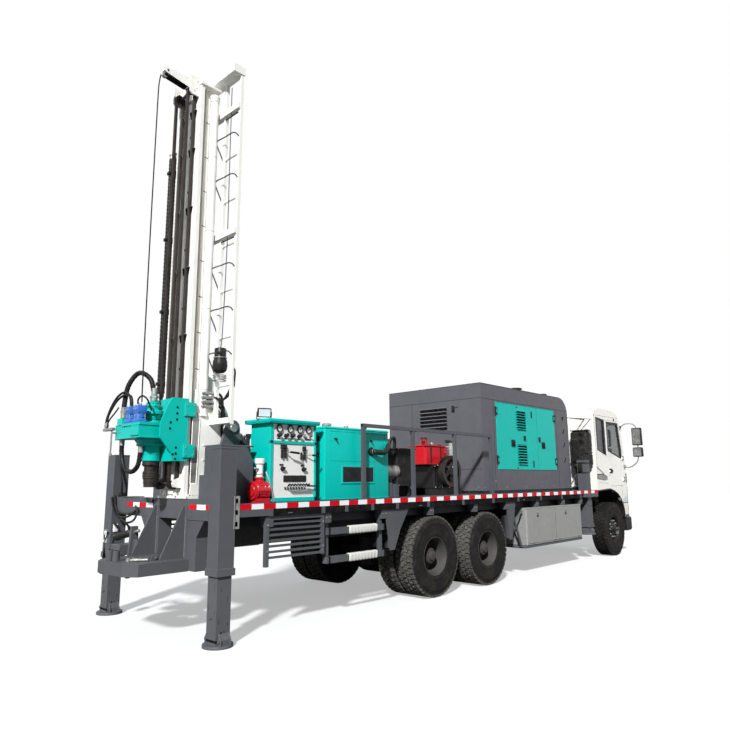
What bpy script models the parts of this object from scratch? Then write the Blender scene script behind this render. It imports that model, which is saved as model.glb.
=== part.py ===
"""Reverse circulation drilling rig on a three-axle truck: every solid, in metres, +Z up.

The truck stands along X with its cab at +X and its drill mast at -X.  The origin is on the
ground, in the middle of the rig's length and width.
"""
import math

import bmesh
import bpy
from mathutils import Matrix, Vector

# Working clearances
GAP = 0.0003            # between solids that touch
PIN_PLAY = 0.0009       # between a pin and the faceted hole that it turns in
OVERLAP = 0.002         # how far pieces of one weldment run into each other

# Deck of the rig, on the truck's frame
DECK_REAR = -4.865
DECK_LENGTH = 8.775
DECK_WIDTH = 2.50
DECK_TOP = 1.35
DECK_PLATE = 0.03
DECK_EDGE = 0.13        # height of the channel round the deck
DECK_EDGE_WALL = 0.06
DECK_FRONT = DECK_REAR + DECK_LENGTH
SIDE = DECK_WIDTH / 2

# Truck frame
RAIL_TOP = 1.10
RAIL_HEIGHT = 0.26
RAIL_WIDTH = 0.08
RAIL_Y = 0.40
RAIL_REAR = DECK_REAR + 0.35
RAIL_FRONT = 5.50
BEARER_TOP = DECK_TOP - DECK_EDGE

# Axles and wheels
AXLE_1 = 4.682
AXLE_2 = -0.2215
AXLE_3 = -1.5565
TYRE_RADIUS = 0.5425
TYRE_WIDTH = 0.285
RIM_RADIUS = 0.262
FRONT_TRACK = 1.085     # middle of a front tyre from the centre line
REAR_OUTER = 1.095      # middle of an outer rear tyre
DUAL_PITCH = 0.325
STUB_RADIUS = 0.052
HUB_BORE = STUB_RADIUS + 0.0010
WHEEL_STEPS = 24
KING_PIN_Y = 0.855
KING_PIN_RADIUS = 0.028
KING_BOSS_HALF = 0.075
KING_SEAT = KING_BOSS_HALF + 0.0005

# Rear frame: outer leg tubes, cross beam and mast uprights
LEG_X = -5.020
LEG_Y = SIDE - 0.085
LEG_SIZE = 0.190
LEG_WALL = 0.012
LEG_TOP = 1.915
LEG_BOTTOM = 0.730
COLLAR = 0.012          # how far the collar stands out of the outer tube
COLLAR_HEIGHT = 0.065
LEG_RUN = 0.0008        # clearance round an inner leg
INNER_LENGTH = 1.26
FOOT_RADIUS = 0.150
FOOT_THICK = 0.030
BEAM_TOP = 1.400
BEAM_BOTTOM = 1.190
BEAM_REAR = -5.085
BEAM_FRONT = -4.925

# Front jacks, between the canopy and the cab
FRONT_JACK_X = 3.625
FRONT_JACK_Y = SIDE - 0.145
FRONT_JACK_SIZE = 0.180
FRONT_JACK_TOP = 1.950
FRONT_JACK_BOTTOM = 0.700
FRONT_FOOT_Z = 0.490

# Drill mast
MAST_Y = -0.280
MAST_REAR = -5.085
MAST_DEPTH = 0.270
MAST_HALF = 0.250       # half width over the guide flanges
MAST_BOX_HALF = 0.190
MAST_FOOT = BEAM_TOP + GAP
MAST_TOP = 6.350
FLANGE = 0.045
MAST_FRONT = MAST_REAR + MAST_DEPTH
PIVOT_X = -4.565
PIVOT_Z = 2.180
PIVOT_PIN = 0.040
WEB_HALF = 0.150
CHEEK_INNER = 0.190     # tilt cheeks each side of the mast
CHEEK_THICK = 0.070
UPRIGHT_INNER = 0.340   # from the mast's own centre plane
UPRIGHT_WIDTH = 0.300
UPRIGHT_TOP = 1.970
UPRIGHT_REAR = -4.895
UPRIGHT_FRONT = -4.465
EAR_THICK = 0.040

# Cylinders that raise the mast
RAISE_OFFSET = 0.120    # each side of the mast's centre plane
EYE_X = PIVOT_X - 0.140
EYE_Z = PIVOT_Z + 0.480
RAISE_BASE_X = PIVOT_X + 0.700
RAISE_BASE_Z = PIVOT_Z - 0.730
RAISE_PIN = 0.022
RAISE_LUG = 0.200       # lug plates beside the pair, from the mast's centre plane
RAISE_LUG_THICK = 0.020
BARREL_RADIUS = 0.055
ROD_RADIUS = 0.032
BARREL_LENGTH = 0.800
BARREL_BORE = ROD_RADIUS + 0.0015
ROD_INNER = 0.660       # where the rod starts inside its barrel at rest
ROD_PIN_HALF = 0.183    # the rods' cross pin stops short of the mast's lugs

# Rotary head, low on the mast
SPINDLE_X = -5.355
GEARBOX_HALF = 0.200
GEARBOX_Z = 2.045
GEARBOX_HEIGHT = 0.150
CARRIAGE_LOW = 1.800
CARRIAGE_HIGH = 2.480
SHOE_RUN = 0.0008       # clearance of the guide shoes on the mast
CARRIAGE_BACK = 0.150   # back plate's distance from the mast's rear face
NOSE_BOTTOM = 1.525

# Chains of the feed
CHAIN_X = MAST_REAR - 0.070
CHAIN_OFFSET = 0.130
SPROCKET_CHEEK = 0.190  # middle of the plates beside the sprockets
SPROCKET_RADIUS = 0.044
CHAIN_LOW = 1.560
CHAIN_HIGH = 6.260

# Hoses beside the mast
HOSES_X = MAST_REAR + 0.005

# Ladder beside the mast
LADDER_X = -4.765
LADDER_INNER = -0.600
LADDER_OUTER = -0.900
LADDER_RAIL = 0.040
LADDER_FOOT = 2.200
LADDER_HEAD = 6.440
RUNG_FIRST = 2.640
RUNG_PITCH = 0.558
RUNGS = 7

# Rear platform with its bore hole
PLATE_REAR = -5.735
PLATE_HALF = 0.400
PLATE_TOP = 0.785
PLATE_BOTTOM = 0.665
BORE_RADIUS = 0.150
STOP_TUBES = ((PLATE_REAR + 0.075, MAST_Y + 0.17), (PLATE_REAR + 0.075, MAST_Y + 0.03))
TONG_X = PLATE_REAR + 0.435
TONG_Y = MAST_Y + PLATE_HALF - 0.015
TONG_REACH = 0.38        # of the breakout cylinder, out past the platform's left edge
GUSSET_OFFSET = 0.300
POST_TOP = 1.005         # where the end posts' slanted braces begin

# Machinery on the deck
CONSOLE_X = (-4.385, -3.700)
CONSOLE_Y = (-1.120, -0.760)
CONSOLE_TOP = 2.235
TANK_X = (-3.560, -2.400)
TANK_Y = (-1.120, -0.680)
TANK_TOP = 2.235
ENGINE_X = -0.735
ENGINE_Y = -0.620
CANOPY_REAR = 0.085
CANOPY_FRONT = 3.265
CANOPY_HALF = 1.000
CANOPY_TOP = 3.176
CANOPY_WALL = 0.030
CANOPY_ROUND = 0.320
CANOPY_BASE = DECK_TOP + GAP
DOOR_X = (0.541, 2.665)
DOOR_Z = (1.740, 2.900)
CANOPY_HINGE = 0.012    # radius of the hood doors' hinge knuckles
CANOPY_HINGES = (DOOR_X[0] - 0.014, DOOR_X[1] + 0.014)

# Guard rails
GUARD_Y = SIDE - 0.035
GUARD_X = (-3.010, 0.010)
GUARD_TOP = 2.290
GUARD_TUBE = 0.045
GUARD_POSTS = 4

# Cab
CAB_REAR = 4.035
CAB_FRONT = 5.600
CAB_HALF = 1.200
CAB_TOP = 3.050
CAB_FLOOR = 1.330
CAB_LOW = 0.760
CAB_WALL = 0.045
BELT_Z = 2.060
SCREEN_Z = (2.080, 2.770)
SCREEN_HALF = CAB_HALF - 0.100
CAB_DOOR_X = (4.640, 5.440)
CAB_DOOR_Z = (1.260, 2.830)
CAB_HINGE = 0.012       # radius of the cab doors' hinge knuckles
CAB_HINGE_X = 5.458
CAB_HINGE_Y = CAB_HALF + CAB_HINGE + GAP

MODEL = bpy.data.collections.new("reverse_circulation_rig")
WORK = bpy.data.collections.new("cutters")


def clear_scene():
    """Start from an empty scene with the two collections linked."""
    for old in list(bpy.data.objects):
        bpy.data.objects.remove(old, do_unlink=True)
    for group in (MODEL, WORK):
        bpy.context.scene.collection.children.link(group)


# Shapes

def loose(bm, name="piece"):
    """A bmesh as a loose object, to be welded into a node."""
    mesh = bpy.data.meshes.new(name)
    bm.to_mesh(mesh)
    bm.free()
    obj = bpy.data.objects.new(name, mesh)
    obj.hide_render = True
    obj.display_type = "WIRE"
    WORK.objects.link(obj)
    return obj


def baked(obj):
    """The object's evaluated mesh as a bmesh in world space; the object is removed."""
    bpy.context.view_layer.update()
    depsgraph = bpy.context.evaluated_depsgraph_get()
    mesh = bpy.data.meshes.new_from_object(obj.evaluated_get(depsgraph))
    bm = bmesh.new()
    bm.from_mesh(mesh)
    bm.transform(obj.matrix_world)
    bpy.data.meshes.remove(mesh)
    bpy.data.objects.remove(obj, do_unlink=True)
    return bm


def block(x, y, z, bevel=0.0):
    """A box from its low and high coordinates, with chamfered edges."""
    bm = bmesh.new()
    bmesh.ops.create_cube(bm, size=1.0)
    low = Vector((x[0], y[0], z[0]))
    high = Vector((x[1], y[1], z[1]))
    bmesh.ops.scale(bm, vec=high - low, verts=bm.verts)
    bmesh.ops.translate(bm, vec=(low + high) / 2, verts=bm.verts)
    if bevel:
        bmesh.ops.bevel(bm, geom=bm.edges[:], offset=bevel, segments=1, profile=0.5,
                        affect="EDGES", material=-1)
    return loose(bm)


def middle(centre, width):
    """Low and high coordinates of a width about its middle."""
    return (centre - width / 2, centre + width / 2)


def aim(start, end):
    """The matrix that lays local Z along start to end, with its middle at the origin."""
    start = Vector(start)
    end = Vector(end)
    turn = (end - start).to_track_quat("Z", "Y").to_matrix().to_4x4()
    return Matrix.Translation((start + end) / 2) @ turn


def rod(start, end, radius, sides=16, end_radius=None):
    """A round bar, or a cone, between two points."""
    bm = bmesh.new()
    bmesh.ops.create_cone(bm, cap_ends=True, segments=sides, radius1=radius,
                          radius2=radius if end_radius is None else end_radius,
                          depth=(Vector(end) - Vector(start)).length)
    bm.transform(aim(start, end))
    return loose(bm)


def beam(start, end, width, height):
    """A square bar between two points, its height upright."""
    bm = bmesh.new()
    bmesh.ops.create_cube(bm, size=1.0)
    start = Vector(start)
    end = Vector(end)
    bmesh.ops.scale(bm, vec=(width, height, (end - start).length), verts=bm.verts)
    bm.transform(aim(start, end))
    return loose(bm)


def turned(profile, place, steps=24):
    """A solid of revolution from (radius, height) pairs, top to bottom down its outer side."""
    mesh = bpy.data.meshes.new("profile")
    closed = profile[0][0] > 0 and profile[-1][0] > 0
    edges = [(i, i + 1) for i in range(len(profile) - 1)]
    if closed:
        edges.append((len(profile) - 1, 0))
    mesh.from_pydata([(r, 0.0, h) for r, h in profile], edges, [])
    obj = bpy.data.objects.new("profile", mesh)
    WORK.objects.link(obj)
    screw = obj.modifiers.new("turn", "SCREW")
    screw.axis = "Z"
    screw.steps = steps
    screw.render_steps = steps
    screw.use_merge_vertices = True
    screw.merge_threshold = 0.0001
    bm = baked(obj)
    bmesh.ops.remove_doubles(bm, verts=bm.verts, dist=0.00005)
    bmesh.ops.recalc_face_normals(bm, faces=bm.faces)
    bm.transform(place)
    return loose(bm)


PLANES = {
    "XY": Matrix(((1, 0, 0, 0), (0, 1, 0, 0), (0, 0, 1, 0), (0, 0, 0, 1))),
    "XZ": Matrix(((1, 0, 0, 0), (0, 0, -1, 0), (0, 1, 0, 0), (0, 0, 0, 1))),
    "YZ": Matrix(((0, 0, 1, 0), (1, 0, 0, 0), (0, 1, 0, 0), (0, 0, 0, 1))),
}


def plate(outlines, plane, across):
    """A flat outline, with any holes after it, given thickness across its plane."""
    curve = bpy.data.curves.new("outline", "CURVE")
    curve.dimensions = "2D"
    curve.fill_mode = "BOTH"
    curve.extrude = (across[1] - across[0]) / 2
    for outline in outlines:
        spline = curve.splines.new("POLY")
        spline.points.add(len(outline) - 1)
        for point, (a, b) in zip(spline.points, outline):
            point.co = (a, b, 0.0, 1.0)
        spline.use_cyclic_u = True
    obj = bpy.data.objects.new("outline", curve)
    WORK.objects.link(obj)
    bm = baked(obj)
    bmesh.ops.remove_doubles(bm, verts=bm.verts, dist=0.00005)
    bm.transform(PLANES[plane])
    offset = (across[0] + across[1]) / 2
    shift = {"XY": (0, 0, offset), "XZ": (0, offset, 0), "YZ": (offset, 0, 0)}[plane]
    bmesh.ops.translate(bm, vec=shift, verts=bm.verts)
    bmesh.ops.recalc_face_normals(bm, faces=bm.faces)
    return loose(bm)


def circle(centre, radius, sides=16):
    """Points of a round outline."""
    turns = [2 * math.pi * i / sides for i in range(sides)]
    return [(centre[0] + radius * math.cos(t), centre[1] + radius * math.sin(t)) for t in turns]


def arc(centre, radius, start, end, pieces):
    """Points along an arc, angles in degrees."""
    turns = [math.radians(start + (end - start) * i / pieces) for i in range(pieces + 1)]
    return [(centre[0] + radius * math.cos(t), centre[1] + radius * math.sin(t)) for t in turns]


def pipe(points, radius, resolution=2, cyclic=False):
    """A round tube along points, with filled ends."""
    curve = bpy.data.curves.new("pipe", "CURVE")
    curve.dimensions = "3D"
    curve.bevel_depth = radius
    curve.bevel_resolution = resolution
    curve.use_fill_caps = True
    spline = curve.splines.new("POLY")
    spline.points.add(len(points) - 1)
    for point, co in zip(spline.points, points):
        point.co = (*co, 1.0)
    spline.use_cyclic_u = cyclic
    obj = bpy.data.objects.new("pipe", curve)
    WORK.objects.link(obj)
    bm = baked(obj)
    bmesh.ops.remove_doubles(bm, verts=bm.verts, dist=0.00005)
    bmesh.ops.recalc_face_normals(bm, faces=bm.faces)
    return loose(bm)


def smooth_route(points, count):
    """Evenly numbered points on a smooth curve through a route's own points."""
    route = [Vector(p) for p in points]
    route = [2 * route[0] - route[1]] + route + [2 * route[-1] - route[-2]]
    spans = len(points) - 1
    result = []
    for i in range(count):
        along = spans * i / (count - 1)
        k = min(int(along), spans - 1)
        t = along - k
        a, b, c, d = route[k:k + 4]
        result.append(tuple(0.5 * ((2 * b) + (c - a) * t + (2 * a - 5 * b + 4 * c - d) * t * t
                                   + (3 * b - a - 3 * c + d) * t ** 3)))
    return result


def boolean(base, tools, operation):
    """Weld or cut a piece with others in one exact operation."""
    group = bpy.data.collections.new("tools")
    WORK.children.link(group)
    for tool in tools:
        group.objects.link(tool)
    step = base.modifiers.new("boolean", "BOOLEAN")
    step.operation = operation
    step.operand_type = "COLLECTION"
    step.collection = group
    step.solver = "EXACT"
    bm = baked(base)
    for tool in tools:
        bpy.data.objects.remove(tool, do_unlink=True)
    bpy.data.collections.remove(group)
    bmesh.ops.remove_doubles(bm, verts=bm.verts, dist=0.00002)
    bmesh.ops.dissolve_degenerate(bm, edges=bm.edges, dist=0.00002)
    bmesh.ops.dissolve_limit(bm, angle_limit=math.radians(0.5), verts=bm.verts, edges=bm.edges)
    return loose(bm)


def weld(pieces):
    """One solid from pieces that run into each other."""
    if len(pieces) == 1:
        return pieces[0]
    return boolean(pieces[0], pieces[1:], "UNION")


def cut(base, tools):
    """A solid with holes cut by other solids."""
    return boolean(base, tools, "DIFFERENCE")


MATERIALS = {
    # name: (red, green, blue, metallic, roughness)
    "frame_grey": (0.095, 0.105, 0.115, 0.2, 0.45),
    "canopy_grey": (0.130, 0.130, 0.150, 0.1, 0.50),
    "teal": (0.000, 0.640, 0.520, 0.1, 0.38),
    "mast_white": (0.780, 0.770, 0.720, 0.0, 0.45),
    "cab_white": (0.820, 0.810, 0.770, 0.0, 0.30),
    "black": (0.020, 0.020, 0.022, 0.0, 0.55),
    "rubber": (0.028, 0.027, 0.026, 0.0, 0.85),
    "steel": (0.480, 0.480, 0.470, 0.8, 0.40),
    "box_silver": (0.360, 0.370, 0.360, 0.6, 0.45),
    "red": (0.560, 0.020, 0.020, 0.0, 0.40),
    "blue": (0.060, 0.190, 0.600, 0.0, 0.40),
    "glass": (0.030, 0.045, 0.045, 0.0, 0.08),
    "iron": (0.090, 0.070, 0.058, 0.7, 0.60),
}


def material(name):
    """The named paint or metal, made once."""
    if name in bpy.data.materials:
        return bpy.data.materials[name]
    red, green, blue, metallic, roughness = MATERIALS[name]
    made = bpy.data.materials.new(name)
    made.use_nodes = True
    shader = made.node_tree.nodes["Principled BSDF"]
    shader.inputs["Base Color"].default_value = (red, green, blue, 1.0)
    shader.inputs["Metallic"].default_value = metallic
    shader.inputs["Roughness"].default_value = roughness
    made.diffuse_color = (red, green, blue, 1.0)
    return made


def node(name, pieces, finish, origin=(0, 0, 0)):
    """A named sub-part from its pieces, with its origin where it turns or sits."""
    solid = weld(pieces)
    bm = bmesh.new()
    bm.from_mesh(solid.data)
    bpy.data.objects.remove(solid, do_unlink=True)
    bmesh.ops.translate(bm, vec=-Vector(origin), verts=bm.verts)
    mesh = bpy.data.meshes.new(name)
    bm.to_mesh(mesh)
    bm.free()
    mesh.shade_smooth()
    mesh.set_sharp_from_angle(angle=math.radians(35))
    obj = bpy.data.objects.new(name, mesh)
    obj.location = origin
    mesh.materials.append(material(finish))
    MODEL.objects.link(obj)
    return obj


# Truck

def chassis_frame():
    """Two deep rails with cross members; the deck's bearers rest on them."""
    rails = []
    for side in (-1, 1):
        rails.append(block((RAIL_REAR, RAIL_FRONT), middle(side * RAIL_Y, RAIL_WIDTH),
                           (RAIL_TOP - RAIL_HEIGHT, RAIL_TOP)))
    cross_low = RAIL_TOP - RAIL_HEIGHT + 0.04
    for x in (RAIL_REAR + 0.06, -2.60, -0.889, 0.90, 2.40, 3.60, RAIL_FRONT - 0.06):
        rails.append(block(middle(x, 0.09), (-RAIL_Y, RAIL_Y), (cross_low, RAIL_TOP - 0.04)))
    for x in (4.10, 5.35):
        for side in (-1, 1):
            rails.append(block(middle(x, 0.09), middle(side * RAIL_Y, RAIL_WIDTH - 0.01),
                               (RAIL_TOP - 0.01, CAB_FLOOR - GAP)))
    return node("chassis_frame", rails, "frame_grey")


def spring_pack(x, y, half_length, seat_z, eye_z, width=0.08):
    """Leaf springs as a bowed stack: thick on the axle, thin at its eyes."""
    outline = [(x - half_length, eye_z), (x - half_length * 0.45, seat_z + 0.03),
               (x + half_length * 0.45, seat_z + 0.03), (x + half_length, eye_z),
               (x + half_length, eye_z - 0.025), (x + half_length * 0.5, seat_z - 0.02),
               (x + 0.14, seat_z - 0.055), (x - 0.14, seat_z - 0.055),
               (x - half_length * 0.5, seat_z - 0.02), (x - half_length, eye_z - 0.025)]
    return plate([outline], "XZ", middle(y, width))


def front_axle():
    """The dropped beam with its springs and their hangers on the frame."""
    centre = TYRE_RADIUS
    rail_bottom = RAIL_TOP - RAIL_HEIGHT
    pieces = [block(middle(AXLE_1, 0.10), (-0.72, 0.72), (centre - 0.115, centre - 0.015))]
    for side in (-1, 1):
        y = side * RAIL_Y
        pieces.append(beam((AXLE_1, side * 0.70, centre - 0.065),
                           (AXLE_1, side * (KING_PIN_Y - 0.02), centre), 0.10, 0.09))
        pieces.append(rod((AXLE_1, side * KING_PIN_Y, centre - KING_BOSS_HALF),
                          (AXLE_1, side * KING_PIN_Y, centre + KING_BOSS_HALF), 0.055, 12))
        pieces.append(block(middle(AXLE_1, 0.20), middle(y, 0.10), (centre - 0.020, centre + 0.040)))
        pieces.append(spring_pack(AXLE_1, y, 0.72, centre + 0.09, rail_bottom - 0.10))
        for end in (-1, 1):
            pieces.append(block(middle(AXLE_1 + end * 0.71, 0.07), middle(y, 0.07),
                                (rail_bottom - 0.14, rail_bottom - GAP)))
    axle = weld(pieces)
    pins = [rod((AXLE_1, side * KING_PIN_Y, centre - 0.20), (AXLE_1, side * KING_PIN_Y, centre + 0.20),
                KING_PIN_RADIUS + PIN_PLAY, 16) for side in (-1, 1)]
    return node("front_axle", [cut(axle, pins)], "black")


def steering_knuckle(name, side):
    """Fork round the axle's end, with its king pin and the stub that the wheel runs on."""
    centre = TYRE_RADIUS
    y = side * KING_PIN_Y
    out = side * 0.062
    fork = [rod((AXLE_1, y, centre - 0.135), (AXLE_1, y, centre - KING_SEAT), 0.050, 16),
            rod((AXLE_1, y, centre + KING_SEAT), (AXLE_1, y, centre + 0.135), 0.050, 16),
            rod((AXLE_1, y, centre - 0.120), (AXLE_1, y, centre + 0.120), KING_PIN_RADIUS, 16),
            block(middle(AXLE_1, 0.10), sorted((y + out, y + out + side * 0.035)),
                  (centre - 0.125, centre + 0.125)),
            block(middle(AXLE_1, 0.09), sorted((y, y + out + side * 0.01)),
                  (centre - 0.130, centre - 0.082)),
            block(middle(AXLE_1, 0.09), sorted((y, y + out + side * 0.01)),
                  (centre + 0.082, centre + 0.130)),
            rod((AXLE_1, y + out + side * 0.01, centre), (AXLE_1, side * (FRONT_TRACK + 0.072), centre),
                STUB_RADIUS, WHEEL_STEPS)]
    return node(name, fork, "black", origin=(AXLE_1, y, centre))


def rear_bogie():
    """Both driven axles, their bulged gear housings and the springs that carry them."""
    centre = TYRE_RADIUS
    rail_bottom = RAIL_TOP - RAIL_HEIGHT
    middle_x = (AXLE_2 + AXLE_3) / 2
    pieces = []
    for x in (AXLE_2, AXLE_3):
        pieces.append(rod((x, -(REAR_OUTER + 0.02), centre), (x, REAR_OUTER + 0.02, centre),
                          STUB_RADIUS, WHEEL_STEPS))
        pieces.append(block(middle(x, 0.15), (-0.555, 0.555), middle(centre, 0.15), 0.02))
        pieces.append(rod((x, 0, centre - 0.20), (x, 0, centre + 0.20), 0.17, 16))
    pieces.append(rod((AXLE_3, 0, centre + 0.03), (AXLE_2, 0, centre + 0.03), 0.045, 12))
    for side in (-1, 1):
        y = side * 0.485
        pieces.append(spring_pack(middle_x, y, (AXLE_2 - AXLE_3) / 2 + 0.06, centre + 0.19,
                                  centre + 0.088, 0.085))
        pieces.append(block(middle(middle_x, 0.24), middle(y, 0.10), (centre - 0.02, centre + 0.20)))
        pieces.append(plate([[(middle_x - 0.20, rail_bottom - GAP), (middle_x + 0.20, rail_bottom - GAP),
                              (middle_x + 0.09, centre - 0.02), (middle_x - 0.09, centre - 0.02)]],
                            "XZ", middle(side * 0.42, 0.05)))
    return node("rear_bogie", pieces, "black")


def tyre_section(at, inner_bead=RIM_RADIUS, outer_bead=RIM_RADIUS):
    """One tyre's outline from its outer bead over the tread to its inner bead."""
    half = TYRE_WIDTH / 2
    crown = TYRE_RADIUS / math.cos(math.pi / WHEEL_STEPS)
    return [(outer_bead, at + half - 0.012), (RIM_RADIUS + 0.05, at + half),
            (crown - 0.10, at + half - 0.002),
            (crown, at + half - 0.036), (crown, at - half + 0.036), (crown - 0.10, at - half + 0.002),
            (RIM_RADIUS + 0.05, at - half), (inner_bead, at - half + 0.012)]


def wheel_place(x, y, side):
    """Wheel axis along Y, its outer face away from the truck, a flat of the tread at the ground."""
    turn = Matrix.Rotation(-side * math.pi / 2, 4, "X")
    return Matrix.Translation((x, y, TYRE_RADIUS)) @ turn @ Matrix.Rotation(math.pi / WHEEL_STEPS, 4, "Z")


def front_wheel(name, side):
    """Steered wheel: convex disc and hub cap outside, open barrel inside."""
    profile = [(0.0, 0.150), (0.080, 0.150), (0.105, 0.120), (0.105, 0.085), (0.190, 0.082),
               (0.222, 0.050)]
    profile += tyre_section(0.0)
    profile += [(0.222, -0.090), (0.205, 0.030), (0.118, 0.050), (0.118, -0.030),
                (HUB_BORE, -0.030), (HUB_BORE, 0.082), (0.0, 0.082)]
    wheel = turned(profile, wheel_place(AXLE_1, side * FRONT_TRACK, side), WHEEL_STEPS)
    return node(name, [wheel], "rubber", origin=(AXLE_1, side * FRONT_TRACK, TYRE_RADIUS))


def dual_wheel(name, x, side):
    """Twin rear wheels on one hub: deep dish outside, both discs bolted back to back."""
    inner = -DUAL_PITCH
    profile = [(0.0, 0.095), (0.075, 0.095), (0.110, 0.060), (0.110, -0.100), (0.200, -0.105),
               (0.222, -0.060)]
    profile += tyre_section(0.0, inner_bead=RIM_RADIUS - 0.012)
    profile += tyre_section(inner, outer_bead=RIM_RADIUS - 0.012)
    profile += [(0.222, inner - 0.090), (0.205, inner + 0.120), (0.125, inner + 0.130),
                (0.125, inner + 0.020), (HUB_BORE, inner + 0.020), (HUB_BORE, 0.030), (0.0, 0.030)]
    wheel = turned(profile, wheel_place(x, side * REAR_OUTER, side), WHEEL_STEPS)
    return node(name, [wheel], "rubber", origin=(x, side * REAR_OUTER, TYRE_RADIUS))


def truck_engine():
    """The engine under the cab as one block, hung between the rails."""
    inner = RAIL_Y - RAIL_WIDTH / 2 - GAP
    body = block((4.15, 5.20), (-inner, inner), (0.80, CAB_FLOOR - 0.06), 0.05)
    sump = block((4.30, 5.00), (-0.22, 0.22), (0.72, 0.85))
    return node("truck_engine", [body, sump], "iron")


# Deck and what hangs under it

def deck():
    """Chequer plate in a channel edge, open below."""
    edge_z = (DECK_TOP - DECK_EDGE, DECK_TOP)
    pieces = [block((DECK_REAR, DECK_FRONT), (-SIDE, SIDE), (DECK_TOP - DECK_PLATE, DECK_TOP))]
    for side in (-1, 1):
        pieces.append(block((DECK_REAR, DECK_FRONT), sorted((side * SIDE, side * (SIDE - DECK_EDGE_WALL))),
                            edge_z))
    for x in (DECK_REAR, DECK_FRONT - DECK_EDGE_WALL):
        pieces.append(block((x, x + DECK_EDGE_WALL), (-SIDE, SIDE), edge_z))
    for side in (-1, 1):
        lug_y = MAST_Y + side * RAISE_LUG
        lug = [(RAISE_BASE_X - 0.09, DECK_TOP - 0.005), (RAISE_BASE_X + 0.09, DECK_TOP - 0.005)]
        lug += arc((RAISE_BASE_X, RAISE_BASE_Z), 0.050, 0, 180, 5)
        pieces.append(plate([lug], "XZ", middle(lug_y, RAISE_LUG_THICK)))
    notch = FRONT_JACK_SIZE + 2 * GAP
    holes = [block(middle(FRONT_JACK_X, notch), middle(side * FRONT_JACK_Y, notch), (1.0, 1.5))
             for side in (-1, 1)]
    reach = RAISE_LUG + RAISE_LUG_THICK
    holes.append(rod((RAISE_BASE_X, MAST_Y - reach, RAISE_BASE_Z),
                     (RAISE_BASE_X, MAST_Y + reach, RAISE_BASE_Z),
                     RAISE_PIN + PIN_PLAY, 16))
    return node("deck", [cut(weld(pieces), holes)], "frame_grey")


def ladder_steps(side):
    """Two hanging uprights with a stack of bars, the way up to the console."""
    outer = side * (SIDE - 0.02)
    inner = side * (SIDE - 0.24)
    left = CONSOLE_X[0] - 0.10
    right = left + 0.80
    pieces = []
    for x in (left, right):
        low = 0.690 if x == left else 0.760
        pieces.append(block(middle(x, 0.045), sorted((outer - side * 0.002, outer - side * 0.045)),
                            (low, BEARER_TOP - 0.030)))
    for i in range(8):
        z = 0.770 + i * 0.058
        pieces.append(block((left, right), sorted((outer - side * 0.006, outer - side * 0.040)),
                            (z, z + 0.022)))
    pieces.append(block((left - 0.03, right + 0.03), sorted((outer - side * 0.001, inner)),
                        (BEARER_TOP - 0.05, BEARER_TOP - 0.007)))
    return pieces


def underframe():
    """Bearers across the rails with the steps, guard bars and mudguards that hang from them."""
    z = (RAIL_TOP + GAP, BEARER_TOP - GAP)
    rows = (-4.455, -3.60, -2.62, -1.62, -0.52, 0.40, 1.40, 2.40, 3.15)
    pieces = [block(middle(x, 0.09), (-(SIDE - 0.02), SIDE - 0.02), z) for x in rows]
    for side in (-1, 1):
        y = side * (SIDE - 0.20)
        pieces.append(block((rows[0], rows[-1]), middle(y, 0.05), (z[0] + 0.004, z[1] - 0.004)))
        outer = side * (SIDE - 0.02)
        pieces.extend(ladder_steps(side))
        for bar_z in (1.000, 0.680):
            pieces.append(block((-3.62, -2.60), middle(outer - side * 0.03, 0.05), middle(bar_z, 0.075)))
        for x in (-3.58, -2.64):
            pieces.append(block(middle(x, 0.05), middle(outer - side * 0.075, 0.05),
                                (0.640, BEARER_TOP - 0.01)))
        rear = [(-2.60, BEARER_TOP - 0.009), (-2.12, BEARER_TOP - 0.009), (-2.30, 0.95), (-2.42, 0.70),
                (-2.50, 0.70)]
        pieces.append(plate([rear], "XZ", sorted((outer - side * 0.003, outer - side * 0.020))))
        pieces.append(beam((-2.34, outer - side * 0.20, BEARER_TOP - 0.02),
                           (-2.45, outer - side * 0.20, 0.72), 0.40, 0.012))
        front = [(0.38, BEARER_TOP - 0.009), (0.66, BEARER_TOP - 0.009), (0.52, 0.62), (0.45, 0.62)]
        pieces.append(plate([front], "XZ", sorted((outer - side * 0.003, outer - side * 0.020))))
        pieces.append(beam((0.48, outer - side * 0.20, BEARER_TOP - 0.02),
                           (0.49, outer - side * 0.20, 0.64), 0.40, 0.012))
    return node("underframe", pieces, "frame_grey")


def toolbox():
    """Long locker on the right, hung from the bearers."""
    body = block((0.985, 3.095), (-(SIDE - 0.02), -0.72), (0.480, RAIL_TOP), 0.012)
    return node("toolbox", [body], "box_silver")


def fuel_tank():
    """Rounded tank on the left, strapped to the frame."""
    outline = []
    radius = 0.10
    inner = RAIL_Y + RAIL_WIDTH / 2 + GAP
    outer = SIDE - 0.04
    low = 0.55
    corners = ((inner + radius, low + radius, 180), (outer - radius, low + radius, 270),
               (outer - radius, RAIL_TOP - radius, 0), (inner + radius, RAIL_TOP - radius, 90))
    for y, z, start in corners:
        outline.extend(arc((y, z), radius, start, start + 90, 3))
    tank = plate([outline], "YZ", (1.05, 2.45))
    return node("fuel_tank", [tank], "black")


def guard_rail(name, side):
    """Posts and a top rail along the middle of the deck."""
    y = side * GUARD_Y
    pieces = [block(GUARD_X, middle(y, GUARD_TUBE), (GUARD_TOP - GUARD_TUBE, GUARD_TOP))]
    pitch = (GUARD_X[1] - GUARD_X[0] - 0.05) / (GUARD_POSTS - 1)
    for i in range(GUARD_POSTS):
        x = GUARD_X[0] + 0.025 + i * pitch
        pieces.append(block(middle(x, 0.05), middle(y, GUARD_TUBE - 0.004),
                            (DECK_TOP + GAP, GUARD_TOP - 0.01)))
    return node(name, pieces, "frame_grey")


# Rear frame

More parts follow.
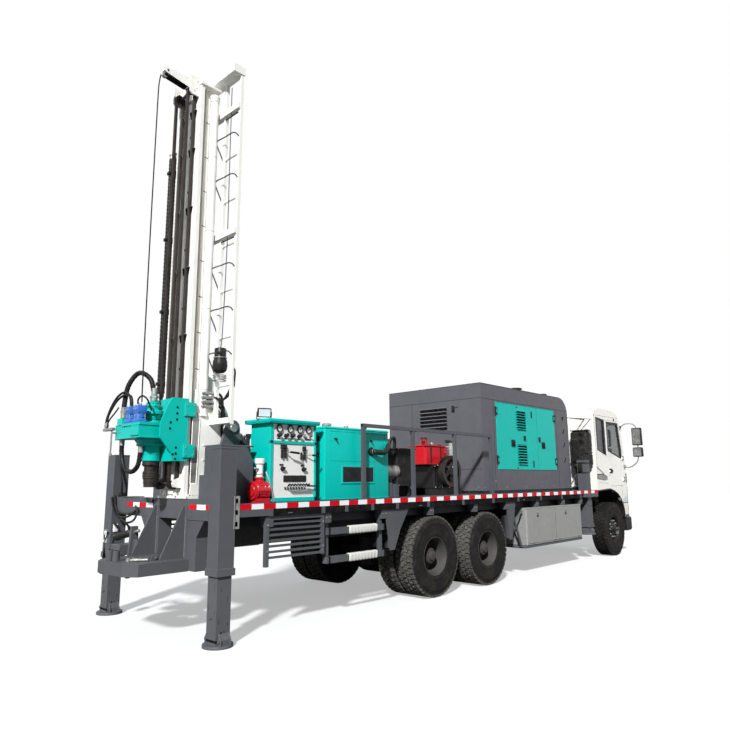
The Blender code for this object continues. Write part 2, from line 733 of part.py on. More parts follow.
def leg_tube(x, y, size, low, high, wall):
    """Square outer tube of a jack, capped on top, open below, with its collar."""
    half = size / 2
    body = weld([block(middle(x, size), middle(y, size), (low, high)),
                 block(middle(x, size + 2 * COLLAR), middle(y, size + 2 * COLLAR),
                       (low - COLLAR_HEIGHT, low))])
    inside = size - 2 * wall
    return cut(body, [block(middle(x, inside), middle(y, inside),
                            (low - COLLAR_HEIGHT - 0.01, high - wall))])


def rear_frame():
    """Cross beam, leg tubes, platform posts and the uprights that the mast turns on."""
    deck_face = DECK_REAR - GAP
    pieces = []
    for side in (-1, 1):
        pieces.append(leg_tube(LEG_X, side * LEG_Y, LEG_SIZE, LEG_BOTTOM, LEG_TOP, LEG_WALL))
    reach = LEG_Y - LEG_SIZE / 2 + OVERLAP
    pieces.append(block((BEAM_REAR, BEAM_FRONT), (-reach, reach), (BEAM_BOTTOM, BEAM_TOP)))
    pieces.append(block((BEAM_FRONT - OVERLAP, deck_face), (-(SIDE - 0.19), SIDE - 0.19),
                        (BEAM_BOTTOM + 0.02, DECK_TOP - 0.004)))
    for side in (-1, 1):
        y = MAST_Y + side * (UPRIGHT_INNER + UPRIGHT_WIDTH / 2)
        pieces.append(block((BEAM_FRONT - 0.04, UPRIGHT_REAR + OVERLAP), middle(y, UPRIGHT_WIDTH - 0.02),
                            (DECK_TOP + 0.02, DECK_TOP + 0.30)))
        outline = [(UPRIGHT_REAR, DECK_TOP + GAP), (UPRIGHT_FRONT, DECK_TOP + GAP),
                   (UPRIGHT_FRONT, UPRIGHT_TOP - 0.16), (UPRIGHT_FRONT - 0.10, UPRIGHT_TOP),
                   (UPRIGHT_REAR, UPRIGHT_TOP)]
        pieces.append(plate([outline], "XZ", middle(y, UPRIGHT_WIDTH)))
        ear_y = MAST_Y + side * (UPRIGHT_INNER + EAR_THICK / 2)
        ear = [(PIVOT_X - 0.16, UPRIGHT_TOP - 0.02)]
        ear += [(PIVOT_X + 0.095, UPRIGHT_TOP - 0.03)]
        ear += arc((PIVOT_X, PIVOT_Z), 0.095, 0, 180, 6)
        pieces.append(plate([ear], "XZ", middle(ear_y, EAR_THICK)))
    for side in (-1, 1):
        y = MAST_Y + side * GUSSET_OFFSET
        pieces.append(block((BEAM_REAR, BEAM_FRONT), middle(y, 0.11),
                            (PLATE_BOTTOM, BEAM_BOTTOM + OVERLAP)))
        inner = y + side * 0.050
        outer = inner + side * 0.175
        post = [(inner, PLATE_BOTTOM + 0.004), (outer, PLATE_BOTTOM + 0.004), (outer, POST_TOP),
                (outer + side * 0.14, BEAM_BOTTOM + OVERLAP), (inner, BEAM_BOTTOM + OVERLAP)]
        pieces.append(plate([post], "YZ", (BEAM_REAR + 0.004, BEAM_FRONT - 0.004)))
    frame = weld(pieces)
    bores = []
    for side in (-1, 1):
        ear_y = MAST_Y + side * (UPRIGHT_INNER + EAR_THICK / 2)
        bores.append(rod((PIVOT_X, ear_y - EAR_THICK, PIVOT_Z), (PIVOT_X, ear_y + EAR_THICK, PIVOT_Z),
                         PIVOT_PIN + PIN_PLAY, 20))
    return node("rear_frame", [cut(frame, bores)], "frame_grey")


def rear_platform():
    """Tongue behind the cross beam with its bore hole, side gussets and breakout gear."""
    low = MAST_Y - PLATE_HALF
    high = MAST_Y + PLATE_HALF
    front = BEAM_REAR - GAP
    outline = [(front, low), (front, high), (PLATE_REAR + 0.10, high), (PLATE_REAR, high - 0.13),
               (PLATE_REAR, low + 0.13), (PLATE_REAR + 0.10, low)]
    tongue = plate([outline, circle((SPINDLE_X, MAST_Y), BORE_RADIUS, 20)], "XY", (PLATE_BOTTOM, PLATE_TOP))
    pieces = [tongue]
    for side in (-1, 1):
        y = MAST_Y + side * GUSSET_OFFSET
        gusset = [(front, PLATE_TOP - 0.01), (front, BEAM_BOTTOM + 0.13),
                  (front - 0.03, BEAM_BOTTOM + 0.13),
                  (front - 0.27, PLATE_TOP + 0.03), (front - 0.27, PLATE_TOP - 0.01)]
        pieces.append(plate([gusset], "XZ", middle(y, 0.02)))
    for x, y in STOP_TUBES:
        pieces.append(rod((x, y, PLATE_TOP - OVERLAP), (x, y, PLATE_TOP + 0.105), 0.034, 10))
    cheek = [(TONG_X - 0.060, PLATE_TOP - OVERLAP), (TONG_X + 0.060, PLATE_TOP - OVERLAP),
             (TONG_X + 0.035, PLATE_TOP + 0.31), (TONG_X - 0.035, PLATE_TOP + 0.31)]
    pieces.append(plate([cheek], "XZ", middle(TONG_Y, 0.025)))
    pieces.append(rod((TONG_X, TONG_Y, PLATE_TOP + 0.25),
                      (TONG_X - 0.02, TONG_Y + TONG_REACH, PLATE_TOP + 0.18),
                      0.040, 10))
    return node("rear_platform", pieces, "frame_grey")


def jack_leg(name, x, y, outer, sole_z, length):
    """Inner leg that slides in its tube, on a round foot with two lugs."""
    size = outer - 2 * LEG_WALL - 2 * LEG_RUN
    foot_top = sole_z + FOOT_THICK
    pieces = [rod((x, y, sole_z), (x, y, foot_top), FOOT_RADIUS, 24),
              block(middle(x, size), middle(y, size), (foot_top - OVERLAP, sole_z + length))]
    for side in (-1, 1):
        lug = [(y + side * (size / 2 - 0.004), foot_top - 0.004),
               (y + side * (size / 2 + 0.045), foot_top - 0.004),
               (y + side * (size / 2 + 0.045), foot_top + 0.05),
               (y + side * (size / 2 + 0.020), foot_top + 0.095),
               (y + side * (size / 2 - 0.004), foot_top + 0.105)]
        pieces.append(plate([lug], "YZ", middle(x, 0.10)))
    return node(name, pieces, "frame_grey", origin=(x, y, sole_z))


def front_jack_frame():
    """Cross member under the deck's front that carries the two front leg tubes."""
    pieces = []
    for side in (-1, 1):
        pieces.append(leg_tube(FRONT_JACK_X, side * FRONT_JACK_Y, FRONT_JACK_SIZE, FRONT_JACK_BOTTOM,
                               FRONT_JACK_TOP, LEG_WALL))
    reach = FRONT_JACK_Y - FRONT_JACK_SIZE / 2 + OVERLAP
    pieces.append(block(middle(FRONT_JACK_X, 0.16), (-reach, reach),
                        (RAIL_TOP + GAP, DECK_TOP - DECK_EDGE - GAP)))
    return node("front_jack_frame", pieces, "frame_grey")


# Machinery on the deck

def control_console():
    """Cabinet with a slanted back foot, an overhanging roof, gauges, knobs, levers and a lamp."""
    x0, x1 = CONSOLE_X
    y0, y1 = CONSOLE_Y
    base = DECK_TOP + GAP
    front = [(x0, CONSOLE_TOP), (x0, base + 0.10), (x0 + 0.08, base), (x1, base), (x1, CONSOLE_TOP)]
    pieces = [plate([front], "XZ", (y0 + 0.02, y1)),
              block((x0 - 0.06, x1 + 0.02), (y0 - 0.05, y1 + 0.05),
                    (CONSOLE_TOP - OVERLAP, CONSOLE_TOP + 0.035)),
              block((x0 + 0.03, x1 - 0.03), (y0 + 0.006, y0 + 0.03),
                    (CONSOLE_TOP - 0.245, CONSOLE_TOP - 0.035)),
              block((x0 + 0.03, x1 - 0.03), (y0 + 0.012, y0 + 0.03), (base + 0.03, CONSOLE_TOP - 0.29))]
    pitch = (x1 - x0 - 0.20) / 3
    for i in range(4):
        x = x0 + 0.10 + i * pitch
        pieces.append(rod((x, y0 - 0.022, CONSOLE_TOP - 0.095), (x, y0 + 0.02, CONSOLE_TOP - 0.095),
                          0.038, 12))
        pieces.append(rod((x, y0 - 0.030, CONSOLE_TOP - 0.195), (x, y0 + 0.02, CONSOLE_TOP - 0.195),
                          0.018, 8))
    lever_z = base + 0.18
    for i in range(8):
        x = x0 + 0.20 + i * 0.040
        pieces.append(rod((x, y0 + 0.02, lever_z), (x, y0 - 0.085, lever_z + 0.030), 0.007, 6))
    pieces.append(rod((x0 + 0.05, y0 + 0.12, CONSOLE_TOP + 0.03),
                      (x0 + 0.05, y0 + 0.12, CONSOLE_TOP + 0.085), 0.012, 8))
    pieces.append(block((x0 - 0.010, x0 + 0.085), (y0 + 0.055, y0 + 0.185),
                        (CONSOLE_TOP + 0.075, CONSOLE_TOP + 0.145)))
    return node("control_console", pieces, "teal")


def hydraulic_tank():
    """Oil tank with its filler cap, sight window frame, handles and outlet elbow."""
    x0, x1 = TANK_X
    y0, y1 = TANK_Y
    base = DECK_TOP + GAP
    pieces = [block(TANK_X, TANK_Y, (base, TANK_TOP), 0.012),
              rod((x0 + 0.14, y0 + 0.12, TANK_TOP - OVERLAP), (x0 + 0.14, y0 + 0.12, TANK_TOP + 0.045),
                  0.055, 16),
              block((x0 + 0.42, x0 + 0.94), (y0 - 0.008, y0 + 0.01), (base + 0.14, base + 0.36))]
    for dx in (0.26, 0.86):
        grip = [(x0 + dx, y0 + 0.005, TANK_TOP - 0.12), (x0 + dx, y0 - 0.035, TANK_TOP - 0.12),
                (x0 + dx + 0.12, y0 - 0.035, TANK_TOP - 0.12),
                (x0 + dx + 0.12, y0 + 0.005, TANK_TOP - 0.12)]
        pieces.append(pipe(grip, 0.008, 1))
    elbow = [(x1 - 0.32, y0 + 0.02, base + 0.58), (x1 - 0.32, y0 - 0.05, base + 0.58)]
    elbow += [(x1 - 0.32 + 0.06 * (1 - math.cos(t)), y0 - 0.05 - 0.05 * math.sin(t), base + 0.58)
              for t in (0.8, 1.57)]
    elbow += [(x1 - 0.10, y0 - 0.045, base + 0.60), (x1 + 0.10, y0 + 0.05, base + 0.72),
              (x1 + 0.22, y0 + 0.25, base + 0.74)]
    pieces.append(pipe(smooth_route(elbow, 16), 0.036, 2))
    return node("hydraulic_tank", pieces, "teal")


def aux_engine():
    """Single-cylinder diesel on skids with its belt wheel guard open to view."""
    base = DECK_TOP + GAP
    x = ENGINE_X
    y = ENGINE_Y
    pieces = [block((x - 0.42, x + 0.42), (y - 0.22, y - 0.14), (base, base + 0.10)),
              block((x - 0.42, x + 0.42), (y + 0.14, y + 0.22), (base, base + 0.10)),
              block((x - 0.30, x + 0.28), (y - 0.22, y + 0.22), (base + 0.09, base + 0.46), 0.02),
              block((x - 0.42, x + 0.10), (y - 0.16, y + 0.16), (base + 0.44, base + 0.76), 0.03),
              rod((x + 0.05, y, base + 0.42), (x + 0.34, y, base + 0.58), 0.13, 12),
              rod((x - 0.18, y + 0.05, base + 0.70), (x - 0.18, y + 0.05, base + 0.86), 0.05, 12),
              rod((x, y - 0.34, base + 0.36), (x, y - 0.20, base + 0.36), 0.035, 12)]
    return node("aux_engine", pieces, "red")


def engine_flywheel():
    """Spoked belt wheel of the small engine, free on its shaft."""
    base = DECK_TOP + GAP
    y = ENGINE_Y - 0.30
    bore = 0.035 + PIN_PLAY
    centre = (ENGINE_X, y, base + 0.36)
    place = Matrix.Translation(centre) @ Matrix.Rotation(math.pi / 2, 4, "X")
    ring = turned([(0.235, 0.045), (0.235, -0.045), (0.185, -0.045), (0.185, 0.045)], place, 24)
    hub = turned([(0.060, 0.035), (0.060, -0.035), (bore, -0.035), (bore, 0.035)], place, 16)
    pieces = [ring, hub]
    for i in range(5):
        turn = 2 * math.pi * i / 5
        reach = Vector((math.cos(turn), 0, math.sin(turn)))
        pieces.append(beam(Vector(centre) + reach * 0.052, Vector(centre) + reach * 0.19, 0.03, 0.035))
    return node("engine_flywheel", pieces, "black", origin=centre)


def filter_unit():
    """Oil cooler with its return filter on a stand, between tank and engine."""
    base = DECK_TOP + GAP
    pieces = [block((-2.06, -1.66), (-0.98, -0.60), (base + 0.16, base + 0.66), 0.015),
              block((-2.02, -1.97), (-0.92, -0.66), (base, base + 0.20)),
              block((-1.75, -1.70), (-0.92, -0.66), (base, base + 0.20)),
              rod((-2.32, -0.93, base + 0.35), (-2.03, -0.93, base + 0.35), 0.085, 16),
              rod((-2.345, -0.93, base + 0.35), (-2.31, -0.93, base + 0.35), 0.060, 12)]
    return node("filter_unit", pieces, "black")


def mud_pump():
    """Water pump by the mast: round body on a foot, flanged outlet and its air bottle."""
    base = DECK_TOP + GAP
    x = -4.46
    y = -1.06
    pieces = [block((x - 0.10, x + 0.06), (y - 0.09, y + 0.09), (base, base + 0.05)),
              rod((x - 0.12, y, base + 0.13), (x + 0.06, y, base + 0.13), 0.095, 16),
              rod((x - 0.02, y, base + 0.13), (x - 0.02, y, base + 0.27), 0.045, 12),
              rod((x - 0.02, y, base + 0.25), (x - 0.02, y, base + 0.44), 0.035, 12),
              rod((x - 0.02, y, base + 0.42), (x - 0.02, y, base + 0.47), 0.050, 12)]
    return node("mud_pump", pieces, "red")


def canopy_outline(inset, low):
    """Side view of the sound hood: square at the rear, well rounded at its front top edge."""
    rear = CANOPY_REAR + inset
    front = CANOPY_FRONT - inset
    top = CANOPY_TOP - inset
    radius = CANOPY_ROUND - inset
    outline = [(rear, low), (front, low)]
    outline += arc((front - radius, top - radius), radius, 0, 90, 6)
    outline += [(rear, top)]
    return outline


def louvres(x, y, z, count, side):
    """Slots that stand out of a panel across Y, one above the other."""
    pitch = (z[1] - z[0]) / count
    return [block(x, sorted((y - side * 0.012, y + side * 0.010)),
                  (z[0] + i * pitch, z[0] + (i + 0.55) * pitch))
            for i in range(count)]


def canopy():
    """Hollow sound hood over the compressor, its right side open behind two doors."""
    shell = plate([canopy_outline(0.0, CANOPY_BASE)], "XZ", (-CANOPY_HALF, CANOPY_HALF))
    room = plate([canopy_outline(CANOPY_WALL, CANOPY_BASE - 0.01)], "XZ",
                 (-CANOPY_HALF + CANOPY_WALL, CANOPY_HALF - CANOPY_WALL))
    doorway = block((DOOR_X[0], DOOR_X[1]), (-CANOPY_HALF - 0.02, -CANOPY_HALF + CANOPY_WALL + 0.01),
                    (DOOR_Z[0], DOOR_Z[1]))
    body = cut(shell, [room, doorway])
    extras = []
    for i in range(6):
        z = 2.455 + i * 0.066
        extras.append(block((CANOPY_REAR - 0.012, CANOPY_REAR + 0.01), (-0.31, 0.27), (z, z + 0.034)))
    extras.append(rod((1.770, -0.70, CANOPY_TOP - 0.005), (1.770, -0.70, CANOPY_TOP + 0.075), 0.045, 12))
    extras.append(rod((2.880, -0.70, CANOPY_TOP - 0.005), (2.880, -0.70, CANOPY_TOP + 0.095), 0.060, 12))
    extras.append(block((CANOPY_REAR - 0.014, CANOPY_REAR + 0.01), (-0.55, -0.43), (2.80, 2.84)))
    return node("canopy", [body] + extras, "canopy_grey")


def canopy_doors():
    """The pair of leaves, hinged at their outer edges on upright pins."""
    split = (DOOR_X[0] + DOOR_X[1]) / 2
    made = []
    for name, x, hinge, side in (
            ("canopy_door_rear", (DOOR_X[0] + 0.005, split - 0.003), CANOPY_HINGES[0], 1),
            ("canopy_door_front", (split + 0.003, DOOR_X[1] - 0.005), CANOPY_HINGES[1], -1)):
        y = -CANOPY_HALF
        pin_y = y - CANOPY_HINGE - GAP
        low = DOOR_Z[0] + 0.005
        high = DOOR_Z[1] - 0.005
        pieces = [block(x, (y - 0.004, y + 0.018), (low, high))]
        if side > 0:
            pieces += louvres((x[0] + 0.68, x[1] - 0.07), y - 0.004, (low + 0.70, high - 0.08), 8, -1)
            pieces += louvres((x[0] + 0.68, x[1] - 0.07), y - 0.004, (low + 0.08, low + 0.46), 8, -1)
        latch_x = x[1] - 0.12 if side > 0 else x[0] + 0.42
        pieces.append(block(middle(latch_x, 0.05), (y - 0.022, y), (low + 0.52, low + 0.60)))
        for z in (low + 0.16, high - 0.16):
            pieces.append(rod((hinge, pin_y, z - 0.035), (hinge, pin_y, z + 0.035), CANOPY_HINGE, 12))
            pieces.append(block(sorted((hinge, hinge + side * 0.04)), (pin_y - 0.006, y - 0.001),
                                middle(z, 0.06)))
        made.append(node(name, pieces, "teal", origin=(hinge, pin_y, low)))
    return made


def canopy_machine():
    """The compressor and its engine inside the hood, as one plain block on its bed."""
    base = DECK_TOP + GAP
    rear = CANOPY_REAR + 0.215
    front = CANOPY_FRONT - 0.265
    half = CANOPY_HALF - 0.25
    bed = block((rear, front), (-half, half), (base, base + 0.12))
    mass = block((rear + 0.15, front - 0.15), (0.13 - half, half - 0.13),
                 (base + 0.11, CANOPY_TOP - 0.626), 0.06)
    return node("canopy_machine", [bed, mass], "iron")


def air_cleaner():
    """Upright intake filter on a bracket from the cab's rear wall."""
    x0, x1 = CAB_REAR - 0.30, CAB_REAR - 0.06
    outer = -(CAB_HALF - 0.035)
    bracket = (outer + 0.115, outer + 0.215)
    pieces = [block((x0, x1), (outer, outer + 0.365), (1.78, 2.56), 0.05),
              block((x0 + 0.05, x1 - 0.02), (outer + 0.065, outer + 0.325), (1.62, 1.80), 0.03),
              block((x1 - 0.03, CAB_REAR - GAP), bracket, (2.30, 2.40)),
              block((x1 - 0.03, CAB_REAR - GAP), bracket, (1.85, 1.95))]
    return node("air_cleaner", pieces, "black")


# Cab

def cab_side_outline(inset=0.0):
    """Side view of the cab with its wheel arch, low at the front corner."""
    rear = CAB_REAR + inset
    front = CAB_FRONT - inset
    top = CAB_TOP - inset
    low = CAB_LOW
    return [(rear, CAB_FLOOR), (AXLE_1 - 0.02, CAB_FLOOR + 0.03), (AXLE_1 + 0.38, CAB_FLOOR - 0.08),
            (AXLE_1 + 0.62, 1.02), (AXLE_1 + 0.68, low), (front - 0.02, low), (front, 1.40),
            (front - 0.02, BELT_Z), (front - 0.14, top - 0.28), (front - 0.28, top - 0.08),
            (front - 0.60, top), (rear + 0.28, top), (rear + 0.06, top - 0.06), (rear, top - 0.22)]


def cab_shell():
    """Pressed cab body: hollow, its windows and door openings cut, floor and arches inside."""
    wall = CAB_WALL
    shell = plate([cab_side_outline()], "XZ", (-CAB_HALF, CAB_HALF))
    inside = [(CAB_REAR + wall, CAB_FLOOR + 0.10), (AXLE_1 + 0.40, CAB_FLOOR + 0.10),
              (CAB_FRONT - wall, CAB_FLOOR + 0.10),
              (CAB_FRONT - wall - 0.02, BELT_Z), (CAB_FRONT - 0.14 - wall, CAB_TOP - 0.30),
              (CAB_FRONT - 0.30 - wall, CAB_TOP - 0.12), (CAB_FRONT - 0.62, CAB_TOP - wall),
              (CAB_REAR + 0.28, CAB_TOP - wall), (CAB_REAR + wall, CAB_TOP - 0.22)]
    room = plate([inside], "XZ", (-CAB_HALF + wall, CAB_HALF - wall))
    under = block((CAB_REAR - 0.10, CAB_FRONT - 0.05), (-CAB_HALF + wall, CAB_HALF - wall),
                  (0.5, CAB_FLOOR))
    screen = block((CAB_FRONT - 0.50, CAB_FRONT + 0.10), (-SCREEN_HALF, SCREEN_HALF), SCREEN_Z)
    tools = [room, under, screen]
    dx0, dx1 = CAB_DOOR_X
    dz0, dz1 = CAB_DOOR_Z
    opening = [(dx0, dz0 + 0.42), (dx0 + 0.10, dz0 + 0.16), (dx1, dz0 + 0.16), (dx1, dz1 - 0.62),
               (dx1 - 0.12, dz1), (dx0, dz1)]
    quarter = [(CAB_REAR + 0.16, BELT_Z + 0.10), (CAB_REAR + 0.50, BELT_Z + 0.02), (CAB_REAR + 0.50, 2.80),
               (CAB_REAR + 0.16, 2.83)]
    for side in (-1, 1):
        across = sorted((side * (CAB_HALF + 0.05), side * (CAB_HALF - wall - 0.01)))
        tools.append(plate([opening], "XZ", across))
        tools.append(plate([quarter], "XZ", across))
    tools.append(block((CAB_REAR - 0.05, CAB_REAR + wall + 0.01), (-0.55, 0.55), (2.20, 2.72)))
    return node("cab_shell", [cut(shell, tools)], "cab_white")


def cab_door(name, side):
    """Door as thick as the side wall, its window cut, with a handle, on its front hinge line."""
    wall = CAB_WALL
    play = 0.006
    dx0, dx1 = CAB_DOOR_X
    dz0, dz1 = CAB_DOOR_Z
    leaf = [(dx0 + play, dz0 + 0.42 + play), (dx0 + 0.10 + play, dz0 + 0.16 + play),
            (dx1 - play, dz0 + 0.16 + play),
            (dx1 - play, dz1 - 0.62), (dx1 - 0.12 - play, dz1 - play), (dx0 + play, dz1 - play)]
    window = [(dx0 + 0.07, BELT_Z + 0.12), (dx1 - 0.07, BELT_Z - 0.02), (dx1 - 0.07, dz1 - 0.64),
              (dx1 - 0.17, dz1 - 0.08), (dx0 + 0.07, dz1 - 0.08)]
    across = sorted((side * (CAB_HALF - GAP), side * (CAB_HALF - wall + 0.004)))
    pieces = [plate([leaf, window], "XZ", across),
              block((dx0 + 0.05, dx0 + 0.19), sorted((side * (CAB_HALF - 0.01), side * (CAB_HALF + 0.022))),
                    (1.715, 1.755))]
    for z in (1.56, 2.02):
        pieces.append(rod((CAB_HINGE_X, side * CAB_HINGE_Y, z - 0.04),
                          (CAB_HINGE_X, side * CAB_HINGE_Y, z + 0.04),
                          CAB_HINGE, 12))
        pieces.append(block((dx1 - 0.05, dx1 - 0.008),
                            sorted((side * (CAB_HALF - 0.004), side * (CAB_HALF + 0.008))),
                            middle(z, 0.06)))
        pieces.append(block((dx1 - 0.05, CAB_HINGE_X),
                            sorted((side * (CAB_HALF + GAP), side * (CAB_HINGE_Y + 0.006))),
                            middle(z, 0.06)))
    return node(name, pieces, "cab_white", origin=(CAB_HINGE_X, side * CAB_HINGE_Y, dz0))


def cab_interior():
    """Two seats, the dash and the steering wheel on the cab's floor."""
    floor = CAB_FLOOR + 0.10 + GAP
    half = CAB_HALF - 0.25
    dash = CAB_HALF - 0.15
    seat_y = CAB_HALF - 0.58
    seat_x = CAB_REAR + 0.565
    wheel_x = CAB_FRONT - 0.48
    pieces = [block((CAB_REAR + 0.30, CAB_FRONT - 0.12), (-half, half), (floor, floor + 0.04)),
              block((CAB_FRONT - 0.42, CAB_FRONT - 0.12), (-dash, dash), (floor + 0.03, BELT_Z - 0.04),
                    0.04)]
    for y in (-seat_y, seat_y):
        pieces.append(block((seat_x, seat_x + 0.45), middle(y, 0.50), (floor + 0.03, floor + 0.36), 0.03))
        pieces.append(beam((seat_x, y, floor + 0.32), (seat_x - 0.16, y, floor + 0.93), 0.48, 0.12))
        pieces.append(block((seat_x - 0.24, seat_x - 0.14), middle(y, 0.26),
                            (floor + 0.89, floor + 1.09), 0.02))
    pieces.append(rod((wheel_x + 0.12, seat_y, BELT_Z - 0.10), (wheel_x, seat_y, BELT_Z + 0.04), 0.025, 10))
    pieces.append(rod((wheel_x + 0.015, seat_y, BELT_Z + 0.020), (wheel_x - 0.015, seat_y, BELT_Z + 0.055),
                      0.22, 20))
    return node("cab_interior", pieces, "black")


def windscreen():
    """Glass in the cab's front opening."""
    low = SCREEN_Z[0] + GAP
    high = SCREEN_Z[1] - GAP
    lean = [(CAB_FRONT - 0.055, low), (CAB_FRONT - 0.029, low), (CAB_FRONT - 0.146, high),
            (CAB_FRONT - 0.172, high)]
    pane = plate([lean], "XZ", (-SCREEN_HALF + GAP, SCREEN_HALF - GAP))
    return node("windscreen", [pane], "glass")


def front_bumper():
    """Bumper beam with its steps and round lamps, bolted to the frame's front ends."""
    low = CAB_LOW - 0.30
    face = CAB_FRONT + 0.135
    bracket = RAIL_Y + RAIL_WIDTH / 2 + 0.02
    pieces = [block((RAIL_FRONT + GAP, face), (-CAB_HALF, CAB_HALF), (low, CAB_LOW - 0.005 - GAP), 0.03),
              block((RAIL_FRONT + GAP, RAIL_FRONT + 0.045), (-bracket, bracket),
                    (CAB_LOW - 0.04, RAIL_TOP - 0.02))]
    for side in (-1, 1):
        corner = sorted((side * CAB_HALF, side * (CAB_HALF - 0.22)))
        pieces.append(block((RAIL_FRONT - 0.10, RAIL_FRONT + 0.06), corner, (low, CAB_LOW - 0.02)))
        pieces.append(block((face - 0.015, face + 0.015), middle(side * (CAB_HALF - 0.28), 0.34),
                            (low + 0.10, low + 0.24), 0.01))
    return node("front_bumper", pieces, "black")


def mirror(name, side):
    """Two mirror heads on a bowed arm from the cab's front pillar."""
    y = side * CAB_HALF
    arm = [(5.42, y + side * 0.012, 2.70), (5.46, y + side * 0.12, 2.78), (5.52, y + side * 0.28, 2.76),
           (5.535, y + side * 0.33, 2.60), (5.535, y + side * 0.33, 2.10), (5.535, y + side * 0.28, 1.92),
           (5.53, y + side * 0.12, 1.82), (5.52, y + side * 0.012, 1.84)]
    pieces = [pipe(smooth_route(arm, 22), 0.014, 1),
              block(middle(5.42, 0.05), sorted((y + side * GAP, y + side * 0.03)), middle(2.70, 0.07)),
              block(middle(5.52, 0.05), sorted((y + side * GAP, y + side * 0.03)), middle(1.84, 0.07)),
              block((5.49, 5.58), middle(y + side * 0.33, 0.20), (2.30, 2.68), 0.02),
              block((5.49, 5.58), middle(y + side * 0.33, 0.20), (2.05, 2.25), 0.02)]
    return node(name, pieces, "black")


# Drill mast

def mast_section():
    """Plan of the mast: rear guide flange, narrow web and the box in front."""
    rear = MAST_REAR
    half = [(rear, MAST_HALF), (rear + FLANGE, MAST_HALF), (rear + FLANGE, WEB_HALF),
            (rear + 0.105, WEB_HALF), (rear + 0.105, MAST_BOX_HALF), (MAST_FRONT, MAST_BOX_HALF)]
    right = [(x, MAST_Y - y) for x, y in half]
    left = [(x, MAST_Y + y) for x, y in reversed(half)]
    return right + left


def mast():
    """Column with its round side tubes, foot, tilt cheeks, pivot shaft and cylinder lugs."""
    pieces = [plate([mast_section()], "XY", (MAST_FOOT, MAST_TOP)),
              block((MAST_REAR, MAST_FRONT), middle(MAST_Y, 0.58), (MAST_FOOT, MAST_FOOT + 0.03))]
    for side in (-1, 1):
        tube = (MAST_FRONT - 0.070, MAST_Y + side * (MAST_BOX_HALF + 0.045))
        pieces.append(rod((*tube, 2.30), (*tube, MAST_TOP - 0.10), 0.052, 16))
        pieces.append(rod((*tube, MAST_TOP - 0.13), (*tube, MAST_TOP - 0.08), 0.058, 16))
        cheek = [(MAST_REAR + 0.110, MAST_FOOT + 0.01), (MAST_FRONT, MAST_FOOT + 0.01),
                 (MAST_FRONT + 0.03, MAST_FOOT + 0.20)]
        cheek += arc((PIVOT_X, PIVOT_Z), 0.080, -50, 90, 5)
        cheek += [(MAST_FRONT + 0.02, PIVOT_Z + 0.34), (MAST_REAR + 0.110, PIVOT_Z + 0.42)]
        inner = MAST_Y + side * CHEEK_INNER
        pieces.append(plate([cheek], "XZ", sorted((inner, inner + side * CHEEK_THICK))))
        pieces.append(rod((PIVOT_X, inner, PIVOT_Z),
                          (PIVOT_X, MAST_Y + side * (UPRIGHT_INNER - 0.0005), PIVOT_Z),
                          0.070, 16))
        lug = [(MAST_FRONT - 0.04, EYE_Z - 0.11), (MAST_FRONT - 0.04, EYE_Z + 0.14)]
        lug += arc((EYE_X, EYE_Z), 0.050, 60, -70, 5)
        lug_y = sorted((inner - side * 0.004, MAST_Y + side * (RAISE_LUG + RAISE_LUG_THICK / 2)))
        pieces.append(plate([lug], "XZ", lug_y))
        sprocket = [(MAST_REAR + 0.01, CHAIN_LOW - 0.05), (MAST_REAR + 0.01, CHAIN_LOW + 0.08),
                    (CHAIN_X - 0.03, CHAIN_LOW + 0.035), (CHAIN_X - 0.045, CHAIN_LOW),
                    (CHAIN_X - 0.03, CHAIN_LOW - 0.035)]
        pieces.append(plate([sprocket], "XZ", middle(MAST_Y + side * SPROCKET_CHEEK, 0.020)))
        for z in (3.20, 4.00, 4.75, 5.50, 6.00):
            fin = [(MAST_REAR + 0.005, z - 0.05), (MAST_REAR + 0.005, z + 0.03),
                   (MAST_REAR - 0.022, z + 0.03)]
            pieces.append(plate([fin], "XZ", middle(MAST_Y + side * 0.085, 0.03)))
    shaft = UPRIGHT_INNER + EAR_THICK + 0.02
    pieces.append(rod((PIVOT_X, MAST_Y - shaft, PIVOT_Z), (PIVOT_X, MAST_Y + shaft, PIVOT_Z), PIVOT_PIN,
                      20))
    reach = RAISE_LUG + RAISE_LUG_THICK
    eye = rod((EYE_X, MAST_Y - reach, EYE_Z), (EYE_X, MAST_Y + reach, EYE_Z), RAISE_PIN + PIN_PLAY, 16)
    return node("mast", [cut(weld(pieces), [eye])], "mast_white", origin=(PIVOT_X, MAST_Y, PIVOT_Z))


def ladder():
    """Square rails and round rungs, held off the mast by a foot bar and two brackets."""
    pieces = []
    outer = LADDER_OUTER - LADDER_RAIL / 2 + 0.002
    front = LADDER_X + LADDER_RAIL / 2 - 0.002
    for y in (LADDER_INNER, LADDER_OUTER):
        pieces.append(block(middle(LADDER_X, LADDER_RAIL), middle(y, LADDER_RAIL),
                            (LADDER_FOOT, LADDER_HEAD - GAP)))
    for i in range(RUNGS):
        z = RUNG_FIRST + i * RUNG_PITCH
        pieces.append(rod((LADDER_X, LADDER_INNER, z), (LADDER_X, LADDER_OUTER, z), 0.014, 8))
    cheek_face = MAST_Y - CHEEK_INNER - CHEEK_THICK - GAP
    pieces.append(block((MAST_FRONT + GAP, front), (outer, cheek_face),
                        (LADDER_FOOT + 0.01, LADDER_FOOT + 0.07)))
    for z in (4.440, 6.030):
        pieces.append(block((MAST_FRONT + GAP, front), (outer, MAST_Y - 0.10), middle(z, 0.07)))
    return node("ladder", pieces, "mast_white", origin=(LADDER_X, LADDER_INNER, LADDER_FOOT))


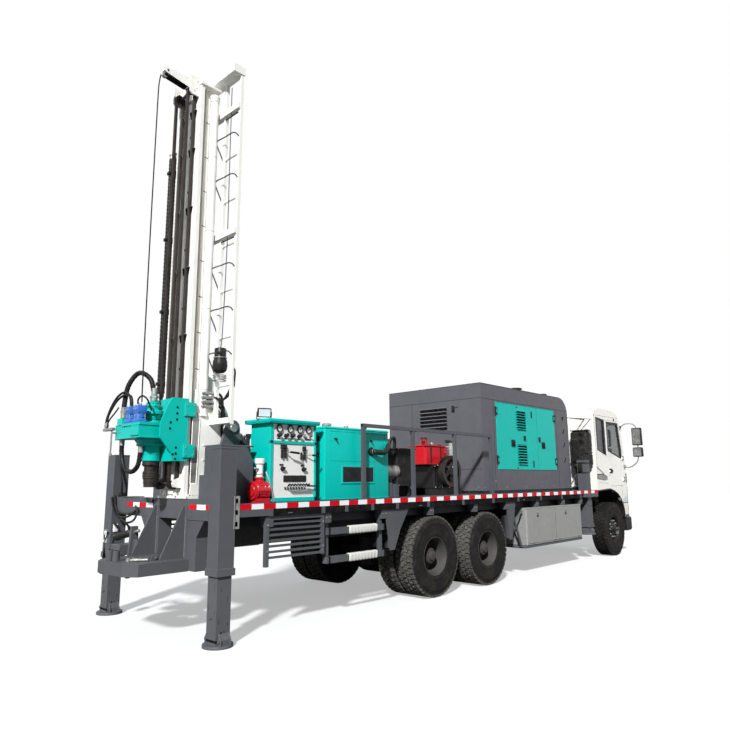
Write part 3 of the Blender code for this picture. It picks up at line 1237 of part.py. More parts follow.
def crown():
    """Top of the mast: cap plate, sprocket cheeks, rear boom for the rope and the ladder's arm."""
    low = MAST_TOP + GAP
    top = 6.500
    tip = -5.470
    pieces = [block((MAST_REAR - 0.01, MAST_FRONT), middle(MAST_Y, 0.54), (low, low + 0.03))]
    boom = [(MAST_FRONT - 0.02, low + 0.02), (MAST_FRONT - 0.02, top), (tip + 0.025, top),
            (tip, top - 0.020),
            (tip, top - 0.055), (tip + 0.025, top - 0.070), (MAST_REAR - 0.14, top - 0.110),
            (MAST_REAR - 0.008, low + 0.02)]
    pieces.append(plate([boom], "XZ", middle(MAST_Y, 0.090)))
    for side in (-1, 1):
        cheek = [(CHAIN_X - 0.055, CHAIN_HIGH - 0.030), (CHAIN_X - 0.030, CHAIN_HIGH - 0.060),
                 (MAST_REAR - GAP, CHAIN_HIGH - 0.060), (MAST_REAR - GAP, low + 0.002),
                 (MAST_REAR + 0.055, low + 0.002),
                 (MAST_REAR + 0.055, low + 0.09), (CHAIN_X - 0.055, low + 0.09)]
        pieces.append(plate([cheek], "XZ", middle(MAST_Y + side * SPROCKET_CHEEK, 0.020)))
    arm_y = (LADDER_OUTER - 0.03, MAST_Y + 0.02)
    pieces.append(block((MAST_FRONT - 0.08, MAST_FRONT - 0.01), middle(MAST_Y - 0.12, 0.08),
                        (low + 0.02, top)))
    pieces.append(block((MAST_FRONT - 0.08, LADDER_X + 0.03), arm_y, (LADDER_HEAD, LADDER_HEAD + 0.10)))
    return node("crown", pieces, "mast_white", origin=(MAST_REAR, MAST_Y, low))


def chain_outline(radius):
    """Side view of a chain's loop round its two sprockets."""
    return arc((CHAIN_X, CHAIN_HIGH), radius, 0, 180, 6) + arc((CHAIN_X, CHAIN_LOW), radius, 180, 360, 6)


def feed_chains():
    """Two endless chains on four sprockets, with the shafts that join them."""
    x = CHAIN_X
    pieces = []
    for side in (-1, 1):
        y = MAST_Y + side * CHAIN_OFFSET
        loop = plate([chain_outline(SPROCKET_RADIUS + 0.012), chain_outline(SPROCKET_RADIUS - 0.012)], "XZ",
                     middle(y, 0.038))
        pieces.append(loop)
        for z in (CHAIN_LOW, CHAIN_HIGH):
            pieces.append(rod((x, y - 0.012, z), (x, y + 0.012, z), SPROCKET_RADIUS - 0.008, 12))
    reach = SPROCKET_CHEEK - 0.010 - GAP
    for z in (CHAIN_LOW, CHAIN_HIGH):
        pieces.append(rod((x, MAST_Y - reach, z), (x, MAST_Y + reach, z), 0.018, 8))
    return node("feed_chains", pieces, "iron", origin=(x, MAST_Y, CHAIN_LOW))


def hose_bundle():
    """Two corrugated hoses beside the mast's left edge, in clamps that reach round the slide's path."""
    seat = MAST_Y + MAST_BOX_HALF + GAP
    lines = (MAST_Y + 0.335, MAST_Y + 0.400)
    bar_x = (MAST_REAR + 0.113, MAST_REAR + 0.137)
    pieces = []
    for y in lines:
        pieces.append(pipe([(HOSES_X, y, 2.60), (HOSES_X, y, 4.10), (HOSES_X, y, 5.60)], 0.029, 2))
    for z in (2.72, 3.60, 4.52, 5.40):
        pieces.append(block(bar_x, (seat, lines[1] + 0.030), middle(z, 0.06)))
        pieces.append(block((HOSES_X - 0.040, bar_x[1] - 0.002), (lines[0] - 0.033, lines[1] + 0.032),
                            middle(z, 0.04)))
    return node("hose_bundle", pieces, "black", origin=(HOSES_X, lines[0], 2.60))


# Rotary head

def head_carriage():
    """Slide behind the mast: back plate, cheeks and four guide shoes round the flanges."""
    back = MAST_REAR - CARRIAGE_BACK
    low = CARRIAGE_LOW
    high = CARRIAGE_HIGH
    pieces = [block((back - 0.022, back), middle(MAST_Y, 0.56), (low, high))]
    for side in (-1, 1):
        cheek = [(MAST_REAR - 0.012, low), (MAST_REAR - 0.012, high), (back - 0.050, high),
                 (back - 0.110, high - 0.10),
                 (back - 0.180, GEARBOX_Z + GEARBOX_HEIGHT), (back - 0.180, GEARBOX_Z),
                 (back - 0.040, low + 0.08),
                 (back - 0.022, low)]
        pieces.append(plate([cheek], "XZ", middle(MAST_Y + side * 0.274, 0.024)))
        for z in ((low + 0.03, low + 0.18), (high - 0.20, high - 0.04)):
            pieces.append(block((MAST_REAR - 0.060, MAST_REAR + 0.086),
                                sorted((MAST_Y + side * (MAST_HALF + SHOE_RUN), MAST_Y + side * 0.290)), z))
            pieces.append(block((MAST_REAR + FLANGE + SHOE_RUN, MAST_REAR + 0.088),
                                sorted((MAST_Y + side * 0.165, MAST_Y + side * 0.288)), z))
            pieces.append(block((MAST_REAR - 0.058, MAST_REAR - SHOE_RUN),
                                sorted((MAST_Y + side * 0.205, MAST_Y + side * 0.288)), z))
    return node("head_carriage", pieces, "teal", origin=(back, MAST_Y, low))


def head_gearbox():
    """Gear case with its pointed lug, round lower case, swivel and inlet neck."""
    back = MAST_REAR - CARRIAGE_BACK - 0.022 - GAP
    low = GEARBOX_Z
    high = GEARBOX_Z + GEARBOX_HEIGHT
    half = GEARBOX_HALF
    rear = -5.600
    case = [(back, MAST_Y - half), (back, MAST_Y + half), (-5.40, MAST_Y + half),
            (-5.50, MAST_Y + half + 0.20),
            (-5.56, MAST_Y + half + 0.24), (rear, MAST_Y + half + 0.02), (rear, MAST_Y - half)]
    pieces = [plate([case], "XY", (low, high))]
    pieces.append(block((rear - 0.012, back), middle(MAST_Y, 2 * half + 0.02),
                        (high - 0.020, high + 0.008)))
    swivel = [(0.0, 2.520), (0.034, 2.520), (0.034, 2.440), (0.062, 2.430), (0.062, 2.360), (0.100, 2.350),
              (0.100, 2.300), (0.082, 2.290), (0.082, high + 0.03), (0.110, high + 0.02),
              (0.110, high - 0.02),
              (0.0, high - 0.02)]
    lower = [(0.0, low + 0.01), (0.150, low + 0.01), (0.150, 1.965), (0.090, 1.965), (0.090, 1.800),
             (0.0, 1.800)]
    place = Matrix.Translation((SPINDLE_X, MAST_Y, 0))
    pieces.append(turned(swivel, place, 20))
    pieces.append(turned(lower, place, 20))
    pieces.append(block((-5.58, -5.50), (MAST_Y + 0.25, MAST_Y + 0.37), (high - 0.01, high + 0.075)))
    seat = block((back, back + 0.2), middle(MAST_Y, 0.6), (low - 0.4, high + 0.5))
    return node("head_gearbox", [cut(weld(pieces), [seat])], "teal", origin=(SPINDLE_X, MAST_Y, low))


def drive_motors():
    """Two hydraulic motors side by side on the gear case, joined by their oil block."""
    base = GEARBOX_Z + GEARBOX_HEIGHT + 0.008 + GAP
    pieces = []
    for y in (MAST_Y - 0.085, MAST_Y + 0.105):
        pieces.append(block((-5.600, -5.500), middle(y, 0.125), (base, base + 0.035), 0.008))
        pieces.append(rod((-5.550, y, base + 0.03), (-5.550, y, base + 0.175), 0.050, 16))
        pieces.append(block((-5.592, -5.508), middle(y, 0.095), (base + 0.11, base + 0.185), 0.012))
    pieces.append(block((-5.575, -5.525), (MAST_Y - 0.05, MAST_Y + 0.07), (base + 0.005, base + 0.045)))
    return node("drive_motors", pieces, "blue", origin=(-5.550, MAST_Y, base))


HOSE_ROUTES = (
    # name, radius, points in the order that the hose runs; both ends are straight
    ("inlet_hose", 0.027,
     ((SPINDLE_X, MAST_Y, 2.520 + GAP), (SPINDLE_X, MAST_Y, 2.545),
      (SPINDLE_X - 0.030, MAST_Y + 0.05, 2.710),
      (SPINDLE_X - 0.100, MAST_Y + 0.18, 2.780), (SPINDLE_X - 0.165, MAST_Y + 0.28, 2.640),
      (-5.540, MAST_Y + 0.31, 2.420), (-5.540, MAST_Y + 0.31, 2.295),
      (-5.540, MAST_Y + 0.31, 2.270 + GAP))),
    ("return_hose", 0.025,
     ((-5.530, MAST_Y + 0.33, GEARBOX_Z - GAP), (-5.530, MAST_Y + 0.33, 2.020),
      (-5.525, MAST_Y + 0.33, 1.880),
      (-5.515, MAST_Y + 0.27, 1.740), (-5.498, MAST_Y + 0.14, 1.690), (-5.482, MAST_Y + 0.03, 1.760),
      (-5.475, MAST_Y, 1.940), (-5.475, MAST_Y, 1.965 - GAP))),
)


def head_hoses():
    """The two hoses that arch over and loop under the gear case."""
    made = []
    for name, radius, points in HOSE_ROUTES:
        route = [points[0]] + smooth_route(points[1:-1], 32) + [points[-1]]
        made.append(node(name, [pipe(route, radius, 2)], "rubber", origin=points[0]))
    return made


def spindle():
    """Drive spindle under the gear case, down to the nose that takes the drill pipe."""
    profile = [(0.0, 1.800 - GAP), (0.086, 1.800 - GAP), (0.086, 1.760), (0.064, 1.745), (0.064, 1.700),
               (0.076, 1.690), (0.076, 1.620), (0.068, 1.610), (0.060, NOSE_BOTTOM), (0.0, NOSE_BOTTOM)]
    place = Matrix.Translation((SPINDLE_X, MAST_Y, 0))
    return node("spindle", [turned(profile, place, 20)], "iron", origin=(SPINDLE_X, MAST_Y, NOSE_BOTTOM))


# Cylinders that raise the mast

def raise_line(along, side):
    """A point on a raise cylinder's axis, measured from its base pin towards its eye."""
    base = Vector((RAISE_BASE_X, MAST_Y + side * RAISE_OFFSET, RAISE_BASE_Z))
    eye = Vector((EYE_X, MAST_Y + side * RAISE_OFFSET, EYE_Z))
    return base + (eye - base).normalized() * along


def raise_barrels():
    """Both barrels, bored for their rods, on one base pin."""
    reach = RAISE_LUG + RAISE_LUG_THICK
    bodies = []
    for side in (-1, 1):
        tube = weld([rod(raise_line(0.030, side), raise_line(BARREL_LENGTH, side), BARREL_RADIUS, 16),
                     rod(raise_line(BARREL_LENGTH - 0.05, side), raise_line(BARREL_LENGTH + 0.01, side),
                         BARREL_RADIUS + 0.006, 16)])
        bore = rod(raise_line(0.070, side), raise_line(BARREL_LENGTH + 0.05, side), BARREL_BORE, 16)
        bodies.append(cut(tube, [bore]))
        y = MAST_Y + side * RAISE_OFFSET
        bodies.append(rod((RAISE_BASE_X, y - 0.035, RAISE_BASE_Z),
                          (RAISE_BASE_X, y + 0.035, RAISE_BASE_Z), 0.045, 12))
    bodies.append(rod((RAISE_BASE_X, MAST_Y - reach, RAISE_BASE_Z),
                      (RAISE_BASE_X, MAST_Y + reach, RAISE_BASE_Z),
                      RAISE_PIN, 16))
    return node("raise_barrels", bodies, "frame_grey", origin=(RAISE_BASE_X, MAST_Y, RAISE_BASE_Z))


def raise_rods():
    """Both chromed rods with their eyes on one cross pin."""
    eye = math.hypot(EYE_X - RAISE_BASE_X, EYE_Z - RAISE_BASE_Z)
    pieces = []
    for side in (-1, 1):
        pieces.append(rod(raise_line(ROD_INNER, side), raise_line(eye, side), ROD_RADIUS, 12))
        y = MAST_Y + side * RAISE_OFFSET
        pieces.append(rod((EYE_X, y - 0.030, EYE_Z), (EYE_X, y + 0.030, EYE_Z), 0.042, 16))
    pieces.append(rod((EYE_X, MAST_Y - ROD_PIN_HALF, EYE_Z), (EYE_X, MAST_Y + ROD_PIN_HALF, EYE_Z),
                      RAISE_PIN, 16))
    return node("raise_rods", pieces, "steel", origin=(EYE_X, MAST_Y, EYE_Z))


def main():
    """Build every node of the rig."""
    clear_scene()
    chassis_frame()
    front_axle()
    rear_bogie()
    truck_engine()
    for side, name in ((-1, "right"), (1, "left")):
        steering_knuckle("knuckle_" + name, side)
        front_wheel("wheel_front_" + name, side)
        dual_wheel("wheel_middle_" + name, AXLE_2, side)
        dual_wheel("wheel_rear_" + name, AXLE_3, side)
        guard_rail("guard_rail_" + name, side)
        jack_leg("rear_jack_" + name, LEG_X, side * LEG_Y, LEG_SIZE, 0.0, INNER_LENGTH)
        jack_leg("front_jack_" + name, FRONT_JACK_X, side * FRONT_JACK_Y, FRONT_JACK_SIZE, FRONT_FOOT_Z,
                 INNER_LENGTH)
        cab_door("cab_door_" + name, side)
        mirror("mirror_" + name, side)
    deck()
    underframe()
    toolbox()
    fuel_tank()
    rear_frame()
    rear_platform()
    front_jack_frame()
    control_console()
    hydraulic_tank()
    aux_engine()
    engine_flywheel()
    filter_unit()
    mud_pump()
    canopy()
    canopy_doors()
    canopy_machine()
    air_cleaner()
    cab_shell()
    cab_interior()
    windscreen()
    front_bumper()
    mast()
    ladder()
    crown()
    feed_chains()
    hose_bundle()
    head_carriage()
    head_gearbox()
    drive_motors()
    head_hoses()
    spindle()
    raise_barrels()
    raise_rods()


main()
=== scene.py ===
"""Looks of the reverse circulation drilling rig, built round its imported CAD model."""
import math

import bmesh
import bpy
from mathutils import Matrix, Vector


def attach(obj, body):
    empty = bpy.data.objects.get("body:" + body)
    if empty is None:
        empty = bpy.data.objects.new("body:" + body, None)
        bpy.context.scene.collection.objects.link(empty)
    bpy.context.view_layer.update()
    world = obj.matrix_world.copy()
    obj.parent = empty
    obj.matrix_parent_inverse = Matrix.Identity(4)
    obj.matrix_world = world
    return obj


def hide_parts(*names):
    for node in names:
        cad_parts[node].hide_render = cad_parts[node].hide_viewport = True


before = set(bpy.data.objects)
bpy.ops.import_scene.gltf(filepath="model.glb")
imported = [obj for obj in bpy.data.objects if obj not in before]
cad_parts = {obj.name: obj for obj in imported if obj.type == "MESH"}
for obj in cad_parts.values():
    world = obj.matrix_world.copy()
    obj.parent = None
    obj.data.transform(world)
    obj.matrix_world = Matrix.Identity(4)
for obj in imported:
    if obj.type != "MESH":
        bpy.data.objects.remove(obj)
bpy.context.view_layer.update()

RIGHT, LEFT = -1, 1
AXLES = (4.682, -0.2215, -1.5565)
TYRE_RADIUS = 0.5425
FRONT_TRACK = 1.085
REAR_TRACK = 1.095
DUAL_PITCH = 0.325
DECK_TOP = 1.35
DECK_REAR = -4.865
DECK_FRONT = 3.91
SIDE = 1.25
MAST_Y = -0.28
MAST_REAR = -5.085
SPINDLE_X = -5.355
CAB_HALF = 1.2
CAB_DOOR_FACE = 1.1997
HOOD_HALF = 1.0
HOOD_DOOR_FACE = -1.004
REAR_JACK = (-5.02, 1.165)
FRONT_JACK = (3.625, 1.105)
NUT_CIRCLE = 0.1675
TAPE_PITCH = 0.3195
ON_DECK = DECK_TOP + 0.0003
PROUD = 0.0005          # how far a thin plate's back stands off what carries it
SEAM = 0.0012           # depth of a drawn joint line
QUARTER = math.pi / 2
UP, DOWN = (0, 0, 1), (0, 0, -1)
REARWARD, RIGHTWARD, LEFTWARD = (-1, 0, 0), (0, -1, 0), (0, 1, 0)


# Shapes, made with mesh operators and gathered into one piece

def blanks(count):
    """Empty bmeshes to gather shapes in."""
    return [bmesh.new() for _ in range(count)]


def gather(target, part):
    """Move one bmesh's geometry into another."""
    mesh = bpy.data.meshes.new("part")
    part.to_mesh(mesh)
    part.free()
    target.from_mesh(mesh)
    bpy.data.meshes.remove(mesh)


def soften(part, size, rows):
    """Round every sharp edge of a part."""
    edges = [e for e in part.edges if e.is_manifold and e.calc_face_angle(0.0) > 0.6]
    bmesh.ops.bevel(part, geom=edges, offset=size, offset_type="OFFSET", segments=rows, profile=0.5,
                    affect="EDGES", material=-1, clamp_overlap=True)


def box(bm, x, y, z, soft=0.002, rows=1, turn=None):
    """A box with rounded edges from its low and high coordinates, turned about its middle."""
    part = bmesh.new()
    bmesh.ops.create_cube(part, size=1.0)
    low = Vector((min(x), min(y), min(z)))
    high = Vector((max(x), max(y), max(z)))
    bmesh.ops.scale(part, vec=high - low, verts=part.verts)
    if soft:
        soften(part, min(soft, 0.45 * min(high - low)), rows)
    place = Matrix.Translation((low + high) / 2)
    if turn:
        place = place @ Matrix.Rotation(turn[0], 4, turn[1])
    part.transform(place)
    gather(bm, part)


def mid(centre, width):
    """Low and high coordinates of a width about its middle."""
    return (centre - width / 2, centre + width / 2)


def block(bm, centre, size, soft=0.002, rows=1, turn=None):
    """A box given by its middle and its size."""
    box(bm, *(mid(c, s) for c, s in zip(centre, size)), soft, rows, turn)


def collar(bm, x, y, width, z):
    """A square plate round a leg."""
    box(bm, mid(x, width), mid(y, width), z, 0.003)


def layer(face, side, depth):
    """The two coordinates of a layer that stands out from a face."""
    return (face, face + side * depth)


def turned(at, axis, angle=QUARTER):
    """The matrix that turns a shape about an axis and moves it to a place."""
    return Matrix.Translation(at) @ Matrix.Rotation(angle, 4, axis)


def aim(start, end):
    """The matrix that lays local Z along start to end, with its middle at the origin."""
    start = Vector(start)
    end = Vector(end)
    turn = (end - start).to_track_quat("Z", "Y").to_matrix().to_4x4()
    return Matrix.Translation((start + end) / 2) @ turn


def bar(bm, start, end, radius, sides=12, soft=0.0):
    """A round bar between two points."""
    part = bmesh.new()
    length = (Vector(end) - Vector(start)).length
    bmesh.ops.create_cone(part, cap_ends=True, segments=sides, radius1=radius, radius2=radius, depth=length)
    if soft:
        rims = [e for e in part.edges if e.is_manifold and e.calc_face_angle(0.0) > 1.2]
        bmesh.ops.bevel(part, geom=rims, offset=soft, offset_type="OFFSET", segments=1, profile=0.5,
                        affect="EDGES", material=-1, clamp_overlap=True)
    part.transform(aim(start, end))
    gather(bm, part)


def rod(bm, x, y, z, radius, sides=12, soft=0.0):
    """A bar along one axis: the one of x, y and z that is a pair holds its two ends."""
    ends = [[value[k] if isinstance(value, tuple) else value for value in (x, y, z)] for k in (0, 1)]
    bar(bm, *ends, radius, sides, soft)


def strip(bm, points, across):
    """A flat band laid along points, one block to a step."""
    for a, b in zip(points, points[1:]):
        part = bmesh.new()
        bmesh.ops.create_cube(part, size=1.0)
        length = (Vector(b) - Vector(a)).length + 0.004
        part.transform(aim(a, b) @ Matrix.Diagonal((*across, length, 1)))
        gather(bm, part)


def lathe(bm, profile, place, steps=24):
    """A turned solid from (radius, height) pairs about local Z."""
    part = bmesh.new()
    verts = [part.verts.new((r, 0.0, h)) for r, h in profile]
    edges = [part.edges.new(pair) for pair in zip(verts, verts[1:])]
    bmesh.ops.spin(part, geom=verts + edges, cent=(0, 0, 0), axis=(0, 0, 1), angle=2 * math.pi, steps=steps,
                   use_merge=True, use_duplicate=False)
    bmesh.ops.remove_doubles(part, verts=part.verts, dist=0.00002)
    if not all(e.is_manifold for e in part.edges):
        bmesh.ops.holes_fill(part, edges=[e for e in part.edges if e.is_boundary], sides=0)
    bmesh.ops.recalc_face_normals(part, faces=part.faces)
    part.transform(place)
    gather(bm, part)


def slab(bm, outline, plane, across, soft=0.0, rows=1):
    """A flat outline given thickness across its plane."""
    part = bmesh.new()
    low, high = sorted(across)
    place = {"XY": lambda a, b: (a, b, low), "XZ": lambda a, b: (a, low, b), "YZ": lambda a,
             b: (low, a, b)}[plane]
    along = {"XY": (0, 0, high - low), "XZ": (0, high - low, 0), "YZ": (high - low, 0, 0)}[plane]
    face = part.faces.new([part.verts.new(place(a, b)) for a, b in outline])
    grown = bmesh.ops.extrude_face_region(part, geom=[face])
    moved = [g for g in grown["geom"] if isinstance(g, bmesh.types.BMVert)]
    bmesh.ops.translate(part, vec=along, verts=moved)
    bmesh.ops.recalc_face_normals(part, faces=part.faces)
    if soft:
        soften(part, soft, rows)
    gather(bm, part)


def hose(bm, points, radius, sides=10, swell=None):
    """A round tube swept along points; swell scales each ring in turn, as on a corrugated hose."""
    part = bmesh.new()
    points = [Vector(p) for p in points]
    ring = bmesh.ops.create_circle(part, cap_ends=False, segments=sides, radius=radius)["verts"]
    edges = list(part.edges)
    heading = (points[1] - points[0]).normalized()
    turn = heading.to_track_quat("Z", "Y")
    place = Matrix.Translation(points[0]) @ turn.to_matrix().to_4x4()
    bmesh.ops.transform(part, matrix=place, verts=ring)
    for i in range(1, len(points)):
        ahead = points[min(i + 1, len(points) - 1)] - points[i - 1]
        ahead = ahead.normalized()
        turn = heading.rotation_difference(ahead) @ turn
        heading = ahead
        grow = swell[i % len(swell)] if swell and 0 < i < len(points) - 1 else 1.0
        new_place = Matrix.Translation(points[i]) @ turn.to_matrix().to_4x4() @ Matrix.Scale(grow, 4)
        more = bmesh.ops.extrude_edge_only(part, edges=edges)
        verts = [g for g in more["geom"] if isinstance(g, bmesh.types.BMVert)]
        edges = [g for g in more["geom"] if isinstance(g, bmesh.types.BMEdge)]
        bmesh.ops.transform(part, matrix=new_place @ place.inverted(), verts=verts)
        place = new_place
    bmesh.ops.holes_fill(part, edges=[e for e in part.edges if e.is_boundary], sides=0)
    bmesh.ops.recalc_face_normals(part, faces=part.faces)
    gather(bm, part)


def route(points, count):
    """Evenly numbered points on a smooth curve through a few given ones."""
    given = [Vector(p) for p in points]
    given = [2 * given[0] - given[1]] + given + [2 * given[-1] - given[-2]]
    spans = len(points) - 1
    made = []
    for i in range(count):
        along = spans * i / (count - 1)
        k = min(int(along), spans - 1)
        t = along - k
        a, b, c, d = given[k:k + 4]
        made.append(0.5 * ((2 * b) + (c - a) * t + (2 * a - 5 * b + 4 * c - d) * t * t
                           + (3 * b - a - 3 * c + d) * t ** 3))
    return made


def curve(bm, points, count, radius, sides=10, swell=None):
    """A tube along a smooth curve through a few points."""
    hose(bm, route(points, count), radius, sides, swell)


def bolts(bm, places, axis, size=0.012, height=0.01):
    """Hexagon heads at places, standing out along an axis."""
    axis = Vector(axis)
    for place in places:
        start = Vector(place)
        bar(bm, start - axis * 0.002, start + axis * height, size, 6)


def circle_of(centre, radius, count, plane="XZ", start=0.0):
    """Places round a circle."""
    made = []
    for i in range(count):
        t = start + 2 * math.pi * i / count
        a = radius * math.cos(t)
        b = radius * math.sin(t)
        shift = {"XZ": (a, 0, b), "XY": (a, b, 0), "YZ": (0, a, b)}[plane]
        made.append(Vector(centre) + Vector(shift))
    return made


def piece(name, bm, finish, body="truck", angle=35, replaces=()):
    """Make a bmesh a finished piece that rides on a body."""
    mesh = bpy.data.meshes.new(name)
    bm.to_mesh(mesh)
    bm.free()
    mesh.shade_smooth()
    mesh.set_sharp_from_angle(angle=math.radians(angle))
    mesh.materials.append(finish)
    obj = bpy.data.objects.new(name, mesh)
    bpy.context.scene.collection.objects.link(obj)
    if replaces:
        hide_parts(*replaces)
    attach(obj, body)
    return obj


# Materials

def group(name, inputs, outputs):
    """An empty node group with its sockets."""
    tree = bpy.data.node_groups.new(name, "ShaderNodeTree")
    for label, kind, value in inputs:
        socket = tree.interface.new_socket(name=label, in_out="INPUT", socket_type=kind)
        socket.default_value = value
    for label, kind in outputs:
        tree.interface.new_socket(name=label, in_out="OUTPUT", socket_type=kind)
    return tree, tree.nodes.new("NodeGroupInput"), tree.nodes.new("NodeGroupOutput")


class Net:
    """Short ways to add nodes to a tree and link them."""

    def __init__(self, tree):
        self.tree = tree

    def link(self, a, b):
        self.tree.links.new(a, b)

    def put(self, socket, value):
        if isinstance(value, bpy.types.NodeSocket):
            self.link(value, socket)
        else:
            socket.default_value = value

    def place(self):
        return self.tree.nodes.new("ShaderNodeTexCoord").outputs["Object"]

    def mapped(self, scale):
        node = self.tree.nodes.new("ShaderNodeMapping")
        self.link(self.place(), node.inputs["Vector"])
        node.inputs["Scale"].default_value = scale
        return node.outputs[0]

    def noise(self, scale, detail=4.0, rough=0.55, vector=None, distort=0.0):
        node = self.tree.nodes.new("ShaderNodeTexNoise")
        self.link(vector or self.place(), node.inputs["Vector"])
        self.put(node.inputs["Scale"], scale)
        node.inputs["Detail"].default_value = detail
        node.inputs["Roughness"].default_value = rough
        node.inputs["Distortion"].default_value = distort
        return node.outputs["Fac"]

    def remap(self, value, low, high, to_low=0.0, to_high=1.0, smooth=True):
        node = self.tree.nodes.new("ShaderNodeMapRange")
        node.interpolation_type = "SMOOTHSTEP" if smooth else "LINEAR"
        self.put(node.inputs["Value"], value)
        for label, number in (("From Min", low), ("From Max", high), ("To Min", to_low), ("To Max", to_high)):
            self.put(node.inputs[label], number)
        return node.outputs["Result"]

    def sum(self, a, b, how="ADD"):
        node = self.tree.nodes.new("ShaderNodeMath")
        node.operation = how
        self.put(node.inputs[0], a)
        self.put(node.inputs[1], b)
        return node.outputs[0]

    def times(self, a, b):
        return self.sum(a, b, "MULTIPLY")

    def blend(self, factor, a, b, how="MIX"):
        node = self.tree.nodes.new("ShaderNodeMix")
        node.data_type = "RGBA"
        node.blend_type = how
        self.put(node.inputs[0], factor)
        self.put(node.inputs[6], a)
        self.put(node.inputs[7], b)
        return node.outputs[2]

    def split(self, vector):
        node = self.tree.nodes.new("ShaderNodeSeparateXYZ")
        self.link(vector, node.inputs[0])
        return node.outputs


COLOUR = "NodeSocketColor"
NUMBER = "NodeSocketFloat"


def paint_group():
    """Sprayed paint: cloudy fading, rain streaks, road dust low down, small chips and orange peel."""
    tree, entry, exit_ = group("sprayed_paint", [
        ("Colour", COLOUR, (0.5, 0.5, 0.5, 1)), ("Under", COLOUR, (0.2, 0.19, 0.18, 1)),
        ("Dust", COLOUR, (0.36, 0.33, 0.29, 1)), ("Fade", NUMBER, 0.15), ("Dusting", NUMBER, 0.3),
        ("Chips", NUMBER, 0.3), ("Streaks", NUMBER, 0.2), ("Sheen", NUMBER, 0.35)],
        [("Colour", COLOUR), ("Roughness", NUMBER), ("Height", NUMBER)])
    net = Net(tree)
    ins = entry.outputs
    broad = net.remap(net.noise(1.7, 5.0), 0.3, 0.7)
    mottled = net.remap(net.noise(9.0, 6.0, 0.6), 0.35, 0.68)
    pale = net.blend(0.55, ins["Colour"], (1, 1, 1, 1), "SOFT_LIGHT")
    deep = net.blend(0.5, ins["Colour"], (0.32, 0.32, 0.34, 1), "MULTIPLY")
    colour = net.blend(net.times(broad, ins["Fade"]), ins["Colour"], pale)
    colour = net.blend(net.times(net.times(mottled, ins["Fade"]), 0.6), colour, deep)
    rain = net.remap(net.noise(1.0, 5.0, 0.65, net.mapped((17, 17, 1.1))), 0.52, 0.78)
    colour = net.blend(net.times(rain, ins["Streaks"]), colour, deep)
    height = net.split(net.place())["Z"]
    low = net.remap(height, 1.45, 0.25)
    film = net.remap(net.noise(5.0, 7.0, 0.7), 0.38, 0.75)
    dusty = net.times(net.sum(net.times(low, 0.75), net.times(film, 0.35)), ins["Dusting"])
    colour = net.blend(dusty, colour, ins["Dust"])
    chip_edge = net.sum(0.735, net.times(ins["Chips"], -0.1))
    chip = net.remap(net.noise(38.0, 7.0, 0.62), chip_edge, net.sum(chip_edge, 0.02))
    colour = net.blend(chip, colour, ins["Under"])
    rough = net.sum(ins["Sheen"], net.times(net.sum(dusty, net.times(mottled, 0.15)), 0.5))
    rough = net.sum(rough, net.times(chip, 0.25))
    peel = net.noise(240.0, 2.0, 0.5)
    ripple = net.noise(6.0, 2.0, 0.5)
    bump = net.sum(net.times(peel, 0.1), net.sum(net.times(ripple, 0.45), net.times(chip, -0.6)))
    net.link(colour, exit_.inputs["Colour"])
    net.link(rough, exit_.inputs["Roughness"])
    net.link(bump, exit_.inputs["Height"])
    return tree


def grime_group():
    """Bare or dark surfaces: blotches of oil, dust in patches, fine grain."""
    tree, entry, exit_ = group("oily_grime", [
        ("Colour", COLOUR, (0.1, 0.1, 0.1, 1)), ("Stain", COLOUR, (0.05, 0.04, 0.03, 1)),
        ("Dust", COLOUR, (0.32, 0.30, 0.27, 1)), ("Staining", NUMBER, 0.4), ("Dusting", NUMBER, 0.3),
        ("Grain", NUMBER, 120.0), ("Sheen", NUMBER, 0.45)],
        [("Colour", COLOUR), ("Roughness", NUMBER), ("Height", NUMBER)])
    net = Net(tree)
    ins = entry.outputs
    stain = net.remap(net.noise(7.0, 6.0, 0.6, distort=0.4), 0.42, 0.68)
    dust = net.remap(net.noise(16.0, 6.0, 0.7), 0.46, 0.76)
    grain = net.noise(ins["Grain"], 4.0, 0.6)
    colour = net.blend(net.times(stain, ins["Staining"]), ins["Colour"], ins["Stain"])
    colour = net.blend(net.times(dust, ins["Dusting"]), colour, ins["Dust"])
    shade = net.remap(grain, 0.3, 0.7, 0.82, 1.12, smooth=False)
    tint = net.tree.nodes.new("ShaderNodeCombineColor")
    for channel in range(3):
        net.link(shade, tint.inputs[channel])
    colour = net.blend(1.0, colour, tint.outputs[0], "MULTIPLY")
    rough = net.sum(ins["Sheen"], net.times(dust, 0.25))
    rough = net.sum(rough, net.times(stain, -0.12))
    net.link(colour, exit_.inputs["Colour"])
    net.link(rough, exit_.inputs["Roughness"])
    net.link(grain, exit_.inputs["Height"])
    return tree


PAINT = paint_group()
GRIME = grime_group()


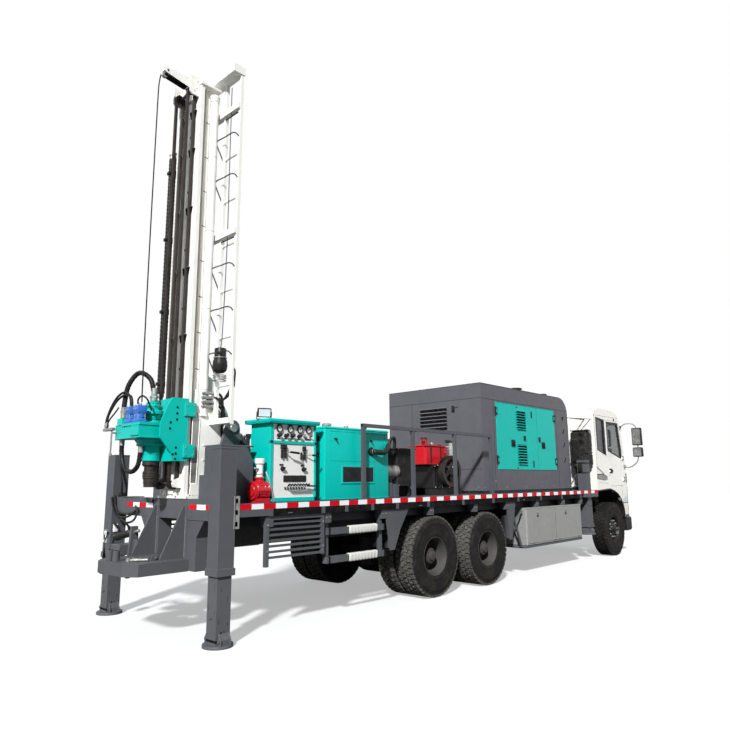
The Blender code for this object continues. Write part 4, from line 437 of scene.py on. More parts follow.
def shader(name, tree, bump=0.1, distance=0.002, metallic=0.0, **values):
    """A material whose group drives colour, roughness and bump of one Principled shader."""
    made = bpy.data.materials.new(name)
    made.use_nodes = True
    nodes = made.node_tree.nodes
    net = Net(made.node_tree)
    surface = nodes["Principled BSDF"]
    surface.inputs["Metallic"].default_value = metallic
    cell = nodes.new("ShaderNodeGroup")
    cell.node_tree = tree
    for label, value in values.items():
        if label in cell.inputs:
            cell.inputs[label].default_value = (*value, 1) if isinstance(value, tuple) else value
    surface.inputs["Specular IOR Level"].default_value = values.get("Gloss", 0.22)
    if "Coat" in values:
        surface.inputs["Coat Weight"].default_value = values["Coat"]
        surface.inputs["Coat Roughness"].default_value = 0.12
    net.link(cell.outputs["Colour"], surface.inputs["Base Color"])
    net.link(cell.outputs["Roughness"], surface.inputs["Roughness"])
    lift = nodes.new("ShaderNodeBump")
    lift.inputs["Strength"].default_value = bump
    lift.inputs["Distance"].default_value = distance
    net.link(cell.outputs["Height"], lift.inputs["Height"])
    net.link(lift.outputs[0], surface.inputs["Normal"])
    return made


def toned(made, axis, low, high, tone):
    """Turn a material's colour into a tone where a coordinate's distance from zero falls below low."""
    net = Net(made.node_tree)
    colour = made.node_tree.nodes["Principled BSDF"].inputs["Base Color"]
    reach = net.sum(net.split(net.place())["XYZ".index(axis)], 0.0, "ABSOLUTE")
    near = net.remap(reach, low, high, 1.0, 0.0)
    net.link(net.blend(near, colour.links[0].from_socket, (*tone, 1)), colour)


def tread_dust(made):
    """Dry dust on the rear tyres' tread, by its distance from the nearest rear axle."""
    net = Net(made.node_tree)
    colour = made.node_tree.nodes["Principled BSDF"].inputs["Base Color"]
    x, _, z = net.split(net.place())
    rise = net.sum(z, -TYRE_RADIUS)
    reaches = []
    for axle in AXLES[1:]:
        run = net.sum(x, -axle)
        reaches.append(net.sum(net.sum(net.times(run, run), net.times(rise, rise)), 0.5, "POWER"))
    reach = net.sum(reaches[0], reaches[1], "MINIMUM")
    worn = net.times(net.remap(reach, TYRE_RADIUS - 0.05, TYRE_RADIUS - 0.01),
                     net.remap(net.noise(30.0), 0.35, 0.6, 0.25, 0.85))
    worn = net.times(worn, net.remap(reach, TYRE_RADIUS + 0.02, TYRE_RADIUS + 0.1, 1.0, 0.0))
    net.link(net.blend(worn, colour.links[0].from_socket, (0.125, 0.12, 0.108, 1)), colour)


FRAME_GREY = shader("frame_grey_paint", PAINT, 0.25, Colour=(0.074, 0.079, 0.089), Fade=0.25, Dusting=0.12,
                    Chips=0.45, Streaks=0.25, Sheen=0.4, Under=(0.14, 0.13, 0.12), Dust=(0.22, 0.2, 0.18))
HOOD_GREY = shader("hood_grey_paint", PAINT, 0.2, Colour=(0.096, 0.095, 0.11), Fade=0.2, Dusting=0.1,
                   Chips=0.15, Streaks=0.18, Sheen=0.42)
TEAL = shader("teal_paint", PAINT, 0.22, Colour=(0.0, 0.46, 0.395), Fade=0.12, Dusting=0.04, Chips=0.22,
              Streaks=0.14, Sheen=0.32, Under=(0.06, 0.12, 0.11), Gloss=0.16)
MAST_WHITE = shader("mast_white_paint", PAINT, 0.25, Colour=(0.86, 0.85, 0.8), Fade=0.1, Dusting=0.06,
                    Chips=0.5, Streaks=0.35, Sheen=0.4, Under=(0.16, 0.13, 0.11))
CAB_WHITE = shader("cab_white_paint", PAINT, 0.12, Colour=(0.85, 0.83, 0.775), Fade=0.1, Dusting=0.12,
                   Chips=0.1, Streaks=0.12, Sheen=0.22, Coat=0.6)
PANEL_WHITE = shader("panel_white", PAINT, 0.15, Colour=(0.78, 0.78, 0.75), Fade=0.12, Dusting=0.06, Chips=0.2,
                     Streaks=0.2, Sheen=0.42)
RED = shader("red_paint", PAINT, 0.25, Colour=(0.46, 0.006, 0.014), Fade=0.08, Dusting=0.08, Chips=0.35,
             Streaks=0.15, Sheen=0.28, Coat=0.3)
BLUE = shader("blue_paint", PAINT, 0.25, Colour=(0.035, 0.155, 0.53), Fade=0.25, Dusting=0.08, Chips=0.35,
              Streaks=0.1, Sheen=0.35)
BOX_SILVER = shader("brushed_sheet", PAINT, 0.15, metallic=0.2, Colour=(0.3, 0.305, 0.295), Fade=0.25,
                    Dusting=0.15, Chips=0.2, Streaks=0.35, Sheen=0.4, Under=(0.25, 0.25, 0.25))
STRIPE_RED = shader("tape_red", PAINT, 0.08, Colour=(0.6, 0.002, 0.012), Gloss=0.1, Fade=0.03, Dusting=0.04,
                    Chips=0.15, Streaks=0.1, Sheen=0.25)
STRIPE_WHITE = shader("tape_white", PAINT, 0.08, Colour=(0.86, 0.86, 0.86), Fade=0.08, Dusting=0.08, Chips=0.15,
                      Streaks=0.1, Sheen=0.25)
FOAM_WHITE = shader("foam_wrap", PAINT, 0.5, 0.006, Colour=(0.66, 0.66, 0.62), Fade=0.3, Dusting=0.2, Chips=0.1,
                    Streaks=0.2, Sheen=0.65)
AXLE_BLACK = shader("axle_black", GRIME, 0.3, Colour=(0.016, 0.016, 0.017), Gloss=0.14, Staining=0.4,
                    Dusting=0.14, Sheen=0.5)
BLACK = shader("black_plastic_and_painted_shadow", GRIME, 0.2, 0.001, Colour=(0.013, 0.013, 0.014), Gloss=0.16, Staining=0.2,
               Dusting=0.08, Grain=260.0, Sheen=0.42)
RUBBER = shader("tyre_rubber", GRIME, 0.35, Colour=(0.012, 0.012, 0.012), Staining=0.3, Dusting=0.22,
                Grain=90.0, Sheen=0.72, Dust=(0.075, 0.07, 0.065), Gloss=0.1)
HOSE_RUBBER = shader("hose_rubber", GRIME, 0.3, 0.001, Colour=(0.011, 0.011, 0.012), Gloss=0.14, Staining=0.3,
                     Dusting=0.08, Grain=200.0, Sheen=0.45)
IRON = shader("oily_iron", GRIME, 0.45, metallic=0.35, Colour=(0.05, 0.042, 0.037), Gloss=0.2, Staining=0.6,
              Dusting=0.16, Grain=80.0, Sheen=0.48, Stain=(0.018, 0.012, 0.009), Dust=(0.16, 0.11, 0.08))
STEEL = shader("bright_steel", GRIME, 0.12, 0.001, metallic=0.9, Colour=(0.55, 0.55, 0.54), Staining=0.15,
               Dusting=0.1, Grain=150.0, Sheen=0.26, Stain=(0.2, 0.19, 0.18))
CAST_AND_PAINTED_SHADE = shader("cast_alloy_and_painted_shade", GRIME, 0.4, metallic=0.6, Colour=(0.36, 0.36, 0.35), Staining=0.35, Dusting=0.2,
              Grain=170.0, Sheen=0.45, Stain=(0.1, 0.09, 0.08))
RIM_DARK = shader("rim_dark", PAINT, 0.3, Colour=(0.022, 0.022, 0.023), Gloss=0.12, Fade=0.3, Dusting=0.35,
                  Chips=0.6, Streaks=0.2, Sheen=0.4, Dust=(0.16, 0.145, 0.13), Under=(0.2, 0.16, 0.13))
LAMP_RED = shader("lamp_red", PAINT, 0.1, Colour=(0.45, 0.015, 0.01), Fade=0.1, Dusting=0.1, Chips=0.0,
                  Streaks=0.1, Sheen=0.15, Coat=0.8)
LAMP_CLEAR = shader("lamp_clear", PAINT, 0.15, Colour=(0.7, 0.72, 0.74), Fade=0.2, Dusting=0.1, Chips=0.0,
                    Streaks=0.1, Sheen=0.12, Coat=0.8)
DARK_GAP_AND_PAINTED_SHADE = shader("dark_gap_and_painted_shade", GRIME, 0.3, Colour=(0.006, 0.006, 0.007), Gloss=0.05, Staining=0.2,
                  Dusting=0.04, Sheen=0.75)
SEAT = shader("seat_cloth", GRIME, 0.6, 0.002, Colour=(0.05, 0.05, 0.055), Staining=0.2, Dusting=0.1,
              Grain=420.0, Sheen=0.85)


def glass_material():
    """Dark cab glass that mirrors the sky a little."""
    made = bpy.data.materials.new("cab_glass")
    made.use_nodes = True
    nodes = made.node_tree.nodes
    net = Net(made.node_tree)
    surface = nodes["Principled BSDF"]
    smear = net.remap(net.noise(3.0, 5.0, 0.6), 0.4, 0.7)
    net.link(net.blend(smear, (0.03, 0.048, 0.046, 1), (0.055, 0.08, 0.076, 1)), surface.inputs["Base Color"])
    net.link(net.remap(net.noise(12.0, 5.0, 0.6), 0.35, 0.75, 0.03, 0.12), surface.inputs["Roughness"])
    surface.inputs["Metallic"].default_value = 0.0
    surface.inputs["IOR"].default_value = 1.5
    surface.inputs["Alpha"].default_value = 0.62
    surface.inputs["Coat Weight"].default_value = 1.0
    surface.inputs["Coat Roughness"].default_value = 0.02
    made.surface_render_method = "BLENDED"
    return made


GLASS = glass_material()

PANE_DARK = shader("dark_pane", PAINT, 0.05, Colour=(0.012, 0.014, 0.022), Fade=0.1, Dusting=0.06, Chips=0.0,
                   Streaks=0.1, Sheen=0.12, Coat=0.5)
# Underframe paint, made near black inboard of the deck's sides below: painted shade under the deck.
UNDER_GREY_AND_PAINTED_SHADE = shader("under_deck_paint_and_painted_shade", PAINT, 0.25, Colour=(0.066, 0.071, 0.081), Fade=0.25, Dusting=0.12,
                    Chips=0.45, Streaks=0.25, Sheen=0.42)
CHASSIS_DARK = shader("chassis_paint", PAINT, 0.25, Colour=(0.018, 0.019, 0.024), Fade=0.3, Dusting=0.2,
                      Chips=0.3, Streaks=0.2, Sheen=0.5)
ENGINE_PAINT = shader("engine_paint", PAINT, 0.25, Colour=(0.52, 0.006, 0.014), Fade=0.08, Dusting=0.08,
                      Chips=0.35, Streaks=0.2, Sheen=0.32)
# Painted shade: the underframe's colour goes near black where |y| falls from 1.19 to 1.08.
toned(UNDER_GREY_AND_PAINTED_SHADE, "Y", 1.08, 1.19, (0.01, 0.01, 0.014))
toned(ENGINE_PAINT, "Z", 1.8, 1.84, (0.014, 0.013, 0.013))
tread_dust(RUBBER)

NODE_FINISHES = (
    (UNDER_GREY_AND_PAINTED_SHADE, ("underframe",)),
    (CHASSIS_DARK, ("chassis_frame",)),
    (ENGINE_PAINT, ("aux_engine",)),
    (FRAME_GREY, ("deck", "guard_rail_right", "guard_rail_left", "rear_frame",
                  "rear_platform", "front_jack_frame", "rear_jack_right", "rear_jack_left", "front_jack_right",
                  "front_jack_left", "raise_barrels")),
    (AXLE_BLACK, ("front_axle", "rear_bogie", "knuckle_right", "knuckle_left", "fuel_tank", "filter_unit",
                  "engine_flywheel", "air_cleaner")),
    (IRON, ("truck_engine", "canopy_machine", "feed_chains", "spindle")),
    (BOX_SILVER, ("toolbox",)),
    (TEAL, ("control_console", "hydraulic_tank", "head_carriage", "head_gearbox", "canopy_door_rear",
            "canopy_door_front")),
    (RED, ("mud_pump",)),
    (HOOD_GREY, ("canopy",)),
    (CAB_WHITE, ("cab_shell", "cab_door_right", "cab_door_left")),
    (BLACK, ("front_bumper",)),
    (CAST_AND_PAINTED_SHADE, ("mirror_right", "mirror_left")),
    (SEAT, ("cab_interior",)),
    (GLASS, ("windscreen",)),
    (MAST_WHITE, ("mast", "ladder", "crown")),
    (BLUE, ("drive_motors",)),
    (HOSE_RUBBER, ("hose_bundle", "inlet_hose", "return_hose")),
    (STEEL, ("raise_rods",)),
    (RUBBER, ("wheel_front_right", "wheel_front_left", "wheel_middle_right", "wheel_middle_left",
              "wheel_rear_right", "wheel_rear_left")),
)
for finish, names in NODE_FINISHES:
    for name in names:
        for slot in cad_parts[name].material_slots:
            slot.material = finish


# Hoses that hang free at both ends of their fittings

def cord_path(points):
    """The hose's centre line as the CAD source draws it: straight ends, smooth between."""
    return [Vector(points[0])] + route(points[1:-1], 32) + [Vector(points[-1])]


CORDS = (
    ("inlet_hose", 0.027, ((SPINDLE_X, MAST_Y, 2.5203), (SPINDLE_X, MAST_Y, 2.545), (-5.385, -0.23, 2.710),
                           (-5.455, -0.10, 2.780), (-5.520, 0.0, 2.640), (-5.540, 0.03, 2.420),
                           (-5.540, 0.03, 2.295), (-5.540, 0.03, 2.2703))),
    ("return_hose", 0.025, ((-5.530, 0.05, 2.0447), (-5.530, 0.05, 2.020), (-5.525, 0.05, 1.880),
                            (-5.515, -0.01, 1.740), (-5.498, -0.14, 1.690), (-5.482, -0.25, 1.760),
                            (-5.475, -0.28, 1.940), (-5.475, -0.28, 1.9647))),
)


# Wheels

def stamp(bm, part, places):
    """Add copies of a part at several places."""
    for place in places:
        copy = part.copy()
        copy.transform(place)
        gather(bm, copy)


def tyre(bm, at, blocks=44):
    """One tyre about local Z: rounded walls with bead and rib rings, four rows of tread blocks."""
    side = [(0.25, 0.116), (0.262, 0.128), (0.272, 0.134), (0.29, 0.1365), (0.296, 0.1395), (0.304, 0.137),
            (0.35, 0.1425), (0.4, 0.144), (0.44, 0.1425), (0.448, 0.1455), (0.456, 0.1415), (0.49, 0.134),
            (0.512, 0.124), (0.524, 0.11), (0.526, 0.05)]
    profile = [(r, at + h) for r, h in side] + [(r, at - h) for r, h in reversed(side)]
    profile.append(profile[0])
    lathe(bm, profile, Matrix.Identity(4), 72)
    part = bmesh.new()
    step = 2 * math.pi / blocks
    for i in range(blocks):
        for row, (z, width, along, skew) in enumerate(((0.104, 0.056, 0.052, 0.1), (0.036, 0.05, 0.048, -0.45),
                (-0.036, 0.05, 0.048, 0.45), (-0.104, 0.056, 0.052, -0.1))):
            turn = Matrix.Rotation((i + 0.5 * (row % 2)) * step, 4, "Z")
            place = turn @ Matrix.Translation((0.528, 0.0, at + z)) @ Matrix.Rotation(skew, 4, "X")
            place = place @ Matrix.Diagonal((0.028, along, width, 1))
            bmesh.ops.create_cube(part, size=1.0, matrix=place)
        for z in (0.126, -0.126):
            turn = Matrix.Rotation((i + 0.25) * step, 4, "Z")
            place = turn @ Matrix.Translation((0.507, 0.0, at + z)) @ Matrix.Diagonal((0.052, 0.04, 0.02, 1))
            bmesh.ops.create_cube(part, size=1.0, matrix=place)
    gather(bm, part)


def wheel(name, x, side, front):
    """Tyres, rim, hub and nuts of one wheel or twin wheel."""
    track = FRONT_TRACK if front else REAR_TRACK
    place = turned((x, side * track, TYRE_RADIUS), "X", -side * math.pi / 2)
    body = "wheel_" + name
    bm = bmesh.new()
    tyre(bm, 0.0)
    if not front:
        tyre(bm, -DUAL_PITCH)
    bm.transform(place)
    piece("tyre_" + name, bm, RUBBER, body, replaces=(body,))
    bm = bmesh.new()
    edge = [(0.226, 0.06), (0.238, 0.092), (0.246, 0.112), (0.25, 0.127), (0.256, 0.1325),
            (0.262, 0.129), (0.251, 0.112)]
    if front:
        profile = [(0.0, 0.152), (0.058, 0.151), (0.074, 0.144), (0.08, 0.118), (0.098, 0.114), (0.104, 0.106),
                   (0.108, 0.086), (0.15, 0.085), (0.195, 0.076), (0.212, 0.058)] + edge
        profile += [(0.251, -0.112), (0.262, -0.129), (0.256, -0.1325), (0.226, -0.1), (0.205, 0.03),
                    (0.118, 0.045), (0.118, -0.03), (0.0, -0.03)]
        nut_z = 0.083
    else:
        profile = [(0.0, 0.094), (0.05, 0.094), (0.064, 0.088), (0.07, 0.066), (0.098, 0.06), (0.106, 0.05),
                   (0.112, -0.07), (0.13, -0.098), (0.2, -0.104), (0.218, -0.092), (0.223, -0.04)] + edge
        profile += [(0.251, -0.44), (0.262, -0.454), (0.256, -0.4575), (0.226, -0.43), (0.222, -0.3),
                    (0.205, -0.205), (0.12, -0.195), (0.0, -0.195)]
        nut_z = -0.104
    lathe(bm, profile, Matrix.Identity(4), 48)
    bm.transform(place)
    piece("rim_" + name, bm, BLACK if front else RIM_DARK, body)
    bm = bmesh.new()
    for p in circle_of((0, 0, nut_z), NUT_CIRCLE, 10, "XY"):
        bar(bm, p, p + Vector((0, 0, 0.024)), 0.0155, 6)
        bar(bm, p + Vector((0, 0, 0.022)), p + Vector((0, 0, 0.04)), 0.0095, 8)
    for p in circle_of((0, 0, 0.112 if front else 0.058), 0.089, 8, "XY", 0.2):
        bar(bm, p, p + Vector((0, 0, 0.01)), 0.007, 6)
    bar(bm, (0.205, 0, nut_z - 0.01), (0.216, 0, nut_z + 0.065), 0.005, 8)
    bm.transform(place)
    piece("nuts_" + name, bm, CAST_AND_PAINTED_SHADE if front else IRON, body)
    bm = bmesh.new()
    for p in circle_of((0, 0, nut_z - 0.004), 0.196, 8, "XY", 0.15):
        bar(bm, p, p + Vector((0, 0, 0.0055)), 0.019 if front else 0.016, 12)
    bm.transform(place)
    piece("handholes_" + name, bm, DARK_GAP_AND_PAINTED_SHADE, body)


def wheels():
    for label, side in (("right", RIGHT), ("left", LEFT)):
        wheel("front_" + label, AXLES[0], side, True)
        wheel("middle_" + label, AXLES[1], side, False)
        wheel("rear_" + label, AXLES[2], side, False)


# Reflective tape

def tape():
    """Red and white tape round the deck's edge and on the cross beam."""
    red, white, seam = blanks(3)
    low, high = 1.292, 1.35
    for side in (RIGHT, LEFT):
        face = side * (SIDE + PROUD)
        skin = layer(face, side, SEAM)
        x = -4.24
        while x > DECK_REAR + 0.02:
            x -= TAPE_PITCH
        while x < DECK_FRONT - 0.03:
            for bm, x0, x1 in ((red, x, x + 0.16), (white, x + 0.162, x + TAPE_PITCH - 0.002)):
                start, end = max(x0, DECK_REAR + 0.004), min(x1, DECK_FRONT - 0.004)
                if end - start > 0.01:
                    box(bm, (start, end), skin, (low, high), 0.0)
            x += TAPE_PITCH
    skin = (MAST_REAR - 0.0017, MAST_REAR - PROUD)
    for y0, y1, bm in ((0.735, 0.59, red), (0.586, 0.43, white), (0.426, 0.276, red), (0.272, 0.118, white),
                       (-0.655, -0.797, red), (-0.801, -0.968, white), (-0.972, -1.058, red)):
        box(bm, skin, (y0, y1), (1.292, 1.346), 0.0)
    for side in (RIGHT, LEFT):
        face = side * SIDE
        box(seam, (DECK_REAR, DECK_FRONT), layer(face, side, 0.006), (1.352, 1.356), 0.0015)
    piece("tape_red", red, STRIPE_RED)
    piece("tape_white", white, STRIPE_WHITE)
    piece("deck_lip", seam, FRAME_GREY)


# Mast

def mast_dress():
    """Joint lines, guide strips, fins on the rear face, the round tubes' collars, and grey strips of painted
    shade on the webs.
    """
    m = MAST_Y
    dark, pale, grey = blanks(3)
    for side in (RIGHT, LEFT):
        face = m + side * 0.19
        for z in (2.424, 2.841, 3.268, 3.696, 4.134, 4.567, 5.008, 5.449, 5.906):
            box(dark, (-4.972, -4.925), layer(face, side, 0.0015), (z - 0.004, z + 0.006), 0.0,
                turn=(math.radians(8), "Y"))
        box(pale, (-4.977, -4.922), (face - side * 0.002, face + side * 0.0008), (2.3, 6.34), 0.0)
        box(dark, (-4.9215, -4.918), layer(face, side, SEAM), (2.32, 6.3), 0.0)
        web = m + side * 0.15
        # A grey strip down each web: painted shade on the white mast.
        box(grey, (-5.036, -4.984), layer(web, side, SEAM), (1.6, 6.34), 0.0)
        for z in (2.844, 3.553, 4.271, 5.001, 5.719):
            box(dark, (-5.0862, -5.0845), mid(m + side * 0.036, 0.016), mid(z, 0.03), 0.0)
        box(dark, (-5.0858, -5.0845), mid(m + side * 0.028, 0.004), (1.7, 6.3), 0.0)
        box(pale, (-5.09, -5.0848), (m + side * 0.205, m + side * 0.249), (1.45, 6.34), 0.0008)
        for k in range(26):
            z = 1.62 + 0.18 * k
            bolts(dark, [(-5.09, m + side * 0.227, z)], REARWARD, 0.0045, 0.0006)
        for z in (3.2, 4.0, 4.75, 5.5, 6.0):
            for dy in (0.06, 0.152):
                fin = [(m + side * dy - 0.016, z + 0.028), (m + side * dy + 0.016, z + 0.028),
                       (m + side * dy + (0.01 if dy < 0.1 else -0.01) * side, z - 0.062)]
                slab(dark, fin, "YZ", (-5.112, -5.088))
            box(grey, (-5.116, -5.086), mid(m + side * 0.106, 0.13), (z + 0.028, z + 0.034), 0.001)
        tube = (-4.885, m + side * 0.235)
        for z, r in ((6.245, 0.062), (6.2, 0.0585), (2.315, 0.06)):
            rod(pale, *tube, (z - 0.012, z + 0.012), r, 24, 0.003)
        for z in (2.6, 3.55, 4.5, 5.45):
            rod(dark, *tube, (z - 0.0015, z + 0.0015), 0.0527, 24)
    box(grey, (-5.0865, -5.0848), (m - 0.026, m + 0.026), (1.75, 6.3), 0.0)
    piece("mast_seams", dark, DARK_GAP_AND_PAINTED_SHADE, "mast")
    piece("mast_strips", pale, MAST_WHITE, "mast")
    piece("mast_shade", grey, CAST_AND_PAINTED_SHADE, "mast")


def mast_foot():
    """The arched recess, foot plate slot and gussets at the mast's lower end."""
    m = MAST_Y
    pale, dark = blanks(2)
    for side in (RIGHT, LEFT):
        face = m + side * 0.26
        arch = [(-5.02, 1.56), (-4.945, 1.56), (-4.93, 2.25), (-4.95, 2.33), (-4.975, 2.36),
                (-5.0, 2.33), (-5.02, 2.25)]
        # The recess is a flat grey sheet in the face: painted shade in the arch.
        slab(dark, arch, "XZ", (face - side * 0.001, face + side * 0.0006))
        rims = (((-5.02, 1.56), (-5.02, 2.25)), ((-4.945, 1.56), (-4.93, 2.25)),
                ((-5.02, 2.25), (-4.975, 2.37)), ((-4.93, 2.25), (-4.975, 2.37)),
                ((-5.02, 1.56), (-4.945, 1.56)))
        for (xa, za), (xb, zb) in rims:
            bar(pale, (xa, face + side * 0.002, za), (xb, face + side * 0.002, zb), 0.006, 8)
        wedge = [(-5.03, 1.44), (-4.86, 1.44), (-4.945, 1.56), (-5.02, 1.56)]
        slab(pale, wedge, "XZ", layer(face, side, 0.012), 0.002)
        for z in (1.5, 1.66, 1.82, 1.98):
            bolts(pale, [(-4.87, face, z)], (0, side, 0), 0.012, 0.008)
    box(dark, (-5.0868, -5.0848), (-0.436, -0.2), (1.432, 1.446), 0.0)
    box(pale, (-5.097, -5.085), (m - 0.31, m + 0.31), (1.4005, 1.428), 0.003)
    bolts(pale, [(-5.05, m + y, 1.4305) for y in (-0.275, 0.275)], UP, 0.016, 0.014)
    for y in (-0.4, -0.16):
        slab(pale, [(-5.085, 1.43), (-5.14, 1.43), (-5.085, 1.56)], "XZ", mid(y, 0.012), 0.001)
    piece("mast_foot_plates", pale, MAST_WHITE, "mast")
    piece("mast_foot_slot_and_painted_recess_shade", dark, CAST_AND_PAINTED_SHADE, "mast")


def ladder_dress():
    """Cage hoops, the lamp's line and black bag, and the hydraulic couplings with their hoses."""
    wire = bmesh.new()
    for z in (5.656, 5.128, 4.027, 3.507, 2.997):
        path = [(-4.765, -0.583, z - 0.26), (-4.8, -0.545, z - 0.13), (-4.842, -0.53, z - 0.02),
                (-4.85, -0.56, z + 0.02), (-4.842, -0.7, z + 0.02), (-4.838, -0.84, z + 0.02),
                (-4.815, -0.885, z + 0.01), (-4.785, -0.9, z - 0.02)]
        curve(wire, path, 26, 0.0075, 8)
    for z in (4.44, 6.03):
        rod(wire, -4.79, (-0.62, -0.88), z - 0.075, 0.008, 8)
    piece("ladder_hoops", wire, IRON, "mast")
    line = bmesh.new()
    path = [(-4.79, -0.735, 6.345), (-4.788, -0.735, 5.4), (-4.786, -0.738, 4.3), (-4.784, -0.705, 3.3),
            (-4.78, -0.674, 3.07)]
    curve(line, path, 40, 0.0055, 8)
    piece("lamp_line", line, FRAME_GREY, "mast")
    bag = bmesh.new()
    lathe(bag, [(0.0, 3.076), (0.062, 3.076), (0.067, 3.066), (0.066, 2.955), (0.08, 2.93), (0.085, 2.87),
                (0.074, 2.818), (0.045, 2.794), (0.0, 2.788)], Matrix.Translation((-4.78, -0.672, 0)), 24)
    piece("lamp_bag", bag, BLACK, "mast")
    ties = bmesh.new()
    for z in (2.965, 2.76, 2.735, 2.705):
        hose(ties, circle_of((-4.78, -0.672, z), 0.072, 25, "XY"), 0.0065, 6)
    piece("bag_ties", ties, CAST_AND_PAINTED_SHADE, "mast")
    metal, black = blanks(2)
    for i, (y, z) in enumerate(((-0.565, 2.56), (-0.56, 2.51), (-0.568, 2.46), (-0.562, 2.412))):
        bar(metal, (-4.93, y, z), (-4.77, y, z + 0.01), 0.017, 12, 0.002)
        bar(metal, (-4.885, y, z + 0.002), (-4.845, y, z + 0.004), 0.025, 6, 0.002)
        bar(metal, (-4.805, y, z + 0.006), (-4.785, y, z + 0.009), 0.024, 6, 0.002)
        path = [(-4.775, y, z + 0.01), (-4.72, y, z + 0.015), (-4.66, y - 0.015 * i, z - 0.06),
                (-4.64, y + 0.03, z - 0.3), (-4.62, y + 0.02, 1.99)]
        curve(black, path, 22, 0.0145, 8)
    for r, z in ((0.1, 2.62), (0.085, 2.58), (0.115, 2.66)):
        path = [(-4.79, -0.6, 2.52), (-4.76, -0.72, 2.5 - r * 0.2), (-4.75, -0.88, z - 0.02),
                (-4.75, -0.88 - r * 0.4, z + r), (-4.76, -0.86, z + r * 2.0)]
        curve(black, path, 20, 0.011, 8)
    piece("couplings", metal, CAST_AND_PAINTED_SHADE, "mast")
    piece("coupling_hoses", black, HOSE_RUBBER, "mast")


def rope_and_hoses():
    """Winch rope from the boom's tip, corrugated hoses in their clamps and the chains' links."""
    rope = bmesh.new()
    path = [(-5.468, -0.262, 6.44), (-5.474, -0.235, 6.405), (-5.476, -0.215, 6.32), (-5.476, -0.205, 6.2),
            (-5.476, -0.205, 5.5), (-5.476, -0.21, 4.5), (-5.476, -0.22, 3.5), (-5.476, -0.235, 2.7),
            (-5.476, -0.245, 2.44)]
    curve(rope, path, 60, 0.0075, 8)
    piece("winch_rope", rope, AXLE_BLACK, "mast")
    hoses = bmesh.new()
    for y in (0.055, 0.12):
        points = [(-5.08, y, 2.6 + 0.0125 * k) for k in range(241)]
        hose(hoses, points, 0.0275, 12, (1.0, 1.09, 1.09, 1.0))
    piece("corrugated_hoses", hoses, HOSE_RUBBER, "mast", 60, ("hose_bundle",))
    clamps = bmesh.new()
    for z in (2.72, 3.6, 4.52, 5.4):
        box(clamps, (-4.972, -4.948), (-0.0897, 0.15), mid(z, 0.06), 0.003)
        box(clamps, (-5.12, -4.95), (0.034, 0.152), mid(z, 0.04), 0.005)
        bolts(clamps, [(-5.12, 0.0875, z)], REARWARD, 0.012, 0.01)
    piece("hose_clamps", clamps, AXLE_BLACK, "mast")
    ends = bmesh.new()
    for y in (0.055, 0.12):
        for z0, z1 in ((2.555, 2.615), (5.59, 5.665)):
            rod(ends, -5.08, y, (z0, z1), 0.024, 16, 0.003)
        rod(ends, -5.08, y, (5.64, 5.66), 0.031, 6)
    piece("hose_ends", ends, CAST_AND_PAINTED_SHADE, "mast")
    links, part = blanks(2)
    for dy in (-0.0165, 0.0165):
        for dz in (-0.0125, 0.0125):
            bmesh.ops.create_cone(part, cap_ends=True, segments=8, radius1=0.0125, radius2=0.0125, depth=0.004,
                                  matrix=turned((0, dy, dz), "X"))
        bmesh.ops.create_cube(part, size=1.0, matrix=Matrix.Translation((0, dy, 0))
                              @ Matrix.Diagonal((0.016, 0.0035, 0.026, 1)))
    bmesh.ops.create_cone(part, cap_ends=True, segments=6, radius1=0.008, radius2=0.008, depth=0.042,
                          matrix=turned((0, 0, 0.0125), "X"))
    spots = []
    low, high, radius, x = 1.56, 6.26, 0.05, -5.155
    count = int((high - low) / 0.05)
    for k in range(count + 1):
        z = low + (high - low) * k / count
        spots.append(Matrix.Translation((x - radius, 0, z)))
        spots.append(Matrix.Translation((x + radius, 0, z)))
    for centre, start in ((high, 0.0), (low, math.pi)):
        for k in range(1, 4):
            t = start + math.pi * k / 4
            spots.append(turned((x + radius * math.cos(t), 0, centre + radius * math.sin(t)), "Y", -t))
    for side in (RIGHT, LEFT):
        y = MAST_Y + side * 0.13
        stamp(links, part, [Matrix.Translation((0, y, 0)) @ spot for spot in spots])
    part.free()
    piece("chain_links", links, IRON, "mast")


def crown_dress():
    """Hole, painted shade under the boom, pulley and bolts on the crown; a grey lug on its top."""
    m = MAST_Y
    dark = bmesh.new()
    rod(dark, -5.425, (m - 0.047, m + 0.047), 6.462, 0.014, 16)
    # A dark sheet along the boom's underside: painted shade.
    box(dark, (-5.46, -5.16), (m - 0.0455, m + 0.0455), (6.388, 6.394), 0.0, turn=(math.radians(7), "Y"))
    piece("crown_hole_and_painted_boom_shade", dark, DARK_GAP_AND_PAINTED_SHADE, "mast")
    grey = bmesh.new()
    slab(grey, [(-5.09, 6.5), (-4.93, 6.5), (-4.96, 6.555), (-5.04, 6.565)], "XZ", mid(m, 0.1), 0.003)
    lathe(grey, [(0.0, -0.02), (0.04, -0.02), (0.03, -0.006), (0.03, 0.006), (0.04, 0.02), (0.0, 0.02)],
          turned((-5.445, m, 6.415), "X"), 24)
    piece("crown_pulley", grey, CAST_AND_PAINTED_SHADE, "mast")
    pale = bmesh.new()
    for side in (RIGHT, LEFT):
        face = m + side * 0.2
        bolts(pale, [(-5.12, face, 6.3), (-5.12, face, 6.4), (-5.155, face, 6.26)], (0, side, 0), 0.012, 0.008)
        plate = [(m + side * 0.05, 6.382), (m + side * 0.265, 6.382), (m + side * 0.05, 6.47)]
        slab(pale, plate, "YZ", (-5.06, -5.045), 0.001)
    for x in (-5.07, -4.84):
        for y in (-0.24, 0.24):
            bolts(pale, [(x, m + y, 6.3806)], UP, 0.013, 0.01)
    piece("crown_bolts", pale, MAST_WHITE, "mast")


# Rotary head

def ring_band(bm, centre, radius, height, depth, sides=24):
    """A flat collar round an upright axis."""
    rod(bm, centre[0], centre[1], (height - depth / 2, height + depth / 2), radius, sides, 0.002)


